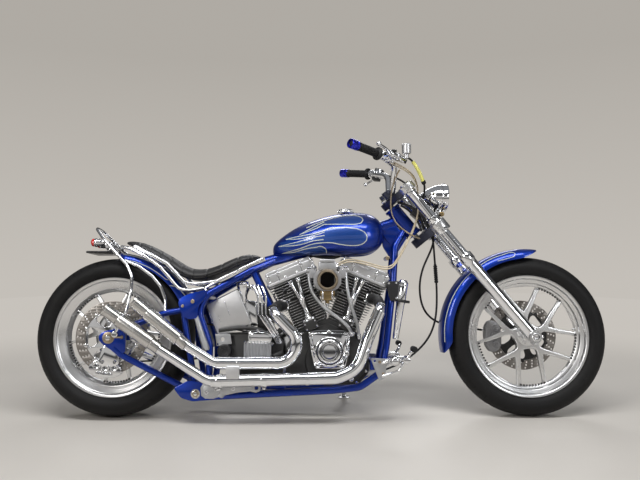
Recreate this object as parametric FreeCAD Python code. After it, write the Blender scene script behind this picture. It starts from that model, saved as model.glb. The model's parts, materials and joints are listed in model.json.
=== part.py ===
# A long, low custom motorcycle leaning on its side stand.
# Every piece is drawn on the upright machine and then leaned over once, as it parks.
# Upright machine: +X forward, +Y to the rider's left, +Z up, millimetres.
import FreeCAD, Part
import functools
import math
import os

# driving dimensions, in millimetres and degrees
lean_angle = 7.0
rake_angle = 39.5
neck_x = 350.11
neck_z = 809.07
neck_offset = 85.0
rear_axle_x = -856.5

# front wheel
front_tyre_radius = 328.0
front_crown_radius = 54.0
front_crown_half_angle = 72.0
front_tyre_side_y = 51.5
front_tyre_side_height = 28.0
front_rim_half_width = 44.0
front_seat_radius = 240.0
front_flange_height = 10.0
front_barrel_depth = 26.0
front_hub_radius = 36.0
front_hub_half_length = 40.0
front_spoke_half_depth = 15.0
front_spoke_plane_y = 0.0
front_dish_depth = 9.0
front_dish_y = 20.0

# rear wheel
rear_tyre_radius = 325.0
rear_crown_radius = 112.0
rear_crown_half_angle = 48.0
rear_tyre_side_y = 90.0
rear_tyre_side_height = 36.0
rear_rim_half_width = 78.0
rear_seat_radius = 230.0
rear_flange_height = 13.0
rear_barrel_depth = 24.0
rear_hub_radius = 44.0
rear_hub_half_length = 66.0
rear_spoke_half_depth = 15.0
rear_spoke_plane_y = -34.0
rear_dish_depth = 10.0

# spokes shared by both wheels
spoke_count = 5
spoke_first_angle = 23.0
fork_window_shares = ((0.517, 0.029), (0.73, 0.185), (0.966, 0.307))
gap_window_shares = ((0.273, 0.127), (0.322, 0.166), (0.976, 0.21))
window_corner_share = 0.048
flange_thickness = 6.0
flange_depth = 15.0
barrel_slope = 14.0
bore_clearance = 0.05

# axles
axle_radius = 12.0
front_axle_end_inset = 9.0
rear_axle_half_length = 156.0
axle_nut_radius = 19.0
axle_nut_length = 14.0
rear_nut_radius = 24.0

# brake discs, one on each wheel
disc_radius = 146.0
disc_inner_radius = 106.0
disc_thickness = 5.0
disc_carrier_radius = 112.0
disc_carrier_thickness = 6.0
disc_carrier_arms = 5
disc_arm_angle = 28.0
disc_carrier_margin = 11.0
front_disc_y = 58.0
rear_disc_y = -94.0

# belt and rear pulley, on the left side
pulley_radius = 112.0
pulley_inner_radius = 92.0
pulley_y = 106.0
pulley_half_width = 13.0
pulley_flange = 4.0
pulley_flange_width = 3.0
belt_thickness = 6.0
belt_half_width = 9.0
belt_gap = 0.4
gear_pulley_radius = 46.0
gear_shaft_x = -300.0
gear_shaft_z = 286.0

# fork
leg_spacing_half = 105.0
slider_radius = 26.5
slider_top = 428.0
slider_bottom = -30.0
stanchion_radius = 20.5
stanchion_top = 812.0
cover_radius = 29.0
slider_collar_radius = 30.0
slider_collar_length = 26.0
leg_axle_boss_radius = 25.0
leg_axle_boss_half = 20.0
top_tree_height = 97.0
top_tree_thickness = 33.0
lower_tree_height = -106.0
lower_tree_thickness = 40.0
tree_clamp_radius = 36.0
tree_hub_radius = 40.0
tree_arm_width = 54.0
stem_radius = 13.0
stem_nut_radius = 21.0
stem_nut_height = 14.0
riser_radius = 19.0
riser_height = 34.0
riser_y = 50.0
riser_forward = 14.0
fork_gap = 0.05

# handlebar, right half; the left half mirrors it
bar_radius = 12.7
bar_bend_radius = 55.0
bar_route_from_neck = (
    (-54.1, 0.0, 107.9), (-52.1, 62.0, 107.9), (-48.1, 118.0, 220.9), (-114.1, 213.0, 246.9),
    (-234.1, 312.0, 268.9))
grip_radius = 17.5
grip_start_share = 0.1
grip_flange_radius = 23.0
grip_flange_length = 6.0
grip_cap_length = 14.0
grip_cap_radius = 19.0
bar_gap = 0.05

# hand controls
perch_length = 34.0
perch_radius = 19.0
perch_inset_share = 0.84
brake_cylinder_end = (332.0, -160.0, 1047.0)
brake_cylinder_radius = 15.0
fluid_cup_centre = (341.0, -166.0)
fluid_cup_z = (1068.0, 1112.0)
fluid_cup_radius = 19.0
fluid_cup_neck_radius = 9.0
lever_radius = 6.0
lever_ball_radius = 10.0
lever_pivot = (44.0, 8.0)
lever_spread = 66.0
lever_reach_share = 0.5
lever_tip_rise = (12.0, -44.0)

# headlamp
lamp_centre_from_neck = (185.9, 0.0, 101.9)
lamp_radius = 56.0
lamp_rim_length = 20.0
lamp_body_length = 84.0
lamp_tail_radius = 20.0
lamp_nose_radius = 8.0
lamp_nose_length = 14.0
lamp_bulge_along_share = 0.5
lamp_bulge_share = 0.88
lamp_droop = 4.0
lamp_glass_radius = 50.0
lamp_glass_bulge = 9.0
lamp_glass_gap = 0.5
lamp_stem_radius = 10.0
lamp_stem_foot_from_neck = (83.9, 0.0, -67.1)
lamp_stem_knee_from_neck = (149.9, 0.0, -3.1)
lamp_stem_top_from_neck = (147.9, 0.0, 58.9)

# front fender
fender_tyre_gap = 35.0
fender_skirt_depth = 43.0
fender_half_width = 68.0
fender_sheet = 3.0
fender_corner = 42.0
fender_front_angle = 83.0
fender_rear_angle = 191.0
fender_lug_along = 320.0

# rear fender
rear_fender_tyre_gap = 21.0
rear_fender_skirt_depth = 37.0
rear_fender_half_width = 101.0
rear_fender_front_angle = 26.0
rear_fender_rear_angle = 88.0
rear_fender_corner = 34.0
fender_air = 0.25

# brake calipers
caliper_radii = (94.0, 158.0)
caliper_half_angle = 27.0
caliper_covers = 3
caliper_cover_spacing = 16.0
caliper_cover_radius = 15.0
caliper_cover_height = 4.0
front_caliper_angle = 182.0
front_caliper_half_width = 22.0
caliper_stay_along = 80.0
caliper_slot = 9.0
rear_caliper_angle = 262.0
rear_caliper_half_width = 20.0
rear_caliper_bracket_from_axle = ((-11.5, -25.8), (22.5, -25.8), (40.5, -109.8), (-43.5, -109.8))
rear_caliper_bracket_y = (-124.0, -116.0)

# main frame
neck_half_length = 75.0
neck_radius = 31.0
neck_cup_radius = 36.0
neck_cup_length = 12.0
stem_bore_radius = 13.05
tube_radius = 14.5
bend_radius = 70.0
backbone_radius = 24.0
backbone_route_from_neck = ((-20.1, 0.0, 2.9),)
backbone_route_rest = ((60.0, 0.0, 716.0), (-236.0, 0.0, 636.0))
seat_tube_route = (
    (-200.0, -30.0, 640.0), (-290.0, -78.0, 600.0), (-470.0, -122.0, 496.0), (-498.0, -134.0, 430.0),
    (-452.0, -134.0, 300.0), (-452.0, -134.0, 190.0), (-464.0, -134.0, 104.0))
down_tube_route_from_neck = ((1.9, -14.0, -39.1), (-41.1, -36.0, -109.1))
down_tube_route_rest = (
    (296.0, -56.0, 540.0), (262.0, -92.0, 300.0), (240.0, -112.0, 190.0), (150.0, -122.0, 130.0),
    (40.0, -125.0, 118.0), (-470.0, -134.0, 94.0))
gusset_outline_from_neck = (
    (15.9, -67.1), (-40.1, -9.1), (-100.1, -27.1), (-88.1, -109.1), (-50.1, -169.1))
gusset_half_thickness = 9.0
gusset_bolt_from_neck = (-73.1, -157.1)
gusset_bolt_radius = 9.0
gusset_bolt_half_length = 40.0
cross_tube_radius = 12.0
cross_tubes = ((247.0, 108.0, 218.0), (-430.0, 134.0, 98.0), (-470.0, 122.0, 490.0), (-290.0, 78.0, 596.0))
casting_outline = (
    (-580.0, 470.0), (-548.0, 496.0), (-462.0, 518.0), (-470.0, 486.0), (-496.0, 452.0), (-500.0, 402.0),
    (-560.0, 418.0))
casting_y = (-158.0, -146.5)
pivot_casting_outline = (
    (-590.0, 130.0), (-531.0, 160.0), (-446.0, 150.0), (-440.0, 84.0), (-514.0, 78.0), (-560.0, 92.0))
pivot_casting_y = (-158.0, -146.5)
pivot_bolt = (-502.0, 108.0)
pivot_bolt_radius = 15.0
pivot_bolt_half_length = 164.0
engine_mount_front = (215.0, 0.0, 214.0)
engine_mount_size = (40.0, 190.0, 40.0)
engine_mount_rear = (-180.0, 0.0, 128.0)
engine_mount_rear_size = (60.0, 236.0, 16.0)
frame_trim = ((-508.0, -146.0, 414.0), (-462.0, -146.0, 276.0))
frame_trim_radii = (10.0, 16.0)
seat_post = ((-282.0, -64.0, 590.0), (-214.0, -80.0, 452.0))

# swingarm
swing_radius = 13.0
swing_upper_from_axle = ((18.5, -135.0, 20.2),)
swing_upper_rest = ((-640.0, -133.0, 422.0), (-530.0, -133.0, 443.0))
swing_front = ((-560.0, -133.0, 436.0), (-546.0, -133.0, 348.0), (-502.0, -133.0, 108.0))
swing_lower_from_axle = ((20.5, -135.0, -41.8), (54.5, -134.0, -69.8))
swing_lower_rest = ((-567.0, -133.0, 138.0), (-502.0, -133.0, 108.0))
swing_cross = (-530.0, 443.0)
swing_sleeve_radius = 24.0
swing_sleeve_half_length = 146.0
axle_plate_outline_from_axle = (
    (-41.5, 1.2), (-27.5, 18.2), (34.5, 36.2), (68.5, 18.2), (68.5, -57.8), (50.5, -69.8), (14.5, -49.8),
    (-23.5, -19.8))
axle_plate_y = (-144.0, -130.0)

# engine: crank centre, and the two cylinders in a narrow V
crank_x = 22.0
crank_z = 227.0
cylinder_angle = 22.5
case_outline_from_crank = (
    (-172.0, -71.0), (-134.0, -95.0), (128.0, -95.0), (170.0, -45.0), (170.0, 43.0), (120.0, 124.0),
    (6.0, 173.0), (-6.0, 173.0), (-120.0, 124.0), (-172.0, 63.0))
case_half_width = 76.0
sump_round_radius = 96.0
sump_round_half_width = 88.0
barrel_start = 160.0
barrel_end = 282.0
barrel_radius = 54.0
barrel_fin_radius = 68.0
barrel_fin_count = 10
fin_thickness = 4.0
head_end = 368.0
head_core = (150.0, 118.0)
head_fin_count = 6
head_fin_small = (168.0, 136.0)
head_fin_large = (212.0, 150.0)
head_fin_corner = 26.0
rocker_height = 19.0
rocker_sizes = ((224.0, 146.0), (212.0, 134.0), (192.0, 112.0))
rocker_corner = 24.0
rocker_offset = 4.0

# cam cover and pushrod tubes, right side
cam_outline_from_crank = (
    (-79.0, 125.0), (94.0, 125.0), (94.0, 55.0), (44.0, -27.0), (-46.0, -27.0), (-68.0, 79.0))
cam_corner = 16.0
cam_y = (-112.0, -76.0)
timing_centre_from_crank = (9.0, 44.0)
timing_radius = 44.0
timing_y = -120.0
tappet_blocks_from_crank = ((-68.0, 149.0), (74.0, 149.0))
tappet_size = (62.0, 30.0, 58.0)
pushrod_radius = 8.0
pushrod_y = -98.0
pushrod_lines_from_crank = (
    ((-62.0, 165.0), (-154.0, 325.0)), ((-78.0, 165.0), (-122.0, 339.0)), ((71.0, 165.0), (148.0, 329.0)),
    ((78.0, 165.0), (120.0, 339.0)))
pushrod_cup_radius = 12.0
pushrod_cup_length = 16.0

# carburettor, mouth to the right
carb_centre_from_crank = (-1.0, 329.0)
carb_outer_radius = 38.0
carb_bore_radius = 30.0
carb_mouth_y = -178.0
carb_horn_y = -140.0
carb_body_size = (66.0, 70.0, 74.0)
carb_body_y = -118.0
carb_top_radius = 34.0
carb_top_from_crank = (361.0, 395.0)
carb_bowl_radius = 30.0
carb_bowl_from_crank = (241.0, 293.0)
carb_stem_radius = 9.0
carb_stem_from_crank = (181.0, 243.0)
manifold_route_from_crank = ((-1.0, -90.0, 321.0), (-1.0, -40.0, 293.0))
manifold_radius = 24.0
manifold_arm_x = 62.0
manifold_arm_from_crank = 281.0

# breather hoses, held by their fittings at both ends
hose_radius = 7.0
hose_rear_route = (
    (-54.0, -80.0, 600.0), (-54.0, -122.0, 560.0), (-44.0, -136.0, 508.0), (2.0, -136.0, 448.0),
    (70.0, -132.0, 402.0), (116.0, -126.0, 362.0), (120.0, -100.0, 330.0))
hose_front_route = (
    (96.0, -80.0, 604.0), (97.0, -124.0, 566.0), (102.0, -134.0, 510.0), (120.0, -130.0, 440.0),
    (146.0, -116.0, 372.0), (150.0, -76.0, 320.0))
hose_fitting_radius = 10.0
hose_fitting_length = 16.0

# gearbox behind the engine
gearbox_outline = (
    (-404.0, 232.0), (-380.0, 158.0), (-196.0, 150.0), (-158.0, 182.0), (-158.0, 300.0), (-206.0, 346.0),
    (-392.0, 338.0))
gearbox_y = (-80.0, 92.0)
gearbox_side_outline = ((-318.0, 236.0), (-206.0, 236.0), (-206.0, 344.0), (-318.0, 344.0))
gearbox_side_y = (-110.0, -80.0)
gearbox_rib_count = 4
gearbox_rib = 5.0
gearbox_round = (-396.0, 270.0)
gearbox_round_radius = 27.0
gearbox_round_y = (-112.0, -80.0)

# primary cover, left side
primary_y = (97.0, 152.0)
primary_front_radius = 96.0
primary_rear = (-300.0, 268.0, 84.0)
primary_inset = 14.0
primary_lip = 10.0
primary_disc_radius = 52.0
primary_disc_height = 8.0
pulley_window_gap = 6.0

# oil tank under the seat
oil_outline = ((-479.0, 458.0), (-345.0, 524.0), (-286.0, 378.0), (-424.0, 322.0))
oil_corner = 22.0
oil_half_width = 88.0
oil_neck_outline = ((-346.0, 482.0), (-268.0, 470.0), (-262.0, 371.0), (-330.0, 360.0))
oil_filler = ((-322.0, -60.0, 490.0), (-326.0, -72.0, 552.0))
oil_filler_radii = (12.0, 22.0)
oil_cap_length = 10.0
oil_line_radius = 5.0
oil_line_spacing = 15.0
oil_line_route = (
    (-284.0, -98.0, 500.0), (-268.0, -112.0, 470.0), (-250.0, -112.0, 424.0), (-234.0, -112.0, 388.0),
    (-196.0, -108.0, 335.0), (-176.0, -84.0, 300.0))

# fuel tank: x, bottom z, top z, half width, height of the widest line
tank_sections = (
    (-204.0, 668.0, 702.0, 18.0), (-172.0, 662.0, 739.0, 52.0), (-110.0, 661.0, 782.0, 88.0),
    (-30.0, 660.0, 816.0, 118.0), (60.0, 659.0, 840.0, 134.0), (140.0, 659.0, 849.0, 137.0),
    (200.0, 662.0, 845.0, 126.0), (240.0, 684.0, 824.0, 98.0), (258.0, 718.0, 790.0, 56.0))
tank_side_shares = ((0.0, 0.48), (0.1, 0.88), (0.4, 1.0), (0.8, 0.78))
tank_tunnel_half_width = 36.0
tank_tunnel_top = 34.0
tank_mounts = ((200.0, 766.0), (-100.0, 673.0))
tank_mount_radius = 9.0
tank_mount_gap = 0.3
tank_cap_centre = (104.0, 0.0)
tank_cap_radius = 32.0
tank_cap_base = 826.0
tank_cap_top = 862.0

# seat: x, bottom z, top z, half width
seat_sections = (
    (-825.0, 712.0, 722.0, 34.0), (-778.0, 690.0, 720.0, 74.0), (-732.0, 668.0, 708.0, 88.0),
    (-687.0, 643.0, 686.0, 96.0), (-641.0, 612.0, 661.0, 99.0), (-592.0, 574.0, 629.0, 99.0),
    (-545.0, 553.0, 602.0, 106.0), (-478.0, 557.0, 600.0, 120.0), (-416.0, 580.0, 622.0, 130.0),
    (-348.0, 606.0, 657.0, 126.0), (-300.0, 630.0, 666.0, 104.0), (-258.0, 646.0, 664.0, 62.0))
seat_side_shares = ((0.0, 0.62), (0.45, 1.0), (0.86, 0.72))

# chrome rails along both sides of the seat
rail_radius = 8.5
rail_y = 113.0
rail_bend_radius = 40.0
upper_rail_line = (
    (-770.0, 696.0), (-700.0, 660.0), (-636.0, 625.0), (-560.0, 546.0), (-517.0, 541.0), (-434.0, 552.0),
    (-336.0, 598.0), (-246.0, 643.0))
lower_rail_line = (
    (-824.0, 694.0), (-790.0, 688.0), (-733.0, 660.0), (-660.0, 608.0), (-614.0, 556.0), (-584.0, 521.0),
    (-540.0, 514.0), (-476.0, 524.0), (-430.0, 552.0))
rail_y_shares_upper = (0.9, 1.0, 1.0, 1.0, 1.0, 1.05, 1.14, 1.0)
rail_y_shares_lower = (0.86, 0.92, 1.0, 1.0, 1.0, 1.0, 1.0, 1.0, 1.05)
fender_stay_route_from_axle = ((50.5, -107.8, 311.2), (64.5, -109.0, 304.2), (106.5, -114.0, 288.2))
fender_stay_route_rest = (
    (-692.0, -118.0, 573.0), (-656.0, -120.0, 530.0), (-635.0, -124.0, 478.0), (-632.0, -136.0, 426.0))
stay_radius = 6.5
rail_stud = ((-476.0, -113.0, 522.0), (-471.0, -122.0, 496.0))
rail_cross = ((-760.0, 104.0, 684.0), (-452.0, 106.0, 516.0))

# sissy bar loop, right half up to the top
sissy_radius = 6.5
sissy_bend_radius = 34.0
sissy_route_from_axle = (
    (26.5, -151.0, 14.2), (69.5, -151.0, 106.2), (84.5, -140.0, 186.2), (82.5, -124.0, 246.2),
    (58.5, -113.0, 292.2), (14.5, -110.0, 338.2), (-49.5, -84.0, 402.2), (-89.5, -42.0, 446.2),
    (-99.5, 0.0, 454.2))
sissy_cross_from_axle = (-15.5, 98.0, 368.2)
sissy_foot_from_axle = (26.5, 14.2)
sissy_foot_radius = 14.0

# tail lamps and plate tray
tail_lamp_y = 44.0
tail_lamp_centre_from_axle = (-101.5, 390.2)
tail_lamp_radius = 17.0
tail_lamp_length = 46.0
tail_lamp_tip_radius = 7.0
tail_lens_length = 9.0
tail_lens_radius = 15.0
tail_bar_radius = 6.0
tail_bar_share = 0.9
tail_bracket_outline_from_axle = ((-59.5, 386.2), (-27.5, 386.2), (-11.5, 350.2), (-43.5, 342.2))
tail_bracket_half = 70.0
plate_centre_from_axle = (-65.5, 0.0, 345.2)
plate_size = (108.0, 180.0, 3.0)

# exhausts, right side
pipe_radius = 20.5
pipe_bend_radius = 62.0
muffler_neck_radius = 24.0
muffler_neck_length = 26.0
muffler_radius = 29.5
muffler_tip_radius = 21.0
muffler_tip_bore = 17.0
muffler_tip_depth = 60.0
rear_pipe_route = (
    (-150.0, -60.0, 500.0), (-196.0, -130.0, 470.0), (-190.0, -176.0, 425.0), (-88.0, -178.0, 318.0),
    (-112.0, -178.0, 236.0), (-240.0, -178.0, 230.0), (-428.0, -178.0, 229.0), (-537.0, -190.0, 298.0))
rear_muffler_line = ((-537.0, -190.0, 298.0), (-697.0, -190.0, 427.0), (-749.0, -190.0, 470.0))
front_pipe_route = (
    (186.0, -60.0, 512.0), (228.0, -110.0, 496.0), (232.0, -158.0, 458.0), (176.0, -176.0, 318.0),
    (136.0, -182.0, 205.0), (54.0, -184.0, 172.0), (-165.0, -186.0, 165.0), (-448.0, -188.0, 160.0),
    (-645.0, -190.0, 284.0))
front_muffler_line = ((-645.0, -190.0, 286.0), (-809.0, -190.0, 401.0), (-863.0, -190.0, 440.0))
muffler_taper = 16.0
port_flange_radius = 30.0
port_flange_length = 9.0
clamp_radius = 27.0
clamp_length = 22.0
clamp_places = ((-405.0, -188.0, 161.0), (-230.0, -186.0, 164.0))
pipe_plate_outline = ((-410.0, 214.0), (-326.0, 214.0), (-326.0, 176.0), (-410.0, 176.0))
pipe_plate_y = (-184.0, -176.0)

# cast arm that carries both exhausts
arm_outline = (
    (-486.0, 158.0), (-440.0, 150.0), (-330.0, 146.0), (-262.0, 162.0), (-238.0, 140.0), (-262.0, 116.0),
    (-340.0, 106.0), (-452.0, 90.0), (-484.0, 100.0))
arm_y = (-167.0, -158.5)
arm_hole = (-262.0, 128.0)
arm_hole_radius = 8.0
arm_boss_radius = 16.0
arm_boss_y = (-170.0, -152.0)
arm_post = ((-400.0, -167.0, 106.0), (-400.0, -134.0, 100.0))
arm_post_radius = 12.0

# forward controls
control_plate_outline = ((190.0, 246.0), (258.0, 244.0), (246.0, 168.0), (224.0, 158.0))
control_plate_y = (-158.0, -146.0)
control_hole = (207.0, 236.0)
control_hole_radius = 5.0
control_post_radius = 13.0
control_post = ((238.0, -110.0, 206.0), (238.0, -150.0, 206.0))
peg_radius = 14.0
peg_rib_radius = 19.0
peg_rib_count = 5
peg_rib_length = 9.0
peg_line = ((272.0, -158.0, 240.0), (272.0, -292.0, 246.0))
pedal_radius = 6.5
pedal_route = (
    (236.0, -164.0, 176.0), (300.0, -168.0, 196.0), (352.0, -176.0, 276.0), (352.0, -252.0, 286.0))
pedal_pad_radius = 12.0
pedal_pad_length = 52.0
master_size = (64.0, 34.0, 36.0)
master_centre = (296.0, -134.0, 238.0)

# chrome canister on the right down tube
canister_top = (336.0, -84.0, 552.0)
canister_ring_share = 0.33
canister_bottom = (299.0, -84.0, 318.0)
canister_radius = 21.0
canister_tail_radius = 10.0
canister_cap = 6.0
canister_bracket_outline = ((256.0, 552.0), (316.0, 552.0), (322.0, 476.0), (300.0, 470.0))
canister_bracket_y = (-92.0, -80.0)
canister_strap = ((302.0, -50.0, 514.0), (331.0, -84.0, 514.0))

# cables and hoses
hose_small_radius = 4.5
brake_hose_route = (
    (330.0, -160.0, 1050.0), (354.0, -152.0, 1062.0), (372.0, -148.0, 1054.0), (396.0, -138.0, 1024.0),
    (424.0, -114.0, 966.0), (428.0, -76.0, 924.0),
    (420.0, -44.0, 872.0), (436.0, -24.0, 812.0), (484.0, -18.0, 757.0), (468.0, -20.0, 690.0),
    (430.0, -18.0, 622.0), (413.0, -8.0, 552.0), (418.0, 14.0, 484.0), (440.0, 44.0, 426.0),
    (490.0, 74.0, 384.0), (556.0, 92.0, 366.0), (622.0, 88.0, 358.0), (676.0, 74.0, 352.0),
    (712.0, 72.0, 346.0))
clutch_cable_route = (
    (266.0, 232.0, 1054.0), (318.0, 188.0, 1046.0), (374.0, 126.0, 1012.0), (412.0, 92.0, 952.0),
    (424.0, 56.0, 884.0),
    (446.0, 28.0, 812.0), (480.0, 22.0, 752.0), (484.0, 24.0, 690.0), (488.0, 28.0, 622.0),
    (494.0, 34.0, 540.0), (494.0, 36.0, 470.0), (488.0, 34.0, 396.0), (462.0, 34.0, 322.0),
    (410.0, 38.0, 262.0), (340.0, 46.0, 212.0), (268.0, 56.0, 180.0), (222.0, 64.0, 166.0),
    (172.0, 73.0, 160.0))
throttle_route = (
    (252.0, -204.0, 1046.0), (300.0, -172.0, 1030.0), (366.0, -122.0, 1012.0), (400.0, -92.0, 968.0),
    (408.0, -66.0, 902.0),
    (406.0, -60.0, 832.0), (380.0, -60.0, 762.0), (346.0, -64.0, 700.0), (310.0, -74.0, 646.0),
    (258.0, -88.0, 618.0), (188.0, -92.0, 624.0), (118.0, -98.0, 634.0), (74.0, -110.0, 618.0),
    (48.0, -114.0, 612.0))
throttle_radius = 3.0
throttle_spacing = 9.0

# side stand, left side
stand_pivot = (78.0, 166.0, 102.0)
stand_foot_x = 108.0
stand_foot_y = 300.0
stand_axis = (0.0, 0.43, 0.9)
stand_radius = 11.0
stand_pin_radius = 8.0
stand_pin_half_length = 26.0
stand_eye_radius = 18.0
stand_eye_half_length = 9.0
stand_lug_radius = 18.0
stand_lug_length = 9.0
stand_gap = 0.4
stand_pin_gap = 0.05
stand_foot_size = (54.0, 36.0, 6.0)
stand_root_gap = 3.0
stand_bend_share = 0.55
stand_bend_out = 12.0

# how arcs join straight runs
run_share = 0.45

LEAN = math.radians(lean_angle)
RAKE = math.radians(rake_angle)
UP = FreeCAD.Vector(-math.sin(RAKE), 0, math.cos(RAKE))
AHEAD = FreeCAD.Vector(math.cos(RAKE), 0, math.sin(RAKE))
SIDE = FreeCAD.Vector(0, 1, 0)
ORIGIN = FreeCAD.Vector(0, 0, 0)

# the fork is as long as the neck's height above the front axle asks
front_hub_z = front_tyre_radius - front_crown_radius + front_crown_radius / math.cos(LEAN)
neck_along_leg = (neck_z - front_hub_z + neck_offset * math.sin(RAKE)) / math.cos(RAKE)
front_hub_x = neck_x + neck_along_leg * math.sin(RAKE) + neck_offset * math.cos(RAKE)
rear_hub_x = rear_axle_x
rear_hub_z = rear_tyre_radius - rear_crown_radius + rear_crown_radius / math.cos(LEAN)
FRONT_HUB = FreeCAD.Vector(front_hub_x, 0, front_hub_z)
REAR_HUB = FreeCAD.Vector(rear_hub_x, 0, rear_hub_z)
NECK = FreeCAD.Vector(neck_x, 0, neck_z)
CRANK = FreeCAD.Vector(crank_x, 0, crank_z)


def moved(anchor, point):
    """A place given from an anchor: (x, z) for an outline, (x, y, z) for a route."""
    if len(point) == 2:
        return (point[0] + anchor.x, point[1] + anchor.z)
    return (point[0] + anchor.x, point[1], point[2] + anchor.z)


# places given from the neck, the rear axle and the crank
lamp_centre = moved(NECK, lamp_centre_from_neck)
lamp_stem_foot = moved(NECK, lamp_stem_foot_from_neck)
lamp_stem_knee = moved(NECK, lamp_stem_knee_from_neck)
lamp_stem_top = moved(NECK, lamp_stem_top_from_neck)
gusset_outline = [moved(NECK, p) for p in gusset_outline_from_neck]
gusset_bolt = moved(NECK, gusset_bolt_from_neck)
backbone_route = [moved(NECK, p) for p in backbone_route_from_neck] + list(backbone_route_rest)
down_tube_route = [moved(NECK, p) for p in down_tube_route_from_neck] + list(down_tube_route_rest)
axle_plate_outline = [moved(REAR_HUB, p) for p in axle_plate_outline_from_axle]
rear_caliper_bracket = [moved(REAR_HUB, p) for p in rear_caliper_bracket_from_axle]
sissy_route = [moved(REAR_HUB, p) for p in sissy_route_from_axle]
sissy_cross = moved(REAR_HUB, sissy_cross_from_axle)
sissy_foot = moved(REAR_HUB, sissy_foot_from_axle)
tail_lamp_centre = moved(REAR_HUB, tail_lamp_centre_from_axle)
tail_bracket_outline = [moved(REAR_HUB, p) for p in tail_bracket_outline_from_axle]
plate_centre = moved(REAR_HUB, plate_centre_from_axle)
swing_upper = [moved(REAR_HUB, p) for p in swing_upper_from_axle] + list(swing_upper_rest)
swing_lower = [moved(REAR_HUB, p) for p in swing_lower_from_axle] + list(swing_lower_rest)
fender_stay_route = [moved(REAR_HUB, p) for p in fender_stay_route_from_axle] + list(fender_stay_route_rest)
case_outline = [moved(CRANK, p) for p in case_outline_from_crank]
cam_outline = [moved(CRANK, p) for p in cam_outline_from_crank]
timing_centre = moved(CRANK, timing_centre_from_crank)
tappet_blocks = [moved(CRANK, p) for p in tappet_blocks_from_crank]
carb_centre = moved(CRANK, carb_centre_from_crank)
pushrod_lines = [[moved(CRANK, p) for p in line] for line in pushrod_lines_from_crank]

fender_radius = front_tyre_radius + fender_tyre_gap
fender_skirt_radius = fender_radius - fender_skirt_depth
rear_fender_radius = rear_tyre_radius + rear_fender_tyre_gap
rear_fender_skirt_radius = rear_fender_radius - rear_fender_skirt_depth
front_flange_radius = front_seat_radius + front_flange_height
front_barrel_radius = front_seat_radius - front_barrel_depth
front_dish_radius = front_barrel_radius - front_dish_depth
front_tyre_side = (front_tyre_side_y, front_seat_radius + front_tyre_side_height)
rear_flange_radius = rear_seat_radius + rear_flange_height
rear_barrel_radius = rear_seat_radius - rear_barrel_depth
rear_dish_radius = rear_barrel_radius - rear_dish_depth
rear_tyre_side = (rear_tyre_side_y, rear_seat_radius + rear_tyre_side_height)
front_axle_half_length = leg_spacing_half - front_axle_end_inset
primary_front = (crank_x, crank_z, primary_front_radius)
manifold_route = [moved(CRANK, p) for p in manifold_route_from_crank]
manifold_arm_z = crank_z + manifold_arm_from_crank


def vec(point):
    return FreeCAD.Vector(*point)


def flip(points):
    """The same points on the other side of the machine."""
    return [(x, -y, z) for x, y, z in points]


def flipped(shape):
    return shape.mirror(ORIGIN, SIDE)


def join(shapes):
    if len(shapes) == 1:
        return shapes[0]
    return shapes[0].multiFuse(shapes[1:]).removeSplitter()


def rod(start, end, radius):
    start, end = vec(start), vec(end)
    return Part.makeCylinder(radius, (end - start).Length, start, end - start)


def taper(start, end, start_radius, end_radius):
    start, end = vec(start), vec(end)
    return Part.makeCone(start_radius, end_radius, (end - start).Length, start, end - start)


def cross(x, half, z, radius):
    """A straight rod across the machine."""
    return rod((x, -half, z), (x, half, z), radius)


def block(centre, size):
    cx, cy, cz = centre
    lx, ly, lz = size
    return Part.makeBox(lx, ly, lz, FreeCAD.Vector(cx - lx / 2, cy - ly / 2, cz - lz / 2))


def soft_block(centre, size, corner):
    """A box whose four upright edges are rounded."""
    box = block(centre, size)
    upright = [e for e in box.Edges if abs(e.tangentAt(e.FirstParameter).z) > 0.9]
    return box.makeFillet(corner, upright)


def plate(outline, y_range, corner=0):
    """A flat plate in the side view, between two sideways planes."""
    low, high = y_range
    points = [FreeCAD.Vector(x, low, z) for x, z in outline]
    solid = Part.Face(Part.makePolygon(points + [points[0]])).extrude(FreeCAD.Vector(0, high - low, 0))
    if corner:
        sideways = [e for e in solid.Edges if abs(e.tangentAt(e.FirstParameter).y) > 0.9]
        solid = solid.makeFillet(corner, sideways)
    return solid


def turned(profile, centre):
    """A ring about the sideways axis, from (sideways, radius) pairs."""
    points = [FreeCAD.Vector(0, y, r) for y, r in profile]
    solid = Part.Face(Part.makePolygon(points + [points[0]])).revolve(ORIGIN, SIDE, 360)
    solid.translate(centre)
    return solid


def route_wire(points, bend=None):
    """Straight runs joined by tangent arcs."""
    points = [vec(p) for p in points]
    edges = []
    start = points[0]
    for i in range(1, len(points) - 1):
        before = points[i] - points[i - 1]
        after = points[i + 1] - points[i]
        turn = before.getAngle(after)
        reach = run_share * min(before.Length, after.Length)
        radius = reach / math.tan(turn / 2)
        if bend:
            radius = min(radius, bend)
        cut = radius * math.tan(turn / 2)
        before.normalize()
        after.normalize()
        inward = after - before
        inward.normalize()
        first = points[i] - before * cut
        last = points[i] + after * cut
        middle = points[i] + inward * (radius / math.cos(turn / 2) - radius)
        edges.append(Part.LineSegment(start, first).toShape())
        edges.append(Part.Arc(first, middle, last).toShape())
        start = last
    edges.append(Part.LineSegment(start, points[-1]).toShape())
    return Part.Wire(edges)


def tube(points, radius, bend=None):
    wire = route_wire(points, bend)
    start = vec(points[0])
    ring = Part.Wire(Part.Circle(start, vec(points[1]) - start, radius).toShape())
    return wire.makePipeShell([ring], True, False)


def both_sides(points, radius, bend=None):
    return [tube(points, radius, bend), tube(flip(points), radius, bend)]


def polar(centre, radius, degrees):
    """A point in the side view at an angle above forward."""
    turn = math.radians(degrees)
    return centre + FreeCAD.Vector(radius * math.cos(turn), 0, radius * math.sin(turn))


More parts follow.
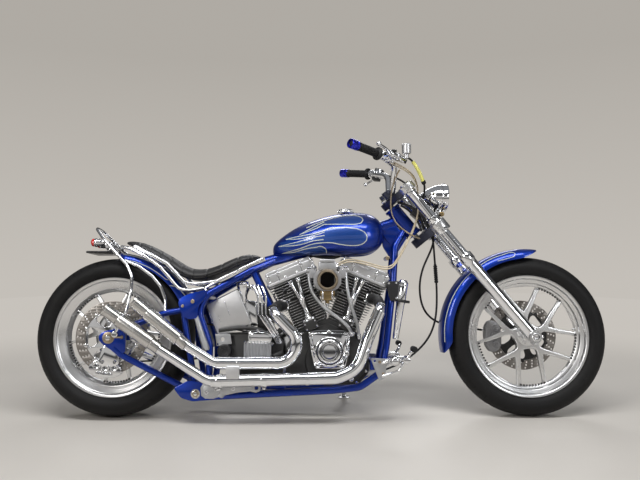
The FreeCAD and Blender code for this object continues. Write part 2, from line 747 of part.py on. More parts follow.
def tyre(centre, radius, crown_radius, crown_angle, side, seat_radius, bead_y):
    turn = math.radians(crown_angle)
    crown_centre = radius - crown_radius
    end_y = crown_radius * math.sin(turn)
    end_r = crown_centre + crown_radius * math.cos(turn)
    side_y, side_r = side

    def at(y, r):
        return FreeCAD.Vector(0, y, r)

    edges = [
        Part.Arc(at(-bead_y, seat_radius), at(-side_y, side_r), at(-end_y, end_r)).toShape(),
        Part.Arc(at(-end_y, end_r), at(0, radius), at(end_y, end_r)).toShape(),
        Part.Arc(at(end_y, end_r), at(side_y, side_r), at(bead_y, seat_radius)).toShape(),
        Part.LineSegment(at(bead_y, seat_radius), at(-bead_y, seat_radius)).toShape()]
    solid = Part.Face(Part.Wire(edges)).revolve(ORIGIN, SIDE, 360)
    solid.translate(centre)
    return solid


def rim_barrel(centre, half, flange_r, seat_r, barrel_r):
    inner_half = half - flange_thickness
    profile = (
        (-half, flange_r), (-inner_half, flange_r), (-inner_half, seat_r), (inner_half, seat_r),
        (inner_half, flange_r), (half, flange_r), (half, flange_r - flange_depth),
        (half - barrel_slope, barrel_r), (barrel_slope - half, barrel_r), (-half, flange_r - flange_depth))
    return turned(profile, centre)


def window(radius, shares, y_range):
    """A hole that is the same above and below its axis; shares are (along, aside) of the plate's radius."""
    upper = [(radius * along, radius * aside) for along, aside in shares]
    lower = [(along, -aside) for along, aside in reversed(upper)]
    return plate(upper + lower, y_range, radius * window_corner_share)


def wheel_face(centre, radius, y_range):
    """A round plate whose windows leave wishbone spokes standing."""
    low, high = y_range
    face = rod((0, low, 0), (0, high, 0), radius + flange_thickness)
    step = 360 / spoke_count
    rings = ((fork_window_shares, spoke_first_angle), (gap_window_shares, spoke_first_angle + step / 2))
    for shares, first in rings:
        for i in range(spoke_count):
            hole = window(radius, shares, y_range)
            hole.rotate(ORIGIN, SIDE, -(first + step * i))
            face = face.cut(hole)
    face.translate(centre)
    return face


@functools.cache
def front_rim():
    low = front_spoke_plane_y - front_spoke_half_depth
    high = front_spoke_plane_y + front_spoke_half_depth
    pieces = [
        rim_barrel(
            FRONT_HUB, front_rim_half_width, front_flange_radius, front_seat_radius, front_barrel_radius),
        turned(((-front_dish_y, front_barrel_radius), (front_dish_y, front_barrel_radius),
                (front_dish_y, front_dish_radius), (-front_dish_y, front_dish_radius)), FRONT_HUB),
        cross(FRONT_HUB.x, front_hub_half_length, FRONT_HUB.z, front_hub_radius)]
    pieces.append(wheel_face(FRONT_HUB, front_dish_radius, (low, high)))
    return join(pieces).cut(wheel_bore(FRONT_HUB, front_hub_half_length))


def wheel_bore(centre, half):
    reach = half * 2
    return rod(centre - SIDE * reach, centre + SIDE * reach, axle_radius + bore_clearance)


@functools.cache
def rear_rim():
    low = rear_spoke_plane_y - rear_spoke_half_depth
    high = rear_spoke_plane_y + rear_spoke_half_depth
    pulley_low = pulley_y - pulley_half_width
    pulley_high = pulley_y + pulley_half_width
    pieces = [
        rim_barrel(REAR_HUB, rear_rim_half_width, rear_flange_radius, rear_seat_radius, rear_barrel_radius),
        turned(((low, rear_barrel_radius), (high, rear_barrel_radius), (high, rear_dish_radius),
                (low, rear_dish_radius)), REAR_HUB),
        rod(REAR_HUB - SIDE * rear_hub_half_length, REAR_HUB + SIDE * pulley_high, rear_hub_radius),
        turned((
            (pulley_low, pulley_radius), (pulley_high, pulley_radius), (pulley_high, pulley_inner_radius),
                (pulley_low, pulley_inner_radius)), REAR_HUB),
        turned(((pulley_high - pulley_flange_width, pulley_radius + pulley_flange),
                (pulley_high, pulley_radius + pulley_flange), (pulley_high, pulley_inner_radius),
                (pulley_high - pulley_flange_width, pulley_inner_radius)), REAR_HUB),
        turned(((pulley_y - pulley_flange_width, pulley_radius - pulley_flange),
                (pulley_y + pulley_flange_width, pulley_radius - pulley_flange),
                (pulley_y + pulley_flange_width, rear_hub_radius / 2),
                (pulley_y - pulley_flange_width, rear_hub_radius / 2)), REAR_HUB)]
    pieces.append(wheel_face(REAR_HUB, rear_dish_radius, (low, high)))
    return join(pieces).cut(wheel_bore(REAR_HUB, pulley_high))


def front_tyre():
    bead = front_rim_half_width - flange_thickness
    return tyre(FRONT_HUB, front_tyre_radius, front_crown_radius, front_crown_half_angle, front_tyre_side,
                front_seat_radius, bead).cut(front_rim())


def rear_tyre():
    bead = rear_rim_half_width - flange_thickness
    return tyre(REAR_HUB, rear_tyre_radius, rear_crown_radius, rear_crown_half_angle, rear_tyre_side,
                rear_seat_radius, bead).cut(rear_rim())


def sector(centre, radii, y_range, start, end):
    """Part of a ring about a wheel's axis, from one angle to another."""
    inner, outer = radii
    low, high = y_range
    points = [FreeCAD.Vector(inner, low, 0), FreeCAD.Vector(outer, low, 0), FreeCAD.Vector(outer, high, 0),
              FreeCAD.Vector(inner, high, 0)]
    face = Part.Face(Part.makePolygon(points + [points[0]]))
    face.rotate(ORIGIN, SIDE, -start)
    solid = face.revolve(ORIGIN, -SIDE, end - start)
    solid.translate(centre)
    return solid


def disc(centre, y, hub_y, hub_r):
    """A brake disc on a carrier whose arms reach the hub face."""
    half = disc_thickness / 2
    ring = turned(((y - half, disc_radius), (y + half, disc_radius), (y + half, disc_inner_radius),
                   (y - half, disc_inner_radius)), centre)
    carrier_half = disc_carrier_thickness / 2
    carrier = turned(((y - carrier_half, disc_carrier_radius), (y + carrier_half, disc_carrier_radius),
                      (y + carrier_half, axle_radius * 2), (y - carrier_half, axle_radius * 2)), centre)
    step = 360 / disc_carrier_arms
    for i in range(disc_carrier_arms):
        start = step * i + disc_arm_angle / 2
        opening = sector(centre, (hub_r + disc_carrier_margin, disc_carrier_radius - disc_carrier_margin),
                         (y - disc_thickness, y + disc_thickness), start, start + step - disc_arm_angle)
        carrier = carrier.cut(opening)
    boss = rod(centre + SIDE * hub_y, centre + SIDE * y, hub_r)
    return join([ring, carrier, boss]).cut(wheel_bore(centre, abs(y)))


def front_disc():
    return disc(FRONT_HUB, front_disc_y, front_hub_half_length, front_hub_radius)


def rear_disc():
    return disc(REAR_HUB, rear_disc_y, -rear_hub_half_length, rear_hub_radius)


def largest(shape):
    return max(shape.Solids, key=lambda solid: solid.Volume)


def leg_point(along, y):
    return FRONT_HUB + UP * along + SIDE * y


def fork_legs():
    solids = [rod(leg_point(0, -front_axle_half_length), leg_point(0, front_axle_half_length), axle_radius)]
    for side in (-1, 1):
        y = side * leg_spacing_half
        solids.append(rod(leg_point(slider_bottom, y), leg_point(slider_top, y), slider_radius))
        solids.append(rod(leg_point(slider_top - slider_collar_length, y), leg_point(slider_top, y),
                          slider_collar_radius))
        solids.append(rod(leg_point(slider_top, y), leg_point(stanchion_top, y), stanchion_radius))
        solids.append(rod(leg_point(0, y - leg_axle_boss_half * side),
                          leg_point(0, y + (slider_radius + axle_nut_length / 2) * side),
                          leg_axle_boss_radius))
        solids.append(rod(leg_point(0, y), leg_point(0, y + (slider_radius + axle_nut_length) * side),
                          axle_nut_radius))
    return join(solids)


def neck_point(height, ahead, y):
    return NECK + UP * height + AHEAD * ahead + SIDE * y


def tree(height, thickness):
    """One fork yoke: two clamps and a hub joined by arms, with bores for the legs."""
    low = height - thickness / 2
    high = height + thickness / 2
    solids = [rod(neck_point(low, 0, 0), neck_point(high, 0, 0), tree_hub_radius)]
    for side in (-1, 1):
        y = side * leg_spacing_half
        solids.append(
            rod(neck_point(low, neck_offset, y), neck_point(high, neck_offset, y), tree_clamp_radius))
        arm = block((0, 0, 0), (tree_arm_width, math.hypot(leg_spacing_half, neck_offset), thickness))
        turn = math.degrees(math.atan2(neck_offset, y))
        arm.rotate(ORIGIN, FreeCAD.Vector(0, 0, 1), -turn)
        arm.rotate(ORIGIN, SIDE, -rake_angle)
        arm.translate(neck_point(height, neck_offset / 2, y / 2))
        solids.append(arm)
    shape = join(solids)
    for side in (-1, 1):
        y = side * leg_spacing_half
        shape = shape.cut(rod(neck_point(low - thickness, neck_offset, y),
                              neck_point(high + thickness, neck_offset, y), stanchion_radius + fork_gap))
    return shape


@functools.cache
def fork_trees():
    lower = tree(lower_tree_height, lower_tree_thickness)
    upper = tree(top_tree_height, top_tree_thickness)
    top = top_tree_height + top_tree_thickness / 2
    solids = [lower, upper] + fork_covers()
    solids.append(rod(neck_point(lower_tree_height, 0, 0), neck_point(top, 0, 0), stem_radius))
    solids.append(rod(neck_point(top, 0, 0), neck_point(top + stem_nut_height, 0, 0), stem_nut_radius))
    for side in (-1, 1):
        foot = neck_point(top, riser_forward, riser_y * side)
        solids.append(rod(foot, foot + UP * riser_height, riser_radius))
    return join(solids).cut(bar_space())


def fork_covers():
    solids = []
    for side in (-1, 1):
        y = side * leg_spacing_half
        low = leg_point(neck_along_leg + lower_tree_height + lower_tree_thickness / 2, y)
        high = leg_point(neck_along_leg + top_tree_height - top_tree_thickness / 2, y)
        solids.append(rod(low, high, cover_radius).cut(rod(low, high, stanchion_radius + fork_gap)))
    return solids


def bar_points(side):
    return [moved(NECK, (x, y * side, z)) for x, y, z in bar_route_from_neck]


def full_bar_points():
    right = bar_points(-1)
    left = bar_points(1)
    return list(reversed(right))[:-1] + left[1:]


@functools.cache
def bar_space():
    return tube(full_bar_points(), bar_radius + bar_gap, bar_bend_radius)


def handlebar():
    return tube(full_bar_points(), bar_radius, bar_bend_radius)


def grip_frame(side):
    """Grip start, direction out to its end, and its length."""
    inner, outer = vec(bar_points(side)[-2]), vec(bar_points(side)[-1])
    along = outer - inner
    length = along.Length
    along.normalize()
    return inner, along, length


def grips():
    solids = []
    for side in (-1, 1):
        inner, along, length = grip_frame(side)
        start = inner + along * (length * grip_start_share)
        end = inner + along * length
        solids.append(join([
            rod(start, end, grip_radius).cut(rod(start, end, bar_radius + bar_gap)),
            rod(start, start + along * grip_flange_length, grip_flange_radius).cut(
                rod(start, end, bar_radius + bar_gap)),
            rod(end, end + along * grip_cap_length, grip_cap_radius)]))
    return Part.makeCompound(solids)


@functools.cache
def hand_controls():
    """A perch and a lever on each side, with the brake cylinder and its fluid cup on the right."""
    solids = []
    for side in (-1, 1):
        inner, along, length = grip_frame(side)
        forward = along.cross(FreeCAD.Vector(0, 0, 1)) * side
        forward.normalize()
        perch_start = inner - along * (perch_length * perch_inset_share)
        pieces = [rod(perch_start, perch_start + along * perch_length, perch_radius)]
        pivot = inner + forward * lever_pivot[0] - along * lever_pivot[1]
        pieces.append(rod(inner, pivot, lever_ball_radius))
        rise = lever_tip_rise[0] if side < 0 else lever_tip_rise[1]
        tip = inner + along * (length * lever_reach_share) + forward * lever_spread
        tip.z += rise
        pieces += [rod(pivot, tip, lever_radius), Part.makeSphere(lever_ball_radius, tip)]
        if side < 0:
            x, y = fluid_cup_centre
            end = vec(brake_cylinder_end)
            pieces += [
                rod(pivot, end, brake_cylinder_radius), Part.makeSphere(brake_cylinder_radius, end),
                rod((x, y, end.z), (x, y, fluid_cup_z[1]), fluid_cup_neck_radius),
                rod((x, y, fluid_cup_z[0]), (x, y, fluid_cup_z[1]), fluid_cup_radius)]
        solids.append(join(pieces).cut(bar_space()))
    return Part.makeCompound(solids)


def lamp_direction():
    turn = math.radians(lamp_droop)
    return FreeCAD.Vector(math.cos(turn), 0, -math.sin(turn))


def bullet(front, rim, bulge, tail, nose):
    """A lamp shell turned about the forward axis: a straight rim, a swept back and a small nose."""

    def at(along, radius):
        return FreeCAD.Vector(along, 0, radius)

    edges = [
        Part.LineSegment(at(front[0], 0), at(*front)).toShape(),
        Part.LineSegment(at(*front), at(*rim)).toShape(),
        Part.Arc(at(*rim), at(*bulge), at(*tail)).toShape(),
        Part.LineSegment(at(*tail), at(*nose)).toShape(),
        Part.LineSegment(at(*nose), at(nose[0], 0)).toShape(),
        Part.LineSegment(at(nose[0], 0), at(front[0], 0)).toShape()]
    return Part.Face(Part.Wire(edges)).revolve(ORIGIN, FreeCAD.Vector(1, 0, 0), 360)


def headlamp():
    face = vec(lamp_centre)
    ahead = lamp_direction()
    back = face - ahead * lamp_rim_length
    tail = lamp_rim_length + lamp_body_length
    nose = tail + lamp_nose_length
    shell = bullet(
        (0, lamp_radius), (-lamp_rim_length, lamp_radius),
        (-lamp_rim_length - lamp_body_length * lamp_bulge_along_share, lamp_radius * lamp_bulge_share),
        (-tail, lamp_tail_radius), (-nose, lamp_nose_radius))
    shell.rotate(ORIGIN, SIDE, lamp_droop)
    shell.translate(face)
    hollow = rod(back, face + ahead * lamp_rim_length, lamp_glass_radius + lamp_glass_gap)
    shell = shell.cut(hollow)
    stem = tube((lamp_stem_foot, lamp_stem_knee, lamp_stem_top), lamp_stem_radius)
    return largest(join([shell, stem]).cut(fork_trees()))


def headlamp_glass():
    face = vec(lamp_centre)
    ahead = lamp_direction()
    return join([
        rod(face - ahead * lamp_rim_length, face - ahead * lamp_glass_bulge / 2, lamp_glass_radius),
        taper(face - ahead * lamp_glass_bulge / 2, face + ahead * lamp_glass_bulge, lamp_glass_radius,
              lamp_glass_radius - lamp_glass_bulge)])


def channel(centre, radius, skirt_radius, half_width, sheet, corner, start_angle, end_angle):
    """A wheel guard: a section with round shoulders turned through part of a circle."""

    def at(y, r):
        return FreeCAD.Vector(r, y, 0)

    def shoulders(half, top, round_radius):
        """One skin of the section, from the left skirt over the crown to the right one."""
        reach = round_radius * math.cos(math.pi / 4)
        middle = half - round_radius
        low = top - round_radius
        return [
            Part.LineSegment(at(-half, skirt_radius), at(-half, low)).toShape(),
            Part.Arc(at(-half, low), at(-middle - reach, low + reach), at(-middle, top)).toShape(),
            Part.LineSegment(at(-middle, top), at(middle, top)).toShape(),
            Part.Arc(at(middle, top), at(middle + reach, low + reach), at(half, low)).toShape(),
            Part.LineSegment(at(half, low), at(half, skirt_radius)).toShape()]

    inner = half_width - sheet
    edges = shoulders(half_width, radius, corner)
    edges.append(Part.LineSegment(at(half_width, skirt_radius), at(inner, skirt_radius)).toShape())
    edges += reversed(shoulders(inner, radius - sheet, corner - sheet))
    edges.append(Part.LineSegment(at(-inner, skirt_radius), at(-half_width, skirt_radius)).toShape())
    face = Part.Face(Part.Wire(Part.__sortEdges__(edges)))
    face.rotate(ORIGIN, SIDE, -start_angle)
    solid = face.revolve(ORIGIN, -SIDE, end_angle - start_angle)
    solid.translate(centre)
    return solid


def front_fender():
    shell = channel(FRONT_HUB, fender_radius, fender_skirt_radius, fender_half_width, fender_sheet,
                    fender_corner, fender_front_angle, fender_rear_angle)
    lugs = []
    for side in (-1, 1):
        leg = leg_point(fender_lug_along, leg_spacing_half * side)
        wall = FreeCAD.Vector(leg.x, (fender_half_width - fender_sheet) * side, leg.z)
        lugs.append(rod(wall, leg - SIDE * (slider_radius * side), axle_radius))
    return join([shell] + lugs)


@functools.cache
def rear_fender_space():
    """The rear guard with a thin skin of air, for cutting what leans on it."""
    return channel(REAR_HUB, rear_fender_radius + fender_air, rear_fender_skirt_radius,
                   rear_fender_half_width + fender_air, fender_sheet + fender_air * 2,
                   rear_fender_corner + fender_air, rear_fender_front_angle, rear_fender_rear_angle)


@functools.cache
def rear_fender():
    shell = channel(REAR_HUB, rear_fender_radius, rear_fender_skirt_radius, rear_fender_half_width,
                    fender_sheet, rear_fender_corner, rear_fender_front_angle, rear_fender_rear_angle)
    return largest(shell.cut(main_frame()).cut(swingarm()))


def caliper(centre, y, angle, half_width):
    """A caliper that hugs its disc, with round piston covers on both faces."""
    body = sector(centre, caliper_radii, (y - half_width, y + half_width), angle - caliper_half_angle,
                  angle + caliper_half_angle)
    half = caliper_slot / 2
    slot = turned(((y - half, disc_radius + caliper_slot), (y + half, disc_radius + caliper_slot),
                   (y + half, axle_radius * 2), (y - half, axle_radius * 2)), centre)
    solids = [body.cut(slot)]
    reach = half_width + caliper_cover_height
    for i in range(caliper_covers):
        turn = angle + caliper_cover_spacing * (i - (caliper_covers - 1) / 2)
        place = polar(centre, (caliper_radii[0] + caliper_radii[1]) / 2, turn)
        for side in (-1, 1):
            solids.append(rod(place + SIDE * (y + half_width * side), place + SIDE * (y + reach * side),
                              caliper_cover_radius))
    return solids


def front_caliper():
    solids = caliper(FRONT_HUB, front_disc_y, front_caliper_angle, front_caliper_half_width)
    centre = polar(FRONT_HUB, (caliper_radii[0] + caliper_radii[1]) / 2, front_caliper_angle)
    leg = leg_point(caliper_stay_along, leg_spacing_half)
    face = centre + SIDE * (front_disc_y + front_caliper_half_width - flange_thickness)
    stay = rod(face, leg, axle_radius)
    stay = stay.cut(rod(leg_point(slider_bottom, leg_spacing_half), leg_point(slider_top, leg_spacing_half),
                        slider_radius))
    return join(solids + [stay])


def rear_caliper():
    solids = caliper(REAR_HUB, rear_disc_y, rear_caliper_angle, rear_caliper_half_width)
    hanger = plate(rear_caliper_bracket, rear_caliper_bracket_y)
    hanger = hanger.cut(rod(REAR_HUB - SIDE * rear_axle_half_length, REAR_HUB, axle_radius + bore_clearance))
    return join(solids + [hanger]).cut(swingarm())


@functools.cache
def main_frame():
    solids = [rod(neck_point(-neck_half_length, 0, 0), neck_point(neck_half_length, 0, 0), neck_radius)]
    for end in (-1, 1):
        cup_start = neck_point(end * (neck_half_length - neck_cup_length), 0, 0)
        solids.append(rod(cup_start, neck_point(end * neck_half_length, 0, 0), neck_cup_radius))
    solids.append(tube(backbone_route, backbone_radius))
    solids += both_sides(seat_tube_route, tube_radius, bend_radius)
    solids += both_sides(down_tube_route, tube_radius, bend_radius)
    solids.append(plate(gusset_outline, (-gusset_half_thickness, gusset_half_thickness)))
    solids.append(cross(gusset_bolt[0], gusset_bolt_half_length, gusset_bolt[1], gusset_bolt_radius))
    for x, half, z in cross_tubes:
        solids.append(cross(x, half, z, cross_tube_radius))
    for x, z in tank_mounts:
        solids.append(cross(x, tank_tunnel_half_width - tank_mount_gap, z, tank_mount_radius))
    for outline, y_range in ((casting_outline, casting_y), (pivot_casting_outline, pivot_casting_y)):
        side_plate = plate(outline, y_range)
        solids += [side_plate, flipped(side_plate)]
    solids.append(block(engine_mount_front, engine_mount_size))
    solids.append(block(engine_mount_rear, engine_mount_rear_size))
    solids.append(cross(pivot_bolt[0], pivot_bolt_half_length, pivot_bolt[1], pivot_bolt_radius))
    trim = taper(frame_trim[0], frame_trim[1], *frame_trim_radii)
    solids += [trim, flipped(trim)]
    solids += both_sides(seat_post, tube_radius)
    solids.append(stand_bracket())
    solids.append(rod(vec(stand_pivot) - stand_direction() * stand_pin_half_length,
                      vec(stand_pivot) + stand_direction() * stand_pin_half_length, stand_pin_radius))
    stem_bore = rod(neck_point(-neck_half_length * 2, 0, 0), neck_point(neck_half_length * 2, 0, 0),
                    stem_bore_radius)
    return largest(join(solids).cut(stem_bore).cut(engine_cases()).cut(gearbox()))


def stand_direction():
    axis = vec(stand_axis)
    axis.normalize()
    return axis


@functools.cache
def stand_bracket():
    """Two flat lugs that hold the stand's pin, on a root block that meets the lower rail."""
    pivot = vec(stand_pivot)
    axis = stand_direction()
    rail = FreeCAD.Vector(pivot.x, -down_tube_route[-2][1], down_tube_route[-2][2])
    inward = rail - pivot
    reach = inward.Length
    inner = stand_eye_half_length + stand_gap
    outer = inner + stand_lug_length
    width = stand_lug_radius * 2
    solids = []
    for low in (inner, -outer):
        corner = FreeCAD.Vector(0, -stand_lug_radius, low)
        solids.append(Part.makeBox(reach, width, stand_lug_length, corner))
        solids.append(Part.makeCylinder(stand_lug_radius, stand_lug_length, FreeCAD.Vector(0, 0, low)))
    root_start = stand_eye_radius + stand_root_gap
    solids.append(Part.makeBox(reach - root_start, width, outer * 2,
                               FreeCAD.Vector(root_start, -stand_lug_radius, -outer)))
    shape = join(solids)
    aside = axis.cross(inward)
    ahead = aside.cross(axis)
    shape.Placement = FreeCAD.Placement(pivot, FreeCAD.Rotation(ahead, aside, axis, "ZXY"))
    return shape


def side_stand():
    """The leg, from its eye to a flat foot on the ground."""
    pivot = vec(stand_pivot)
    axis = stand_direction()
    foot_z = stand_foot_y * math.tan(LEAN)
    foot_top = FreeCAD.Vector(stand_foot_x, stand_foot_y, foot_z) + down_world() * -stand_radius
    knee = pivot + (foot_top - pivot) * stand_bend_share + FreeCAD.Vector(stand_bend_out, 0, 0)
    leg = tube((pivot, knee, foot_top), stand_radius)
    eye = rod(pivot - axis * stand_eye_half_length, pivot + axis * stand_eye_half_length, stand_eye_radius)
    pad = block((0, 0, stand_foot_size[2] / 2), stand_foot_size)
    pad.rotate(ORIGIN, FreeCAD.Vector(1, 0, 0), lean_angle)
    pad.translate(FreeCAD.Vector(stand_foot_x, stand_foot_y, foot_z))
    body = join([eye, leg, pad])
    lugs = stand_lug_space()
    hole = rod(pivot - axis * stand_pin_half_length, pivot + axis * stand_pin_half_length,
               stand_pin_radius + stand_pin_gap)
    return body.cut(hole).cut(lugs)


def stand_lug_space():
    """The room that the two lugs take beside the eye, with a small gap."""
    pivot = vec(stand_pivot)
    axis = stand_direction()
    solids = []
    for end in (-1, 1):
        inner = pivot + axis * (end * stand_eye_half_length)
        outer = inner + axis * (end * stand_pin_half_length)
        solids.append(rod(inner, outer, stand_lug_radius + stand_gap * 2))
    return join(solids)


def down_world():
    return FreeCAD.Vector(0, math.sin(LEAN), -math.cos(LEAN))


@functools.cache
def swingarm():
    solids = both_sides(swing_upper, swing_radius) + both_sides(swing_front, swing_radius)
    solids += both_sides(swing_lower, swing_radius)
    solids.append(cross(swing_cross[0], -swing_front[0][1], swing_cross[1], swing_radius))
    solids.append(cross(pivot_bolt[0], swing_sleeve_half_length, pivot_bolt[1], swing_sleeve_radius))
    side_plate = plate(axle_plate_outline, axle_plate_y)
    solids += [side_plate, flipped(side_plate)]
    solids.append(rod(REAR_HUB - SIDE * rear_axle_half_length, REAR_HUB + SIDE * rear_axle_half_length,
                      axle_radius))
    for side in (-1, 1):
        face = REAR_HUB + SIDE * (-axle_plate_y[0] * side)
        solids.append(rod(face, face + SIDE * (axle_nut_length * side), rear_nut_radius))
    bolt = cross(pivot_bolt[0], pivot_bolt_half_length, pivot_bolt[1], pivot_bolt_radius + bore_clearance)
    return join(solids).cut(bolt)


def on_cylinder(shape, side):
    """Move a shape drawn upright at the crank onto the rear (-1) or front (1) cylinder."""
    shape.rotate(ORIGIN, SIDE, cylinder_angle * side)
    shape.translate(CRANK)
    return shape


def cylinder(side):
    solids = [rod((0, 0, barrel_start), (0, 0, barrel_end), barrel_radius)]
    pitch = (barrel_end - barrel_start) / barrel_fin_count
    for i in range(barrel_fin_count):
        low = barrel_start + pitch * (i + 0.5)
        solids.append(rod((0, 0, low), (0, 0, low + fin_thickness), barrel_fin_radius))
    height = head_end - barrel_end
    solids.append(block((0, 0, barrel_end + height / 2), head_core + (height,)))
    pitch = height / head_fin_count
    for i in range(head_fin_count):
        share = i / (head_fin_count - 1)
        size = [a + (b - a) * share for a, b in zip(head_fin_small, head_fin_large)]
        z = barrel_end + pitch * (i + 0.5)
        solids.append(soft_block((0, 0, z), (size[0], size[1], fin_thickness), head_fin_corner))
    return on_cylinder(join(solids), side).cut(engine_cases())


@functools.cache
def rear_cylinder():
    return cylinder(-1)


@functools.cache
def front_cylinder():
    return cylinder(1)


@functools.cache
def rocker_boxes():
    boxes = []
    for side in (-1, 1):
        steps = []
        for i, (length, width) in enumerate(rocker_sizes):
            z = head_end + rocker_height * (i + 0.5)
            centre = (rocker_offset * side, 0, z)
            steps.append(soft_block(centre, (length, width, rocker_height), rocker_corner))
        boxes.append(on_cylinder(join(steps), side))
    return Part.makeCompound(boxes)


@functools.cache
def engine_cases():
    body = plate(case_outline, (-case_half_width, case_half_width))
    bulge = cross(CRANK.x, sump_round_half_width, CRANK.z, sump_round_radius)
    return join([body, bulge])


@functools.cache
def cam_cover():
    low, high = cam_y
    body = plate(cam_outline, cam_y, cam_corner)
    centre = FreeCAD.Vector(timing_centre[0], timing_y, timing_centre[1])
    cap = rod(centre, centre + SIDE * (high - timing_y), timing_radius)
    solids = [body, cap]
    for x, z in tappet_blocks:
        solids.append(block((x, (low + high) / 2, z), tappet_size))
    for (x0, z0), (x1, z1) in pushrod_lines:
        start = FreeCAD.Vector(x0, pushrod_y, z0)
        end = FreeCAD.Vector(x1, pushrod_y, z1)
        along = end - start
        along.normalize()
        solids.append(rod(start, end, pushrod_radius))
        solids.append(rod(start, start + along * pushrod_cup_length, pushrod_cup_radius))
        solids.append(rod(end - along * pushrod_cup_length, end, pushrod_cup_radius))
    shape = join(solids).cut(engine_cases())
    return shape.cut(rear_cylinder()).cut(front_cylinder()).cut(rocker_boxes())


def carburettor():
    x, z = carb_centre
    horn = rod((x, carb_mouth_y, z), (x, carb_horn_y, z), carb_outer_radius)
    bore = rod((x, carb_mouth_y, z), (x, carb_body_y, z), carb_bore_radius)
    body = block((x, carb_body_y, z), carb_body_size)

    def upright(heights, radius):
        return rod((x, carb_body_y, crank_z + heights[0]), (x, carb_body_y, crank_z + heights[1]), radius)

    top = upright(carb_top_from_crank, carb_top_radius)
    bowl = upright(carb_bowl_from_crank, carb_bowl_radius)
    stem = upright(carb_stem_from_crank, carb_stem_radius)
    neck = rod(manifold_route[0], manifold_route[1], manifold_radius)
    arms = rod((crank_x - manifold_arm_x, manifold_route[1][1], manifold_arm_z),
               (crank_x + manifold_arm_x, manifold_route[1][1], manifold_arm_z), manifold_radius)
    shape = join([horn, body, top, bowl, stem, neck, arms]).cut(bore)
    return largest(shape.cut(rear_cylinder()).cut(front_cylinder()))


def breather_hoses():
    hoses = []
    for route in (hose_rear_route, hose_front_route):
        start, second = vec(route[0]), vec(route[1])
        along = second - start
        along.normalize()
        hoses.append(join([tube(route, hose_radius),
                           rod(start, start + along * hose_fitting_length, hose_fitting_radius)]))
    shape = Part.makeCompound(hoses)
    for other in (rocker_boxes(), cam_cover(), engine_cases(), rear_cylinder(), front_cylinder()):
        shape = shape.cut(other)
    return shape


@functools.cache
def gearbox():
    body = plate(gearbox_outline, gearbox_y)
    side_body = plate(gearbox_side_outline, gearbox_side_y)
    low, high = gearbox_side_y
    z_low = gearbox_side_outline[0][1]
    z_high = gearbox_side_outline[2][1]
    ribs = []
    for i in range(gearbox_rib_count):
        z = z_low + (z_high - z_low) * (i + 0.5) / gearbox_rib_count
        centre_x = (gearbox_side_outline[0][0] + gearbox_side_outline[1][0]) / 2
        length = gearbox_side_outline[1][0] - gearbox_side_outline[0][0]
        ribs.append(block((centre_x, low, z), (length, gearbox_rib * 2, gearbox_rib)))
    x, z = gearbox_round
    cap = rod((x, gearbox_round_y[0], z), (x, gearbox_round_y[1], z), gearbox_round_radius)
    shaft = rod((gear_shaft_x, gearbox_y[1], gear_shaft_z),
                (gear_shaft_x, pulley_y + belt_half_width, gear_shaft_z), gear_pulley_radius)
    return join([body, side_body, cap, shaft] + ribs).cut(engine_cases())


def stadium(first, second, y_range, margin):
    """A long rounded plate round two circles, each (x, z, radius)."""
    low, high = y_range
    (x0, z0, r0), (x1, z1, r1) = first, second
    r0, r1 = r0 + margin, r1 + margin
    gap = math.hypot(x1 - x0, z1 - z0)
    base = math.atan2(z1 - z0, x1 - x0)
    turn = math.acos((r0 - r1) / gap)
    corners = []
    for (x, z, r), sign in (((x0, z0, r0), 1), ((x1, z1, r1), 1), ((x1, z1, r1), -1), ((x0, z0, r0), -1)):
        angle = base + turn * sign
        corners.append(FreeCAD.Vector(x + r * math.cos(angle), low, z + r * math.sin(angle)))
    middle = Part.Face(Part.makePolygon(corners + [corners[0]])).extrude(SIDE * (high - low))
    ends = [rod((x, low, z), (x, high, z), r) for x, z, r in ((x0, z0, r0), (x1, z1, r1))]
    return join([middle] + ends)


def primary_cover():
    low, high = primary_y
    body = stadium(primary_front, primary_rear, (low, high - primary_inset), 0)
    crown = stadium(primary_front, primary_rear, (high - primary_inset, high), -primary_lip)
    x, z, r = primary_rear
    badge = rod((x, high, z), (x, high + primary_disc_height, z), primary_disc_radius)
    shape = join([body, crown, badge])
    link = rod((crank_x, case_half_width, crank_z), (crank_x, low, crank_z), primary_disc_radius)
    window = stadium((gear_shaft_x, gear_shaft_z, gear_pulley_radius),
                     (rear_hub_x, rear_hub_z, pulley_radius + pulley_flange),
                     (low - pulley_half_width, pulley_y + pulley_half_width),
                     belt_thickness + pulley_window_gap)
    return join([shape.cut(window), link]).cut(engine_cases()).cut(gearbox()).cut(main_frame())


def drive_belt():
    low, high = pulley_y - belt_half_width, pulley_y + belt_half_width
    wheels = ((gear_shaft_x, gear_shaft_z, gear_pulley_radius), (rear_hub_x, rear_hub_z, pulley_radius))
    outer = stadium(*wheels, (low, high), belt_gap + belt_thickness)
    inner = stadium(*wheels, (low - belt_thickness, high + belt_thickness), belt_gap)
    return outer.cut(inner)


def oil_tank():
    side_range = (-oil_half_width, oil_half_width)
    body = plate(oil_outline, side_range, oil_corner)
    neck = plate(oil_neck_outline, side_range)
    filler = taper(oil_filler[0], oil_filler[1], *oil_filler_radii)
    top = vec(oil_filler[1])
    along = top - vec(oil_filler[0])
    along.normalize()
    cap = rod(top, top + along * oil_cap_length, oil_filler_radii[1])
    solids = [body, neck, filler, cap]
    for i in range(2):
        shift = oil_line_spacing * i
        route = [(x + shift, y, z) for x, y, z in oil_line_route]
        solids.append(tube(route, oil_line_radius))
    shape = join(solids)
    return largest(shape.cut(gearbox()).cut(engine_cases()).cut(main_frame()))


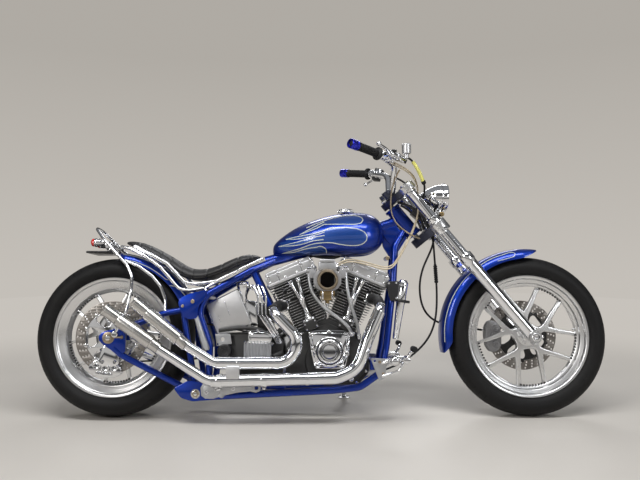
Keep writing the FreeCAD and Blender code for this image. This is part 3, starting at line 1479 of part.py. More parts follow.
def section_wire(x, low, high, half, shares):
    """A closed smooth section across the machine; shares are (height, width) pairs up one side."""
    height = high - low
    points = [FreeCAD.Vector(x, 0, low)]
    points += [FreeCAD.Vector(x, half * w, low + height * h) for h, w in shares]
    points.append(FreeCAD.Vector(x, 0, high))
    points += [FreeCAD.Vector(x, -half * w, low + height * h) for h, w in reversed(shares)]
    curve = Part.BSplineCurve()
    curve.interpolate(Points=points, PeriodicFlag=True)
    return Part.Wire(curve.toShape())


@functools.cache
def fuel_tank():
    wires = [section_wire(*row, tank_side_shares) for row in tank_sections]
    body = Part.makeLoft(wires, True, False)
    length = tank_sections[-1][0] - tank_sections[0][0]
    grow = tank_tunnel_half_width
    tunnel_points = [vec(p) for p in backbone_route]
    solids = []
    for i in range(len(tunnel_points) - 1):
        a, b = tunnel_points[i], tunnel_points[i + 1]
        low = min(a.z, b.z) - length
        points = [
            FreeCAD.Vector(a.x, -grow, a.z + tank_tunnel_top),
            FreeCAD.Vector(b.x, -grow, b.z + tank_tunnel_top),
            FreeCAD.Vector(b.x, -grow, low),
            FreeCAD.Vector(a.x, -grow, low)]
        solids.append(Part.Face(Part.makePolygon(points + [points[0]])).extrude(SIDE * (grow * 2)))
    x, y = tank_cap_centre
    cap = rod((x, y, tank_cap_base), (x, y, tank_cap_top), tank_cap_radius)
    return join([body.cut(join(solids)), cap])


def seat():
    wires = [section_wire(*row, seat_side_shares) for row in seat_sections]
    body = Part.makeLoft(wires, True, False)
    for other in (main_frame(), rear_fender(), seat_rails(), fuel_tank()):
        body = body.cut(other)
    return body


def rail_points(line, shares):
    return [(x, -rail_y * share, z) for (x, z), share in zip(line, shares)]


@functools.cache
def seat_rails():
    """Two bent rails with a stud and a fender stay on each side, and rods across."""
    right = join([
        tube(rail_points(upper_rail_line, rail_y_shares_upper), rail_radius, rail_bend_radius),
        tube(rail_points(lower_rail_line, rail_y_shares_lower), rail_radius, rail_bend_radius),
        tube(fender_stay_route, stay_radius, rail_bend_radius),
        tube(rail_stud, stay_radius)])
    right = right.cut(sissy_bar())
    solids = [right, flipped(right)]
    for x, half, z in rail_cross:
        solids.append(cross(x, half, z, stay_radius))
    return join(solids).cut(main_frame()).cut(swingarm()).cut(sissy_bar())


@functools.cache
def sissy_bar():
    right = list(sissy_route)
    left = flip(right)
    solids = [tube(right + list(reversed(left))[1:], sissy_radius, sissy_bend_radius)]
    x, half, z = sissy_cross
    solids.append(cross(x, half, z, sissy_radius))
    foot_x, foot_z = sissy_foot
    for side in (-1, 1):
        face = -axle_plate_y[0] * side
        end = sissy_route[0][1] * -side
        solids.append(rod((foot_x, face, foot_z), (foot_x, end, foot_z), sissy_foot_radius))
    return largest(join(solids).cut(swingarm()).cut(rear_fender()))


def tail_lamps():
    x, z = tail_lamp_centre
    solids = []
    for side in (-1, 1):
        y = tail_lamp_y * side
        front = x + tail_lamp_length
        solids.append(taper((x, y, z), (front, y, z), tail_lamp_radius, tail_lamp_tip_radius))
        solids.append(rod((x - tail_lens_length, y, z), (x, y, z), tail_lens_radius))
    solids.append(cross(x + tail_lamp_length * tail_bar_share, tail_bracket_half, z, tail_bar_radius))
    bracket = plate(tail_bracket_outline, (-tail_bracket_half, tail_bracket_half))
    solids.append(bracket)
    solids.append(block(plate_centre, plate_size))
    return join(solids).cut(sissy_bar()).cut(rear_fender_space())


def muffler(line):
    front, shoulder, tip = [vec(p) for p in line]
    along = shoulder - front
    along.normalize()
    first = front + along * muffler_taper
    body = join([
        rod(front - along * muffler_neck_length, front, muffler_neck_radius),
        taper(front, first, muffler_neck_radius, muffler_radius), rod(first, shoulder, muffler_radius),
        rod(shoulder, tip, muffler_tip_radius)])
    back = tip - shoulder
    back.normalize()
    return body.cut(rod(tip - back * muffler_tip_depth, tip, muffler_tip_bore))


def exhaust(route, line):
    start, second = vec(route[0]), vec(route[1])
    along = second - start
    along.normalize()
    return join([tube(route, pipe_radius, pipe_bend_radius), muffler(line),
                 rod(start, start + along * port_flange_length, port_flange_radius)])


def rear_exhaust():
    x_low, x_high = pipe_plate_outline[0][0], pipe_plate_outline[1][0]
    bracket = plate(pipe_plate_outline, pipe_plate_y)
    shape = join([exhaust(rear_pipe_route, rear_muffler_line), bracket])
    return largest(shape.cut(rear_cylinder()).cut(front_exhaust()))


@functools.cache
def front_exhaust():
    pieces = [exhaust(front_pipe_route, front_muffler_line)]
    for x, y, z in clamp_places:
        pieces.append(rod((x, y, z), (x + clamp_length, y, z), clamp_radius))
    return largest(join(pieces).cut(front_cylinder()))


def exhaust_bracket():
    x, z = arm_hole
    body = plate(arm_outline, arm_y)
    boss = rod((x, arm_boss_y[0], z), (x, arm_boss_y[1], z), arm_boss_radius)
    hole = rod((x, arm_boss_y[0], z), (x, arm_boss_y[1], z), arm_hole_radius)
    post = rod(arm_post[0], arm_post[1], arm_post_radius)
    shape = join([body, boss, post]).cut(hole)
    return largest(shape.cut(main_frame()).cut(front_exhaust()))


def control(side):
    """One forward control: plate, peg, pedal and its cylinder, drawn on the right."""
    body = plate(control_plate_outline, control_plate_y)
    x, z = control_hole
    solids = [body, rod(control_post[0], control_post[1], control_post_radius)]
    peg_start, peg_end = vec(peg_line[0]), vec(peg_line[1])
    along = peg_end - peg_start
    pitch = along.Length / peg_rib_count
    along.normalize()
    solids.append(rod(peg_start, peg_end, peg_radius))
    for i in range(peg_rib_count):
        rib = peg_start + along * (pitch * (i + 1) - peg_rib_length)
        solids.append(rod(rib, rib + along * peg_rib_length, peg_rib_radius))
    solids.append(tube(pedal_route, pedal_radius))
    pad = vec(pedal_route[-1])
    solids.append(rod(pad, pad + SIDE * pedal_pad_length, pedal_pad_radius))
    solids.append(block(master_centre, master_size))
    root = peg_start - FreeCAD.Vector(peg_rib_radius * 2, -peg_radius / 2, peg_radius)
    solids.append(rod(peg_start, root, peg_radius / 2))
    shape = join(solids)
    shape = shape.cut(rod((x, control_plate_y[0], z), (x, control_plate_y[1], z), control_hole_radius))
    if side > 0:
        shape = flipped(shape)
    return shape.cut(main_frame()).cut(front_exhaust())


def right_control():
    return control(-1)


def left_control():
    return control(1)


def downtube_canister():
    top, bottom = vec(canister_top), vec(canister_bottom)
    ring = top + (bottom - top) * canister_ring_share
    up = top - ring
    up.normalize()
    solids = [rod(ring, top, canister_radius), taper(bottom, ring, canister_tail_radius, canister_radius),
              rod(top, top + up * canister_cap, canister_radius - canister_cap),
              plate(canister_bracket_outline, canister_bracket_y),
              rod(canister_strap[0], canister_strap[1], axle_radius)]
    return join(solids).cut(main_frame()).cut(front_cylinder())


def brake_hose():
    return largest(tube(brake_hose_route, hose_small_radius).cut(hand_controls()).cut(front_caliper()))


def clutch_cable():
    return largest(tube(clutch_cable_route, hose_small_radius).cut(hand_controls()).cut(engine_cases()))


def throttle_cables():
    """Two thin cables, one above the other, from the right grip's housing to the carburettor."""
    second = [(x, y, z - throttle_spacing) for x, y, z in throttle_route]
    cables = [largest(tube(route, throttle_radius).cut(bar_space()).cut(hand_controls()).cut(carburettor()))
              for route in (throttle_route, second)]
    return Part.makeCompound(cables)


def all_pieces():
    return {
        "main_frame": main_frame(), "swingarm": swingarm(), "engine_cases": engine_cases(),
        "rear_cylinder": rear_cylinder(), "front_cylinder": front_cylinder(), "rocker_boxes": rocker_boxes(),
        "cam_cover": cam_cover(), "carburettor": carburettor(), "breather_hoses": breather_hoses(),
        "gearbox": gearbox(), "primary_cover": primary_cover(), "oil_tank": oil_tank(),
        "fuel_tank": fuel_tank(), "seat": seat(), "seat_rails": seat_rails(), "rear_fender": rear_fender(),
        "sissy_bar": sissy_bar(), "tail_lamps": tail_lamps(), "rear_exhaust": rear_exhaust(),
        "front_exhaust": front_exhaust(), "exhaust_bracket": exhaust_bracket(),
        "right_control": right_control(), "left_control": left_control(),
        "downtube_canister": downtube_canister(), "rear_caliper": rear_caliper(), "drive_belt": drive_belt(),
        "fork_trees": fork_trees(), "fork_legs": fork_legs(),
        "handlebar": handlebar(), "grips": grips(), "hand_controls": hand_controls(),
        "headlamp": headlamp(), "headlamp_glass": headlamp_glass(), "front_fender": front_fender(),
        "front_caliper": front_caliper(), "brake_hose": brake_hose(), "clutch_cable": clutch_cable(),
        "throttle_cables": throttle_cables(), "front_rim": front_rim(), "front_tyre": front_tyre(),
        "front_disc": front_disc(), "rear_rim": rear_rim(), "rear_tyre": rear_tyre(),
        "rear_disc": rear_disc(), "side_stand": side_stand()}


def lean(shape):
    shape.rotate(ORIGIN, FreeCAD.Vector(1, 0, 0), -lean_angle)
    return shape


def main():
    os.makedirs("parts", exist_ok=True)
    pieces = {name: lean(shape) for name, shape in all_pieces().items()}
    box = FreeCAD.BoundBox()
    for shape in pieces.values():
        box.add(shape.optimalBoundingBox(False, False))
    move = FreeCAD.Vector(-box.Center.x, -box.Center.y, -box.ZMin)
    print("move", round(move.x, 4), round(move.y, 4), round(move.z, 4))
    print("box", round(box.XLength, 3), round(box.YLength, 3), round(box.ZLength, 3))
    print("hubs", front_hub_x, front_hub_z, rear_hub_x, rear_hub_z)
    for name, shape in pieces.items():
        shape.translate(move)
        if not shape.isValid() or shape.Volume <= 0:
            print("not valid:", name)
        print(name, "solids", len(shape.Solids), "volume", round(shape.Volume))
        shape.exportStep(os.path.join("parts", name + ".step"))


main()
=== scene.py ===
"""Looks of the long low motorcycle: its paint, chrome and castings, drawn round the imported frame.

Pieces are drawn upright in millimetres, x forward, y to the rider's left, z up, and are leaned onto
the side stand when they are done.
"""
import json
import math

import bmesh
import bpy
from mathutils import Matrix, Vector
from mathutils.bvhtree import BVHTree


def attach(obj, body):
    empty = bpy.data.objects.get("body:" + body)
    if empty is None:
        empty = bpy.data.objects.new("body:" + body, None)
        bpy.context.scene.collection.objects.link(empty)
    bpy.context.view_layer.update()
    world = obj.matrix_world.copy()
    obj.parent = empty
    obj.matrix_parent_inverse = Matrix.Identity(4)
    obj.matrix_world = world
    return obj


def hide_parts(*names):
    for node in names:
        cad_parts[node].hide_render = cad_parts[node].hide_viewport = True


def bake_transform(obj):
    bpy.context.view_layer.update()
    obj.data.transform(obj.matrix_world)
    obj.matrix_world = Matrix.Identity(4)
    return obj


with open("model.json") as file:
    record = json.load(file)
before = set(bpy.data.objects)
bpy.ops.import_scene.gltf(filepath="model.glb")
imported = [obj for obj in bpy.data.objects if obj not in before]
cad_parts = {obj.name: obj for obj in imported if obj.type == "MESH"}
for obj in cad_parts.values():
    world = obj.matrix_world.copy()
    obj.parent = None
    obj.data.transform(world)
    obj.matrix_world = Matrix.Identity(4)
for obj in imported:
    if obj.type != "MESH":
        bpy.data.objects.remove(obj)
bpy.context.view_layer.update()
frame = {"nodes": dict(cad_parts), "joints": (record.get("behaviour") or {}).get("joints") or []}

LEAN = math.radians(7.0)
RAKE = math.radians(39.5)
FRONT_HUB = Vector((856.4964, 0.0, 328.4055))
REAR_HUB = Vector((-856.5, 0.0, 325.8411))
NECK = Vector((350.11, 0.0, 809.07))
CRANK = Vector((22.0, 0.0, 227.0))
UP = Vector((-math.sin(RAKE), 0.0, math.cos(RAKE)))
AHEAD = Vector((math.cos(RAKE), 0.0, math.sin(RAKE)))
SIDE = Vector((0.0, 1.0, 0.0))
SIDE_VIEW = Matrix.Rotation(math.pi / 2, 4, "X")
RIGHT = -SIDE
BOTH = (-1, 1)
TURN = math.tau
FRONT_DISC_Y, REAR_DISC_Y = 58.0, -94.0
# a fork leg's distance from the middle, and how far it stands ahead of the stem
LEG_Y, LEG_AHEAD = 105, 85
# the swingarm's pivot, and the outer face of its axle plates
ARM_PIVOT_X, ARM_PIVOT_Z = -502, 108
DROPOUT_Y = 144
# radii of an exhaust pipe, its heat shield and its elbow at the port
PIPE, SHIELD, ELBOW = 20.5, 24.4, 22.0


def parked():
    """From upright millimetres to metres on the side stand."""
    tilt = Matrix.Rotation(-LEAN, 4, "X")
    hub = next(Vector(j["pos_m"]) for j in frame["joints"] if j["name"] == "front_wheel_spin")
    return Matrix.Translation(hub - tilt @ (FRONT_HUB / 1000)) @ tilt @ Matrix.Scale(0.001, 4)


PARK = parked()


# ---------------------------------------------------------------- finishes


def feed(tree, socket, value):
    """Links a wire to a socket, or sets the socket's value."""
    if isinstance(value, Wire):
        tree.links.new(value.socket, socket)
    else:
        socket.default_value = value


class Wire:
    """An output socket that can be added, multiplied and compared like a number."""

    def __init__(self, tree, socket):
        self.tree = tree
        self.socket = socket

    def _sum(self, operation, first, second=0.0, clamp=False):
        node = self.tree.nodes.new("ShaderNodeMath")
        node.operation = operation
        node.use_clamp = clamp
        for slot, value in enumerate((first, second)):
            feed(self.tree, node.inputs[slot], value)
        return Wire(self.tree, node.outputs[0])

    def __add__(self, other):
        return self._sum("ADD", self, other)

    __radd__ = __add__

    def __sub__(self, other):
        return self._sum("SUBTRACT", self, other)

    def __rsub__(self, other):
        return self._sum("SUBTRACT", other, self)

    def __mul__(self, other):
        return self._sum("MULTIPLY", self, other)

    __rmul__ = __mul__

    def __truediv__(self, other):
        return self._sum("DIVIDE", self, other)

    def __pow__(self, other):
        return self._sum("POWER", self, other)

    def __gt__(self, other):
        return self._sum("GREATER_THAN", self, other)

    def __lt__(self, other):
        return self._sum("LESS_THAN", self, other)

    def held(self):
        return self._sum("ADD", self, 0.0, clamp=True)

    def wave(self):
        return self._sum("SINE", self)

    def size(self):
        return self._sum("ABSOLUTE", self)

    def part(self):
        return self._sum("FRACT", self)

    def angle(self, other):
        return self._sum("ARCTAN2", self, other)


class Finish:
    """A material under making: nodes go in through node(), and land on the shader."""

    def __init__(self, name, colour, rough, metal=0.0, **fixed):
        self.material = bpy.data.materials.new(name)
        self.material.use_nodes = True
        self.material.diffuse_color = (*colour, 1)
        self.tree = self.material.node_tree
        self.shader = self.tree.nodes["Principled BSDF"]
        self.put("Base Color", (*colour, 1))
        self.put("Roughness", rough)
        self.put("Metallic", metal)
        for socket, value in fixed.items():
            self.put(socket.replace("_", " "), value)

    def put(self, socket, value):
        feed(self.tree, self.shader.inputs[socket], value)
        return self

    def node(self, kind, settings=None, values=None, out=0):
        """Adds a node: its settings go in first, a ramp's stops among them, and then its values and links."""
        node = self.tree.nodes.new("ShaderNode" + kind)
        for key, value in (settings or {}).items():
            if key != "stops":
                setattr(node, key, value)
                continue
            ramp = node.color_ramp
            while len(ramp.elements) < len(value):
                ramp.elements.new(0.5)
            for element, (place, colour) in zip(ramp.elements, value):
                element.position = place
                element.color = (*colour, 1)
        for socket, value in (values or {}).items():
            feed(self.tree, node.inputs[socket], value)
        return Wire(self.tree, node.outputs[out])

    def place(self, shift=(0, 0, 0), turn=(0, 0, 0), scale=(1, 1, 1)):
        where = self.node("TexCoord", out=3)
        return self.node("Mapping", values={"Vector": where, "Location": shift, "Rotation": turn, "Scale": scale})

    def axes(self, where=None):
        """The x, y and z of a place."""
        spot = where or self.place()
        return [self.node("SeparateXYZ", values={"Vector": spot}, out=i) for i in range(3)]

    def noise(self, scale, detail=3.0, rough=0.5, where=None):
        values = {"Scale": scale, "Detail": detail, "Roughness": rough, "Vector": where or self.place()}
        return self.node("TexNoise", values=values)

    def cells(self, scale, out=0):
        return self.node("TexVoronoi", values={"Scale": scale, "Vector": self.place()}, out=out)

    def blend(self, share, first, second):
        """A colour between two colours."""
        colours = [value if isinstance(value, Wire) else (*value[:3], 1) for value in (first, second)]
        values = {0: share, 6: colours[0], 7: colours[1]}
        return self.node("Mix", {"data_type": "RGBA"}, values, 2)

    def bump(self, height, strength=0.3, distance=0.001):
        self.put("Normal", self.node("Bump", values={"Strength": strength, "Distance": distance, "Height": height}))
        return self


def blue_paint():
    """Deep metallic blue under clear coat, with flake and a faint unevenness of depth."""
    f = Finish("blue_paint", (0.002, 0.028, 0.3), 0.3, 0.85, Coat_Weight=0.6, Coat_Roughness=0.03)
    tone = f.node("SeparateColor", values={"Color": f.cells(2600, out=1)})
    share = (tone * 0.5 + f.noise(9, 2) * 0.5).held()
    f.put("Base Color", f.blend(share, (0.001, 0.018, 0.2), (0.003, 0.042, 0.4)))
    f.put("Roughness", 0.32 + 0.14 * tone)
    return f.bump(tone, 0.06, 0.0002).material


def flame_paint():
    """The lighter blue inside the flames."""
    f = Finish("flame_paint", (0.014, 0.07, 0.42), 0.36, 0.4, Coat_Weight=1.0, Coat_Roughness=0.02)
    flake = f.node("SeparateColor", values={"Color": f.cells(2600, out=1)})
    share = (flake * 0.4 + f.noise(14, 2) * 0.6).held()
    f.put("Base Color", f.blend(share, (0.001, 0.032, 0.2), (0.003, 0.066, 0.34)))
    return f.bump(flake, 0.05, 0.0002).material


def worn(name, colour, rough, metal, stain, low, high, shine=(), relief=(), **fixed):
    """A finish that drifts between two tones.

    stain is a noise; shine is the least roughness, its range and, where it has its own, a noise;
    relief is the strength and depth of a grain and its noise.
    """
    f = Finish(name, colour, rough, metal, **fixed)
    tone = f.noise(*stain)
    f.put("Base Color", f.blend(tone, low, high))
    if shine:
        least, more, *own = shine
        f.put("Roughness", least + more * (f.noise(*own) if own else tone))
    if relief:
        strength, depth, *grain = relief
        f.bump(f.noise(*grain), strength, depth)
    return f.material


def brushed(name, colour, rough, stain, low, high, shine, strokes, run, relief):
    """Bare metal with a haze of use and fine lines: run is the turn and the stretch of the lines."""
    f = Finish(name, colour, rough, 1.0)
    haze = f.noise(*stain)
    lines = f.noise(*strokes, f.place(turn=run[0], scale=run[1]))
    f.put("Base Color", f.blend(haze, low, high))
    f.put("Roughness", shine[0] + shine[1] * haze + shine[2] * lines)
    return f.bump(lines, *relief).material


def disc_steel(name, hub, y):
    """Ground steel with rings about the hub, browned where the pads run."""
    f = Finish(name, (0.42, 0.4, 0.37), 0.34, 1.0)
    spot = f.place(shift=-(PARK @ (hub + SIDE * y)))
    across, _, high = f.axes(spot)
    radius = (across * across + high * high) ** 0.5
    fine = f.noise(1, 2, 0.5, f.node("CombineXYZ", values={"X": radius * 2600}))
    stain = f.noise(30, 4)
    f.put("Base Color", f.blend(stain, (0.19, 0.172, 0.155), (0.34, 0.32, 0.3)))
    f.put("Roughness", 0.26 + 0.16 * fine + 0.08 * stain)
    return f.bump(fine * 0.7 + (radius * 9000).wave() * 0.15, 0.12, 0.0004).material


def braided_steel():
    """Woven steel sleeve of the oil hoses."""
    f = Finish("braided_steel", (0.6, 0.61, 0.63), 0.3, 1.0)
    weave = f.cells(760)
    over = (f.noise(330, 2) * 0.4 + weave * 0.6).held()
    f.put("Base Color", f.blend(weave, (0.78, 0.79, 0.8), (0.3, 0.3, 0.31)))
    f.put("Roughness", 0.22 + 0.25 * weave)
    return f.bump(1 - over, 0.6, 0.0009).material


def seat_leather():
    """Black leather: pebbled grain, sheen on the pressed places."""
    f = Finish("seat_leather", (0.016, 0.016, 0.017), 0.42, 0.0, Coat_Weight=0.1, Coat_Roughness=0.35)
    pebble = f.cells(720)
    press = f.noise(14, 3)
    f.put("Base Color", f.blend((press * 0.6 + pebble * 0.4).held(), (0.009, 0.009, 0.01), (0.034, 0.033, 0.034)))
    f.put("Roughness", 0.34 + 0.16 * press + 0.12 * pebble)
    return f.bump((1 - pebble) * 0.6 + f.noise(120, 5, 0.65) * 0.5, 0.35, 0.0009).material


def clear_glass():
    """Glass with upright flutes."""
    f = Finish("clear_glass", (0.95, 0.97, 1.0), 0.02, 0.0, Transmission_Weight=1.0, IOR=1.47)
    f.put("Roughness", 0.015 + 0.03 * f.noise(30))
    return f.bump((f.axes()[1] * 900).wave(), 0.25, 0.0008).material


def red_lens():
    """Red plastic with level ribs."""
    f = Finish("red_lens", (0.55, 0.012, 0.01), 0.12, 0.0, Coat_Weight=1.0, Coat_Roughness=0.03)
    f.put("Base Color", f.blend(f.noise(80), (0.4, 0.006, 0.006), (0.7, 0.03, 0.02)))
    return f.bump((f.axes()[2] * 1600).wave(), 0.3, 0.0006).material


PAINT = {
    "blue": blue_paint(), "flame": flame_paint(), "braid": braided_steel(), "leather": seat_leather(),
    "glass": clear_glass(), "red": red_lens(), "front_disc": disc_steel("front_disc_steel", FRONT_HUB, FRONT_DISC_Y),
    "rear_disc": disc_steel("rear_disc_steel", REAR_HUB, REAR_DISC_Y),
    "stripe": worn("pinstripe", (0.5, 0.55, 0.5), 0.35, 0.0, (220,), (0.38, 0.44, 0.42), (0.62, 0.64, 0.55),
                   Coat_Weight=0.8, Coat_Roughness=0.05),
    # mirror chrome with a faint haze and wipe marks, polished alloy with buffing lines, mufflers brushed round
    "chrome": brushed("chrome", (0.82, 0.83, 0.85), 0.07, (11, 5, 0.6), (0.74, 0.75, 0.77), (0.88, 0.885, 0.9),
                      (0.035, 0.07, 0.03), (160, 2, 0.5), ((0, 0, 0), (1, 1, 6)), (0.02, 0.0004)),
    "alloy": brushed("polished_alloy", (0.8, 0.8, 0.81), 0.17, (8, 4), (0.66, 0.66, 0.665), (0.8, 0.8, 0.8),
                     (0.2, 0.1, 0.08), (420, 3, 0.6), ((0, 0, 0), (1, 1, 5)), (0.04, 0.0003)),
    "steel": brushed("brushed_steel", (0.6, 0.59, 0.57), 0.24, (14, 4), (0.5, 0.49, 0.475), (0.68, 0.67, 0.65),
                     (0.16, 0.1, 0.08), (260, 3, 0.6), ((0, 0.67, 0), (8, 1, 1)), (0.05, 0.0003)),
    # bead-blasted rocker covers, satin cast cases, anodised yokes, rough castings
    "satin": worn("satin_alloy", (0.66, 0.66, 0.67), 0.38, 0.9, (12, 4), (0.56, 0.56, 0.57), (0.72, 0.72, 0.73),
                  (0.3, 0.16), (0.14, 0.0004, 1100, 3, 0.6)),
    "case": worn("case_silver", (0.5, 0.51, 0.53), 0.4, 0.85, (18, 5, 0.6), (0.38, 0.385, 0.4), (0.6, 0.605, 0.62),
                 (0.3, 0.2), (0.25, 0.0006, 900, 4, 0.65)),
    "slate": worn("slate_anodised", (0.05, 0.055, 0.085), 0.36, 0.8, (26, 4), (0.035, 0.04, 0.065),
                  (0.085, 0.09, 0.12), (0.28, 0.18), (0.08, 0.0003, 900, 3)),
    "cast": worn("cast_grey", (0.34, 0.34, 0.35), 0.5, 0.6, (22, 4), (0.24, 0.24, 0.25), (0.42, 0.42, 0.43),
                 (0.42, 0.2), (0.4, 0.0012, 520, 5, 0.7)),
    # the wrinkled coat of barrels and heads, and the bright cut edge of a fin
    "black": worn("engine_black", (0.018, 0.018, 0.02), 0.45, 0.2, (24, 4), (0.012, 0.012, 0.013),
                  (0.035, 0.034, 0.033), (0.36, 0.22), (0.3, 0.0008, 700, 4, 0.7), Coat_Weight=0.15,
                  Coat_Roughness=0.3),
    "fin": worn("fin_edge", (0.74, 0.74, 0.75), 0.24, 1.0, (500, 3, 0.6), (0.42, 0.42, 0.43), (0.66, 0.66, 0.67),
                (0.18, 0.16), (0.1, 0.0004, 500, 3, 0.6)),
    "tyre": worn("tyre_rubber", (0.012, 0.012, 0.012), 0.62, 0.0, (9, 5, 0.6), (0.003, 0.003, 0.0035),
                 (0.009, 0.0086, 0.0082), (0.5, 0.25), (0.2, 0.0006, 650, 4, 0.6), Specular_IOR_Level=0.02),
    "rubber": worn("black_rubber", (0.012, 0.012, 0.012), 0.55, 0.0, (30,), (0.006, 0.006, 0.007),
                   (0.016, 0.016, 0.017), (0.45, 0.2, 900, 3, 0.6), (0.15, 0.0005, 900, 3, 0.6),
                   Specular_IOR_Level=0.3),
    "plastic": worn("black_plastic", (0.014, 0.014, 0.015), 0.34, 0.0, (25,), (0.009, 0.009, 0.01),
                    (0.022, 0.022, 0.024), (0.28, 0.16, 40, 3), (0.1, 0.0003, 1400, 2, 0.5)),
    "cable": worn("pale_cable", (0.55, 0.47, 0.33), 0.42, 0.0, (60,), (0.46, 0.38, 0.26), (0.64, 0.56, 0.42),
                  (0.36, 0.14, 300)),
    "yellow": worn("yellow_sleeve", (0.78, 0.75, 0.16), 0.4, 0.0, (70,), (0.7, 0.66, 0.1), (0.84, 0.82, 0.3),
                   (0.34, 0.14, 260), Coat_Weight=0.3),
    "brass": worn("brass", (0.62, 0.42, 0.17), 0.3, 1.0, (40, 4), (0.2, 0.14, 0.065), (0.42, 0.31, 0.16),
                  (0.24, 0.18), (0.15, 0.0004, 700, 3)),
    "bronze": worn("bronze", (0.5, 0.4, 0.27), 0.34, 0.9, (50, 4), (0.26, 0.2, 0.13), (0.52, 0.44, 0.33),
                   (0.28, 0.2), (0.12, 0.0004, 700, 3)),
    "anodised": worn("blue_anodised", (0.03, 0.03, 0.5), 0.24, 0.9, (60,), (0.02, 0.02, 0.36), (0.05, 0.06, 0.66),
                     (0.18, 0.14, 400, 3), (0.06, 0.0003, 500, 2))}


# ---------------------------------------------------------------- shapes


def align(start, direction):
    """A frame whose z runs along a direction."""
    return Matrix.Translation(Vector(start)) @ Vector(direction).to_track_quat("Z", "Y").to_matrix().to_4x4()


def moved(x, y, z):
    return Matrix.Translation((x, y, z))


def rolled(degrees, axis):
    return Matrix.Rotation(math.radians(degrees), 4, axis)


def oblong(x, y):
    return [(-x, -y), (x, -y), (x, y), (-x, y)]


def fresh(bm):
    """Merges a shape's doubles and turns its faces outward."""
    bmesh.ops.remove_doubles(bm, verts=bm.verts, dist=0.0005)
    bmesh.ops.recalc_face_normals(bm, faces=bm.faces)
    return bm


def soften(bm, width, limit=32.0, segments=2):
    """Rounds every edge that is sharper than the limit."""
    edges = [e for e in bm.edges if len(e.link_faces) == 2 and e.calc_face_angle(0) > math.radians(limit)]
    if width and edges:
        bmesh.ops.bevel(bm, geom=edges, offset=width, offset_type="OFFSET", segments=segments, profile=0.5,
                        affect="EDGES", clamp_overlap=True, material=-1)
    return bm


def turned(profile, steps=48, edge=0.0, loop=False):
    """A shape turned about z from (height, radius) points; a loop is a ring's whole section."""
    bm = bmesh.new()
    points = [bm.verts.new((radius, 0, height)) for height, radius in profile]
    pairs = list(zip(points, points[1:])) + ([(points[-1], points[0])] if loop else [])
    for a, b in pairs:
        bm.edges.new((a, b))
    bmesh.ops.spin(bm, geom=bm.verts[:] + bm.edges[:], cent=(0, 0, 0), axis=(0, 0, 1), dvec=(0, 0, 0),
                   angle=TURN, steps=steps, use_merge=True, use_duplicate=False)
    return soften(fresh(bm), edge)


def drum(height, radius, top=None, steps=32, edge=0.6):
    """A cylinder or cone that stands on z = 0."""
    bm = bmesh.new()
    bmesh.ops.create_cone(bm, cap_ends=True, segments=steps, radius1=radius,
                          radius2=radius if top is None else top, depth=height)
    bmesh.ops.translate(bm, vec=(0, 0, height / 2), verts=bm.verts)
    return soften(bm, edge)


def ball(radius, steps=24):
    """A ball about its middle."""
    bm = bmesh.new()
    bmesh.ops.create_uvsphere(bm, u_segments=steps, v_segments=steps // 2, radius=radius)
    return bm


def brick(size, edge=1.0, segments=2):
    """A block with softened edges about its middle."""
    bm = bmesh.new()
    bmesh.ops.create_cube(bm, size=1)
    bmesh.ops.scale(bm, vec=size, verts=bm.verts)
    return soften(bm, edge, segments=segments)


def slab(outline, thickness, corner=0.0, edge=0.8, corner_steps=4):
    """A flat outline with round corners, thickened both ways from z = 0."""
    bm = bmesh.new()
    bm.faces.new([bm.verts.new((x, y, -thickness / 2)) for x, y in outline])
    if corner:
        bmesh.ops.bevel(bm, geom=bm.verts[:], offset=corner, offset_type="OFFSET", segments=corner_steps,
                        profile=0.5, affect="VERTICES", clamp_overlap=True, material=-1)
    made = bmesh.ops.extrude_face_region(bm, geom=bm.faces[:])
    top = [v for v in made["geom"] if isinstance(v, bmesh.types.BMVert)]
    bmesh.ops.translate(bm, vec=(0, 0, thickness), verts=top)
    return soften(fresh(bm), edge, 50)


def eased(points, out):
    """Moves a closed outline outward, or inward for a negative distance."""
    spots = [Vector(point) for point in points]
    count = len(spots)
    area = sum(spots[i - 1].cross(spots[i]) for i in range(count))
    moved = []
    for i, spot in enumerate(spots):
        before, after = spot - spots[i - 1], spots[(i + 1) % count] - spot
        if before.length < 1e-6 or after.length < 1e-6:
            moved.append(spot)
            continue
        first, second = [Vector((line.y, -line.x)).normalized() for line in (before, after)]
        way = (first + second) / max(0.5, 1 + first.dot(second))
        moved.append(spot + way * (out if area > 0 else -out))
    return moved


def sheet(curves, thickness, edge=0.8, edge_steps=2):
    """A flat plate from closed outlines, each (points, round): the first is its rim, the rest its holes."""
    flat = bpy.data.curves.new("outline", "CURVE")
    flat.dimensions = "2D"
    flat.fill_mode = "BOTH"
    flat.extrude = thickness / 2 - edge
    flat.bevel_depth = edge
    flat.bevel_resolution = edge_steps
    flat.resolution_u = 6
    for index, (points, smooth) in enumerate(curves):
        points = eased(points, -edge if index == 0 else edge)
        line = flat.splines.new("BEZIER" if smooth else "POLY")
        spots = line.bezier_points if smooth else line.points
        spots.add(len(points) - 1)
        for spot, point in zip(spots, points):
            if smooth:
                spot.co = (*point, 0)
                spot.handle_left_type = spot.handle_right_type = "AUTO"
            else:
                spot.co = (*point, 0, 1)
        line.use_cyclic_u = True
    bm = traced(flat)
    bmesh.ops.remove_doubles(bm, verts=bm.verts, dist=0.0005)
    return bm


def circle(radius, steps=96, centre=(0, 0)):
    """A round outline."""
    return [(centre[0] + radius * math.cos(TURN * i / steps), centre[1] + radius * math.sin(TURN * i / steps))
            for i in range(steps)]


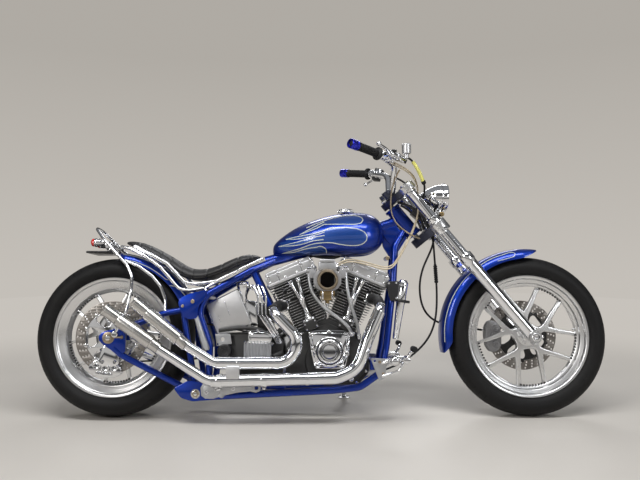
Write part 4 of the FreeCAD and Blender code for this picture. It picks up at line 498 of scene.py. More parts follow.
def traced(curve):
    """The mesh of a curve, which is then thrown away."""
    holder = bpy.data.objects.new("line", curve)
    mesh = bpy.data.meshes.new_from_object(holder)
    bm = bmesh.new()
    bm.from_mesh(mesh)
    bpy.data.objects.remove(holder)
    bpy.data.meshes.remove(mesh)
    bpy.data.curves.remove(curve)
    return bm


SPLINE_ORDER = 4


def round_line(radius, steps, sides):
    """An empty curve with a round section."""
    curve = bpy.data.curves.new("line", "CURVE")
    curve.dimensions = "3D"
    curve.bevel_depth = radius
    curve.bevel_resolution = sides
    curve.use_fill_caps = True
    curve.resolution_u = steps
    return curve


def hose(points, radius, steps=10, sides=3):
    """A round line through the air along a smooth spline."""
    curve = round_line(radius, steps, sides)
    line = curve.splines.new("NURBS")
    line.points.add(len(points) - 1)
    for spot, point in zip(line.points, points):
        spot.co = (*point, 1)
    line.order_u = min(SPLINE_ORDER, len(points))
    line.use_endpoint_u = True
    return fresh(traced(curve))


def stroke(points, radius, steps=10, sides=2, swell=None):
    """A round line that goes through its points; swell thins or thickens it along its way."""
    curve = round_line(radius, steps, sides)
    line = curve.splines.new("BEZIER")
    line.bezier_points.add(len(points) - 1)
    for i, (spot, point) in enumerate(zip(line.bezier_points, points)):
        spot.co = point
        spot.handle_left_type = spot.handle_right_type = "AUTO"
        spot.radius = swell[i] if swell else 1.0
    return fresh(traced(curve))


def bent(points, radius, bend, steps=8, sides=6):
    """A rigid tube: straight runs with a round bend at each corner."""
    points = [Vector(p) for p in points]
    spots = [(points[0], None, None)]
    for a, b, c in zip(points, points[1:], points[2:]):
        into, out = (b - a), (c - b)
        turn = into.angle(out)
        if turn < 0.02:
            continue
        reach = min(bend * math.tan(turn / 2), into.length * 0.49, out.length * 0.49)
        grip = 4 / 3 * math.tan(turn / 4) * reach / math.tan(turn / 2)
        start, end = b - into.normalized() * reach, b + out.normalized() * reach
        spots.append((start, None, start + into.normalized() * grip))
        spots.append((end, end - out.normalized() * grip, None))
    spots.append((points[-1], None, None))
    curve = round_line(radius, steps, sides)
    line = curve.splines.new("BEZIER")
    line.bezier_points.add(len(spots) - 1)
    for i, (spot, (at, left, right)) in enumerate(zip(line.bezier_points, spots)):
        before = spots[max(i - 1, 0)][0]
        after = spots[min(i + 1, len(spots) - 1)][0]
        spot.handle_left_type = spot.handle_right_type = "FREE"
        spot.co = at
        spot.handle_left = left if left is not None else at + (before - at) / 3
        spot.handle_right = right if right is not None else at + (after - at) / 3
    return fresh(traced(curve))


def hexagon(height, width):
    """A six-sided block, as wide as it is across its flats."""
    return drum(height, width / math.sqrt(3), steps=6)


def evaluated(holder):
    return holder.evaluated_get(bpy.context.evaluated_depsgraph_get())


def shaded(mesh, sharp=None):
    """Smooth shading, with the edges over an angle kept sharp."""
    mesh.polygons.foreach_set("use_smooth", [True] * len(mesh.polygons))
    if sharp:
        mesh.set_sharp_from_angle(angle=math.radians(sharp))


def shown(name, data):
    """A new object in the scene."""
    holder = bpy.data.objects.new(name, data)
    bpy.context.scene.collection.objects.link(holder)
    return holder


def side_place(y):
    """Side view at a distance from the middle plane: z runs towards the right side of the machine."""
    return Matrix.Translation(SIDE * y) @ SIDE_VIEW


class Piece:
    """A piece under making. It is drawn upright and is leaned over by done()."""

    def __init__(self, name, paint):
        self.name = name
        self.bm = bmesh.new()
        self.paints = []
        self.use(paint)

    def use(self, paint):
        """Picks the paint of the parts that come next."""
        if paint not in self.paints:
            self.paints.append(paint)
        self.paint = self.paints.index(paint)
        return self

    def add(self, part, place=None, accent=None):
        """Takes a part in. An accent is a paint and a test of faces."""
        for face in part.faces:
            face.material_index = self.paint
        if accent:
            base = self.paints[self.paint]
            other = self.use(accent[0]).paint
            for face in part.faces:
                if accent[1](face):
                    face.material_index = other
            self.use(base)
        if place is not None:
            bmesh.ops.transform(part, matrix=place, verts=part.verts)
            if place.determinant() < 0:
                bmesh.ops.reverse_faces(part, faces=part.faces)
        mesh = bpy.data.meshes.new("part")
        part.to_mesh(mesh)
        self.bm.from_mesh(mesh)
        part.free()
        bpy.data.meshes.remove(mesh)
        return self

    def lathe(self, profile, at, way, steps=48, edge=0.0, loop=False):
        """Takes in a turned part that starts at a point and runs along a way."""
        return self.add(turned(profile, steps, edge, loop), align(at, way))

    def rod(self, a, b, radius, end=None, steps=24, edge=0.5):
        a, b = Vector(a), Vector(b)
        return self.add(drum((b - a).length, radius, end, steps, edge), align(a, b - a))

    def bolt(self, at, direction, size=6.0, height=None):
        """A domed bolt head with its six-sided recess."""
        height = height or size * 0.7
        head = turned([(0, size), (height * 0.7, size), (height, size * 0.78), (height, size * 0.48),
                       (height * 0.45, size * 0.44), (height * 0.4, 0)], 12)
        return self.add(head, align(at, direction))

    def nut(self, at, direction, size=16.0, height=9.0):
        """A six-sided nut on its washer."""
        self.add(drum(height * 0.18, size * 0.72, steps=20, edge=0), align(at, direction))
        return self.add(hexagon(height, size), align(at, direction))

    def side(self, outline, low, high, corner=0.0, edge=0.8):
        """A plate seen from the side, between two distances from the middle."""
        return self.add(slab(outline, high - low, corner, edge), side_place((low + high) / 2))

    def done(self, body, replaces=(), slot=None, smooth=35.0):
        """Makes the object, leans it over and hands it to its body, if it is given one."""
        mesh = bpy.data.meshes.new(self.name)
        self.bm.to_mesh(mesh)
        self.bm.free()
        mesh.transform(PARK)
        shaded(mesh, smooth)
        for paint in self.paints:
            mesh.materials.append(PAINT[paint])
        piece = shown(self.name, mesh)
        if body:
            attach(piece, body)
        for node in replaces:
            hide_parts(node)
        return piece


# ---------------------------------------------------------------- camera, floor and light


def make_camera():
    """The view that matches the photograph, from the machine's right."""
    lens = bpy.data.cameras.new("camera")
    lens.lens = 40.18
    lens.sensor_width = 36.0
    lens.shift_x = 0.0234
    lens.shift_y = -0.0359
    camera = shown("camera", lens)
    camera.location = (-0.0712, -3.0608, 0.8238)
    camera.rotation_euler = (math.pi / 2, 0, 0)
    bpy.context.scene.camera = camera


def lit_share(f, plain, tint, share, painted_reflection=None):
    """Mixes a surface with its own light, which only the camera, mirrors and glass see; a painted reflection, when
    given, is a tint that mirrors and glass see in place of the camera's.
    """
    seen = f.node("LightPath", out=0) + f.node("LightPath", out=3) + f.node("LightPath", out=6)
    if painted_reflection is not None:
        tint = f.blend(f.node("LightPath", out=0), painted_reflection, tint)
    glow = f.node("Emission", values={"Color": tint, "Strength": 1.0})
    mixed = f.node("MixShader", values={0: seen.held() * share, 1: plain, 2: glow})
    f.tree.links.new(mixed.socket, f.tree.nodes["Material Output"].inputs["Surface"])


def make_stage():
    """A pale floor that keeps the shadows near the machine, and a wall that gives its own pale grey, darker towards the
    top; mirrors and glass see the wall instead in painted bands of light and dark, a painted reflection.
    """
    f = Finish("studio_floor", (0.7, 0.67, 0.63), 0.5)
    mottle = f.noise(3, 4)
    tint = f.blend(mottle, (0.61, 0.58, 0.54), (0.66, 0.63, 0.585))
    f.put("Base Color", tint)
    f.put("Roughness", 0.42 + 0.12 * mottle)
    f.bump(f.noise(60, 3), 0.02, 0.001)
    x, y, _ = f.axes()
    away = (((x * x * 0.6 + y * y) ** 0.5 - 0.9) / 1.7).held()
    lit_share(f, Wire(f.tree, f.shader.outputs[0]), (0.57, 0.54, 0.5, 1), away * away * (3 - 2 * away))
    w = Finish("studio_wall", (0.6, 0.58, 0.56), 0.9)
    _, y, z = w.axes()
    tint = w.blend(((z - 0.1) / 3.0).held(), (0.55, 0.52, 0.48), (0.43, 0.405, 0.37))
    # what mirrors and glass see of the wall: painted bands of light and dark by height, a painted reflection for the
    # chrome; near is in front of the machine, far is behind it and darker
    stops = ((0.0, (0.42, 0.4, 0.38)), (0.05, (0.3, 0.29, 0.28)), (0.07, (0.03, 0.03, 0.032)),
             (0.14, (0.05, 0.05, 0.05)), (0.18, (0.52, 0.51, 0.49)), (0.5, (0.44, 0.43, 0.42)),
             (0.56, (0.03, 0.03, 0.03)), (0.8, (0.08, 0.08, 0.08)), (1.0, (0.2, 0.2, 0.2)))
    near = w.node("ValToRGB", {"stops": stops}, {"Fac": z / 6.0})
    stops = ((0.0, (0.4, 0.38, 0.36)), (0.06, (0.22, 0.215, 0.21)), (0.16, (0.05, 0.05, 0.052)),
             (0.3, (0.16, 0.158, 0.155)), (0.6, (0.07, 0.07, 0.07)), (1.0, (0.12, 0.12, 0.12)))
    far = w.node("ValToRGB", {"stops": stops}, {"Fac": z / 6.0})
    painted_reflection = w.blend(((y + 1.6) / 2.4).held(), near, far)
    w.put("Base Color", tint)
    lit_share(w, Wire(w.tree, w.shader.outputs[0]), tint, 1.0, painted_reflection)
    bm = turned([(0, 0), (0, 2.6), (0, 5.2), (0.06, 5.9), (0.24, 6.5), (0.6, 7.0), (1.2, 7.3), (7.0, 7.5)], 96)
    mesh = bpy.data.meshes.new("studio_floor")
    for face in bm.faces:
        middle = face.calc_center_median()
        if face.normal.z < 0 or face.normal.dot(Vector((middle.x, middle.y, 0))) > 0 and middle.z > 0.01:
            face.normal_flip()
        face.material_index = middle.z > 0.01
    bm.to_mesh(mesh)
    bm.free()
    shaded(mesh)
    mesh.materials.append(f.material)
    mesh.materials.append(w.material)
    shown("studio_floor", mesh)


def lamp(name, at, aim, size, power, tint=(1, 1, 1)):
    """An oblong soft light that looks at a point."""
    light = bpy.data.lights.new(name, "AREA")
    light.shape = "RECTANGLE"
    light.size, light.size_y = size
    light.energy = power
    light.color = tint
    holder = shown(name, light)
    holder.location = at
    holder.rotation_euler = (Vector(aim) - Vector(at)).to_track_quat("-Z", "Y").to_euler()


def make_light():
    """Four soft lamps and a faint sky."""
    world = bpy.data.worlds.new("room")
    bpy.context.scene.world = world
    world.use_nodes = True
    sky = world.node_tree.nodes["Background"]
    sky.inputs["Color"].default_value = (0.8, 0.82, 0.86, 1)
    sky.inputs["Strength"].default_value = 0.3
    lamp("overhead", (0.0, -1.5, 3.3), (0, 0, 0.2), (3.6, 0.7), 94)
    lamp("front_left", (-3.2, -4.2, 2.8), (-0.2, 0, 0.5), (1.0, 1.4), 72, (1.0, 0.98, 0.95))
    lamp("front_right", (3.6, -3.6, 2.4), (0.4, 0, 0.4), (0.9, 1.4), 42, (0.96, 0.98, 1.0))
    lamp("behind", (0.5, 4.2, 3.2), (0, 0, 0.6), (3.0, 0.7), 55)


make_camera()
make_stage()
make_light()
bpy.context.scene.view_settings.view_transform = "Standard"

# ---------------------------------------------------------------- wheels


def wheel_place(hub, y=0.0):
    """Side view on a hub: z runs towards the right side of the machine."""
    return Matrix.Translation(hub + SIDE * y) @ SIDE_VIEW


def polar(radius, degrees):
    """The two coordinates of a point at an angle on a circle."""
    turn = math.radians(degrees)
    return radius * math.cos(turn), radius * math.sin(turn)


def around(hub, radius, degrees, y):
    """A point at an angle about a hub, seen from the side, at a distance from the middle plane."""
    x, z = polar(radius, degrees)
    return hub + Vector((x, y, z))


def turned_outline(points, degrees):
    """An outline turned about its origin."""
    turn = math.radians(degrees)
    c, s = math.cos(turn), math.sin(turn)
    return [(x * c - y * s, x * s + y * c) for x, y in points]


def both_ways(upper):
    """A closed outline that is the same on both sides of x."""
    return upper + [(x, -y) for x, y in reversed(upper)]


FORK_WINDOW = ((0.500, 0.0), (0.530, 0.034), (0.62, 0.105), (0.73, 0.183), (0.86, 0.262), (0.945, 0.305),
               (0.972, 0.282), (0.982, 0.2), (0.985, 0.1))
GAP_WINDOW = ((0.262, 0.0), (0.268, 0.085), (0.30, 0.142), (0.36, 0.166), (0.5, 0.180), (0.7, 0.195), (0.9, 0.214),
              (0.955, 0.205), (0.975, 0.16), (0.985, 0.07))


def windows(radius, first, shares):
    """Five openings of a wheel; each starts with a point on its middle line."""
    upper = [(radius * a, radius * b) for a, b in shares]
    outline = upper + [(x, -y) for x, y in reversed(upper[1:])]
    return [(turned_outline(outline, first + 72 * i), True) for i in range(5)]


def cut_grid(bm, pitch, reach):
    """Cuts a flat plate into small fields, so that it can be domed."""
    count = int(reach / pitch)
    for normal in ((1, 0, 0), (0, 1, 0)):
        for i in range(-count, count + 1):
            at = Vector(normal) * (pitch * i + 0.37)
            bmesh.ops.bisect_plane(bm, geom=bm.verts[:] + bm.edges[:] + bm.faces[:], dist=0.0001, plane_co=at,
                                   plane_no=normal)


def wheel_star(radius, hub_radius, first, deep, dish):
    """Five wishbone spokes, cut from one plate, thicker at the hub than at the rim."""
    rim = [(circle(radius + 12, 120), False)]
    bore = [(circle(hub_radius * 0.6, 40), False)]
    bm = sheet(rim + windows(radius, first, FORK_WINDOW) + windows(radius, first + 36, GAP_WINDOW) + bore,
               deep * 2, 5.0, 4)
    cut_grid(bm, 22.0, radius)
    for vert in bm.verts:
        far = math.hypot(vert.co.x, vert.co.y) / radius
        vert.co.z *= 1.0 - 0.42 * min(1.0, far) ** 1.5
        vert.co.z += dish * (1 - far ** 2)
    return bm


def rim_ring(half, flange, seat, barrel):
    """The rolled rim: lips, seats and a stepped well, as one closed section."""
    right = [(half - 3, flange - 12), (half, flange - 8), (half + 0.5, flange - 1), (half - 2, flange + 1.5),
             (half - 6, flange - 1), (half - 8, seat), (half - 16, seat - 4)]
    well = [(half * 0.42, seat - 20), (-half * 0.42, seat - 20)]
    left = [(-y, r) for y, r in reversed(right)]
    steps = [(half - 8, flange - 14), (half - 13, flange - 16), (half - 14.5, flange - 19), (half * 0.6, barrel + 12),
             (half * 0.56, barrel + 9), (half * 0.4, barrel + 6), (half * 0.36, barrel + 1), (half * 0.3, barrel - 3)]
    inner = [(-y, r) for y, r in steps] + steps[::-1]
    return turned(right + well + left + inner, 128, loop=True)


def tyre_finish(name, hub, side_y, blocks, shoulder):
    """Tyre rubber with slanted grooves on the shoulders, painted near black as painted shade, and rings on the wall."""
    f = Finish(name, (0.018, 0.018, 0.018), 0.62, Specular_IOR_Level=0.2)
    turn = Matrix.Rotation(LEAN, 4, "X")
    spot = f.place(shift=-(turn @ (PARK @ hub)), turn=(LEAN, 0, 0))
    x, y, z = f.axes(spot)
    radius = (x * x + z * z) ** 0.5
    across = y.size()
    run = z.angle(x) * (blocks / TURN) + across * shoulder
    groove_with_painted_shade = (run.part() < 0.13) * (across > side_y * 0.34) * (across < side_y * 0.9) * (radius > (hub.z - 46) / 1000)
    ring = ((radius * 1500).wave() > 0.86) * (radius < (hub.z - 44) / 1000) * (radius > (hub.z - 62) / 1000)
    dust = f.noise(9, 5, 0.6)
    base = f.blend(dust, (0.005, 0.005, 0.006), (0.015, 0.0145, 0.014))
    # the grooves are painted near black: painted shade in them, besides their bump
    f.put("Base Color", f.blend(groove_with_painted_shade, base, (0.004, 0.004, 0.004)))
    f.put("Roughness", 0.46 + 0.26 * dust)
    return f.bump(f.noise(650, 4, 0.6) * 0.12 - groove_with_painted_shade - ring * 0.35, 0.6, 0.002).material


def make_tyre(name, hub, radius, seat, half, crown, node, body, blocks, lean_in, rim_half):
    """A tyre as one closed section turned about its hub, with its bead inside the rim."""
    PAINT[name] = tyre_finish(name, hub, half / 1000, blocks, lean_in)
    right = []
    steps = 11
    for i in range(steps):
        turn = math.radians(90 * i / (steps - 1))
        right.append((half * math.sin(turn) ** 0.86, radius - (radius - seat - 42) * (1 - math.cos(turn)) ** crown))
    wall = right + [(half * 0.965, seat + 32), (half * 0.88, seat + 22), (rim_half + 1.5, seat + 15.5),
                    (rim_half - 3, seat + 12.5), (rim_half - 8, seat + 2)]
    section = [(-y, r) for y, r in reversed(wall[1:])] + wall
    part = turned(section + [(rim_half - 12, seat - 4), (12 - rim_half, seat - 4)], 84, loop=True)
    Piece(name, name).add(part, wheel_place(hub)).done(body, [node], "tyre_rubber", 60)


def bolt_ring(piece, hub, y, radius, first, spread, count, size):
    """Five groups of bolts round a hub, one at each spoke."""
    for i in range(5):
        for k in range(count):
            turn = first + 72 * i + spread * (k / (count - 1) * 2 - 1)
            piece.bolt(around(hub, radius, turn, y), RIGHT, size)


def front_wheel():
    """The narrow front wheel: rim and spokes from one plate, its hub, bolts, valve and tyre."""
    rim = Piece("front_rim_billet", "alloy")
    rim.add(rim_ring(44, 250, 240, 211), wheel_place(FRONT_HUB))
    rim.add(wheel_star(207, 36, 23, 15, 8), wheel_place(FRONT_HUB))
    face = [(0, 0), (0, 20), (-3, 24), (-14, 26), (-16, 40), (-22, 43), (-40, 45)]
    for side in (1, -1):
        hub = turned([(h + 40, r) for h, r in face], 48, 1.0)
        rim.add(hub, wheel_place(FRONT_HUB) if side > 0 else wheel_place(FRONT_HUB) @ Matrix.Rotation(math.pi, 4, "X"))
    bolt_ring(rim, FRONT_HUB, -26.5, 33, 23, 12, 2, 4.0)
    rim.use("black")
    bolt_ring(rim, FRONT_HUB, -15.5, 203, 59, 14, 9, 4.0)
    rim.use("chrome")
    x, z = polar(212, 8)
    rim.rod(FRONT_HUB + Vector((x, -6, z)), FRONT_HUB + Vector((x - 22, -22, z - 3)), 4, 3)
    rim.done("front_wheel", ["front_rim"], "polished_alloy")
    make_tyre("front_tyre_casing", FRONT_HUB, 327.2, 240, 57, 0.93, "front_tyre", "front_wheel", 66, 9.0, 44)


def rear_wheel():
    """The wide rear wheel, dished on the right, with the belt pulley on its left."""
    rim = Piece("rear_rim_billet", "alloy")
    rim.add(rim_ring(78, 243, 230, 203), wheel_place(REAR_HUB))
    rim.add(wheel_star(194, 44, 23, 15, 6), wheel_place(REAR_HUB, -34))
    slope = [(26, 184), (40, 187), (43, 189.5), (44, 192), (52, 199), (52.6, 202), (60, 210), (60.6, 213), (67, 221),
             (67.6, 224), (73, 231), (76, 233), (77, 238), (72, 240), (62, 226), (46, 206), (34, 196), (24, 190)]
    rim.add(turned(slope, 128, loop=True), wheel_place(REAR_HUB))
    rim.add(turned([(0, 30), (3, 44), (-60, 46), (-100, 44)], 48, 1.0), wheel_place(REAR_HUB, -64))
    rim.add(turned([(-66, 30), (-66, 48), (-30, 48), (-30, 30)], 48, 1.0), wheel_place(REAR_HUB))
    rim.use("black")
    bolt_ring(rim, REAR_HUB, -49, 184, 59, 16, 10, 4.2)
    rim.use("chrome")
    pulley = [(-93, 60), (-93, 92), (-93, 115), (-97, 115), (-97, 112), (-115, 112), (-115, 115), (-119, 115),
              (-119, 100), (-113, 92), (-113, 60)]
    rim.add(turned(pulley, 96, 0.6, loop=True), wheel_place(REAR_HUB))
    arms = sheet([(circle(96, 80), False)] + [(turned_outline(circle(15, 16, (74, 0)), 72 * i), False)
                                              for i in range(5)] + [(circle(26, 32), False)], 10, 1.5)
    rim.add(arms, wheel_place(REAR_HUB, 104))
    rim.done("rear_wheel", ["rear_rim"], "polished_alloy")
    make_tyre("rear_tyre_casing", REAR_HUB, 323.9, 230, 98, 1.0, "rear_tyre", "rear_wheel", 54, 6.0, 78)


def drilled_ring(outer, inner):
    """The flat ring of a disc, drilled in three rows."""
    spots = [(circle(outer, 120), False), (circle(inner, 90), False)]
    rows = ((outer - 8, 0.0), ((outer + inner) / 2, 0.5), (inner + 8, 0.0))
    for radius, shift in rows:
        for i in range(30):
            spots.append((circle(3.9, 8, polar(radius, 12 * (i + shift) + (radius - inner) * 0.35)), False))
    return sheet(spots, 5.0, 0.3, 1)


def brake_disc(name, hub, y, node, body, steel, carrier, hub_y):
    """A drilled ring on a carrier with five windows, held by ten buttons and five bolts."""
    disc = Piece(name, steel)
    disc.add(drilled_ring(146, 107), wheel_place(hub, y))
    disc.use(carrier)
    rings = [(circle(106, 90), False), (circle(26, 40), False)]
    for i in range(5):
        hole = both_ways([(46, 6), (50, 18), (64, 30), (84, 38), (93, 33), (95, 12)])
        rings.append((turned_outline(hole, 72 * i + 36), True))
    disc.add(sheet(rings, 7, 1.4), wheel_place(hub, y))
    out = -1 if y < 0 else 1
    for i in range(10):
        at = around(hub, 107.5, 36 * i + 18, y - 3.9 * out)
        disc.rod(at, at + SIDE * (7.8 * out), 7.5, steps=16)
    for i in range(5):
        disc.bolt(around(hub, 34, 72 * i, y + 3.5 * out), SIDE * out, 6)
    disc.rod(hub + SIDE * (hub_y * out), hub + SIDE * y, 42, 34, 40)
    disc.done(body, [node], "disc_steel")


def caliper_body(piece, hub, y, angle, half):
    """A six-piston caliper that hugs the disc: two shaped halves, a bridge, round covers."""
    outline = both_ways([(93, 18), (97, 42), (112, 60), (134, 66), (150, 52), (158, 28), (160, 9)])
    outline = turned_outline(outline, angle)
    for side in BOTH:
        low = y + side * 5 if side > 0 else y - half
        high = y + half if side > 0 else y - 5
        piece.add(sheet([(outline, True)], high - low, 3.0, 3), wheel_place(hub, (low + high) / 2))
        for k in (-1, 0, 1):
            at = around(hub, 121, angle + 17 * k, y + side * half)
            piece.lathe([(-4, 16.4), (4.5, 16), (6.5, 13.6), (5.0, 11), (5.0, 6), (6.8, 5), (6.8, 0)], at,
                        SIDE * side, 28)
            piece.bolt(around(hub, 146, angle + 8.5 * k, y + side * half), SIDE * side, 6, 5)
        bridge = turned_outline(both_ways([(139, 14), (142, 34), (154, 30), (157, 12)]), angle)
        piece.add(sheet([(bridge, True)], 5, 1.6, 2), wheel_place(hub, y + side * (half + 1.5)))
    for k in BOTH:
        piece.rod(*[around(hub, 154, angle + 13 * k, y + half * share) for share in (-0.9, 0.9)], 8)
    return piece


def brakes():
    """Both discs and both calipers, with the arm that holds each caliper."""
    brake_disc("front_disc_drilled", FRONT_HUB, FRONT_DISC_Y, "front_disc", "front_wheel", "front_disc", "black", 40)
    brake_disc("rear_disc_drilled", REAR_HUB, REAR_DISC_Y, "rear_disc", "rear_wheel", "rear_disc", "chrome", 62)
    front = caliper_body(Piece("front_caliper_body", "cast"), FRONT_HUB, FRONT_DISC_Y, 182, 24)
    mount = FRONT_HUB + UP * 80 + SIDE * LEG_Y
    front.rod(around(FRONT_HUB, 126, 182, 76), mount, 11, 11)
    front.done("fork", ["front_caliper"], "engine_black")
    rear = caliper_body(Piece("rear_caliper_body", "chrome"), REAR_HUB, REAR_DISC_Y, 262, 22)
    hanger = [(-20, -16), (24, -16), (42, -100), (30, -112), (-36, -112), (-44, -100)]
    rear.side([(REAR_HUB.x + a, REAR_HUB.z + b) for a, b in hanger], -124, -116, 8, 1.2)
    rear.bolt(REAR_HUB + Vector((-26, -124, -98)), RIGHT, 8)
    rear.bolt(REAR_HUB + Vector((24, -124, -98)), RIGHT, 8)
    rear.done("frame", ["rear_caliper"], "chrome")


front_wheel()
rear_wheel()
brakes()

# ---------------------------------------------------------------- engine


def cylinder_place(side, height=0.0, x=0.0, y=0.0):
    """A place on a cylinder's own axis, which leans forward (1) or backward (-1) from the crank."""
    return (Matrix.Translation(CRANK) @ rolled(22.5 * side, "Y") @ moved(x, y, height))


def fin(long_half, wide_half, thick, corner, notch):
    """One cooling fin; its right side is notched where the pushrod tubes pass."""
    a, b, n = long_half, wide_half, notch
    outline = [(-a, -b), (-n, -b), (-n + 5, -b + 16), (n - 5, -b + 16), (n, -b), (a, -b), (a, b), (-a, b)]
    return slab(outline, thick, corner, 0.5, 3)


def edge_of_fin(face):
    return abs(face.normal.z) < 0.4


def make_cylinder(side):
    """A finned barrel and head in black with bright fin edges."""
    name, node = ("front_barrel", "front_cylinder") if side > 0 else ("rear_barrel", "rear_cylinder")
    barrel = Piece(name, "black")
    barrel.add(drum(122, 55, steps=48), cylinder_place(side, 160))
    barrel.add(brick((184, 120, 84), 10), cylinder_place(side, 325))
    barrel.add(brick((124 if side > 0 else 144, 116, 124), 12), cylinder_place(side, 222))
    stacks = ((11, (68, 22), (64, 4), 2.6, 15, 168, 11.0, 0), (7, (98, 11), (69, 5), 2.8, 18, 295, 11.2, 3))
    for count, (a, more_a), (b, more_b), thick, notch, low, pitch, shift in stacks:
        for i in range(count):
            share = i / (count - 1)
            part = fin(a + more_a * share, b + more_b * share, thick, 18, notch)
            barrel.add(part, cylinder_place(side, low + pitch * i, shift * side), accent=("fin", edge_of_fin))
    barrel.use("chrome")
    for x, y in ((-50, -58), (50, -58), (-50, 58), (50, 58)):
        barrel.add(hexagon(10, 15), cylinder_place(side, 282, x, y))
    barrel.use("plastic")
    plug = cylinder_place(side, 322, 52 * side, -62) @ rolled(62, "X")
    barrel.add(turned([(0, 0), (0, 9), (14, 9), (16, 7), (30, 7), (32, 5), (32, 0)], 20, 0.6), plug)
    lead = cylinder_place(side)
    start = lead @ Vector((52 * side, -86, 334))
    barrel.add(hose([start, start + Vector((6 * side, -4, 10)), lead @ Vector((88 * side, -62, 352)),
                     lead @ Vector((110 * side, -20, 330)), lead @ Vector((96 * side, 8, 300))], 4, 8, 3))
    barrel.done("frame", [node], "engine_black")


def rocker_box(piece, side):
    """A polished cover in three blocks on a stepped base, bolted down at its seams."""
    piece.use("satin")
    piece.add(slab(oblong(111, 73), 12, 14, 1.6), cylinder_place(side, 374, 4 * side))
    for x, length in ((-79, 57), (1, 99), (79, 53)):
        piece.add(brick((length, 141, 34), 2.6, 3), cylinder_place(side, 397, (x + 4) * side))
    for x, length in ((-75, 50), (1, 97), (74, 46)):
        piece.add(brick((length, 126, 22), 5.0, 4), cylinder_place(side, 418, (x + 4) * side))
    piece.use("black").add(brick((204, 124, 40), 4.0, 2), cylinder_place(side, 397, 4 * side))
    piece.use("chrome")
    for x in (-94, -50, 52, 96):
        for y in (-64, 64):
            at = cylinder_place(side, 412, (x + 2) * side, y)
            piece.add(hexagon(9, 11), at)
            piece.add(drum(2.4, 8, steps=16, edge=0), at)
    for x in (-94, -26, 26, 94):
        at = cylinder_place(side, 384, (x + 2) * side, -70.5) @ SIDE_VIEW
        piece.add(turned([(0, 0), (0, 5), (2.6, 5), (3.4, 3.8), (3.4, 0)], 16), at)
    for x in (-96, -50, 52, 96):
        at = cylinder_place(side, 404, x * side, -70.5) @ SIDE_VIEW
        piece.add(turned([(0, 0), (0, 7.4), (2.4, 7.4), (2.8, 5), (1.6, 4.6), (1.6, 0)], 20), at)


def engine_cases():
    """Black cases with a bright seam of bolts down the middle and a rounded sump."""
    cases = Piece("engine_cases_black", "black")
    outline = [(-170, -71), (-132, -93), (126, -93), (168, -45), (168, 43), (118, 122), (6, 171), (-6, 171),
               (-118, 122), (-170, 63)]
    outline = [(CRANK.x + x, CRANK.z + z) for x, z in outline]
    cases.side(outline, -75, 75, 14, 5)
    inner = [(CRANK.x + (x - CRANK.x) * 0.9, CRANK.z + (z - CRANK.z) * 0.9) for x, z in outline]
    cases.side(inner, -82, -70, 16, 4)
    cases.add(turned([(-87, 0), (-87, 88), (-80, 96), (80, 96), (87, 88), (87, 0)], 72), wheel_place(CRANK))
    for turn in range(200, 345, 16):
        x, z = polar(84, turn)
        cases.add(brick((5, 14, 26), 1.5), wheel_place(Vector((CRANK.x + x, -76, CRANK.z + z)))
                  @ rolled(turn + 90, "Z") @ SIDE_VIEW)
    for end in BOTH:
        cases.add(slab(oblong(62, 72), 10, 16, 1.4), cylinder_place(end, 160))
    cases.use("chrome")
    for x, z in ((-158, 50), (-158, -60), (-118, -84), (118, -84), (156, -38), (156, 36), (108, 112), (-106, 112)):
        for side in BOTH:
            cases.bolt((CRANK.x + x, 75 * side, CRANK.z + z), (0, side, 0), 6.5, 5)
    for x, z in ((-104, -66), (96, -70), (140, 0)):
        cases.nut((CRANK.x + x, -81, CRANK.z + z), RIGHT, 15, 8)
    cases.use("case")
    cases.add(turned([(0, 0), (0, 27), (58, 27), (64, 24), (66, 18), (66, 0)], 48, 0.8),
              align((CRANK.x + 168, -30, CRANK.z - 34), (1, 0, 0)) @ moved(0, 0, -30))
    cases.done("frame", ["engine_cases"], "engine_black", 35)


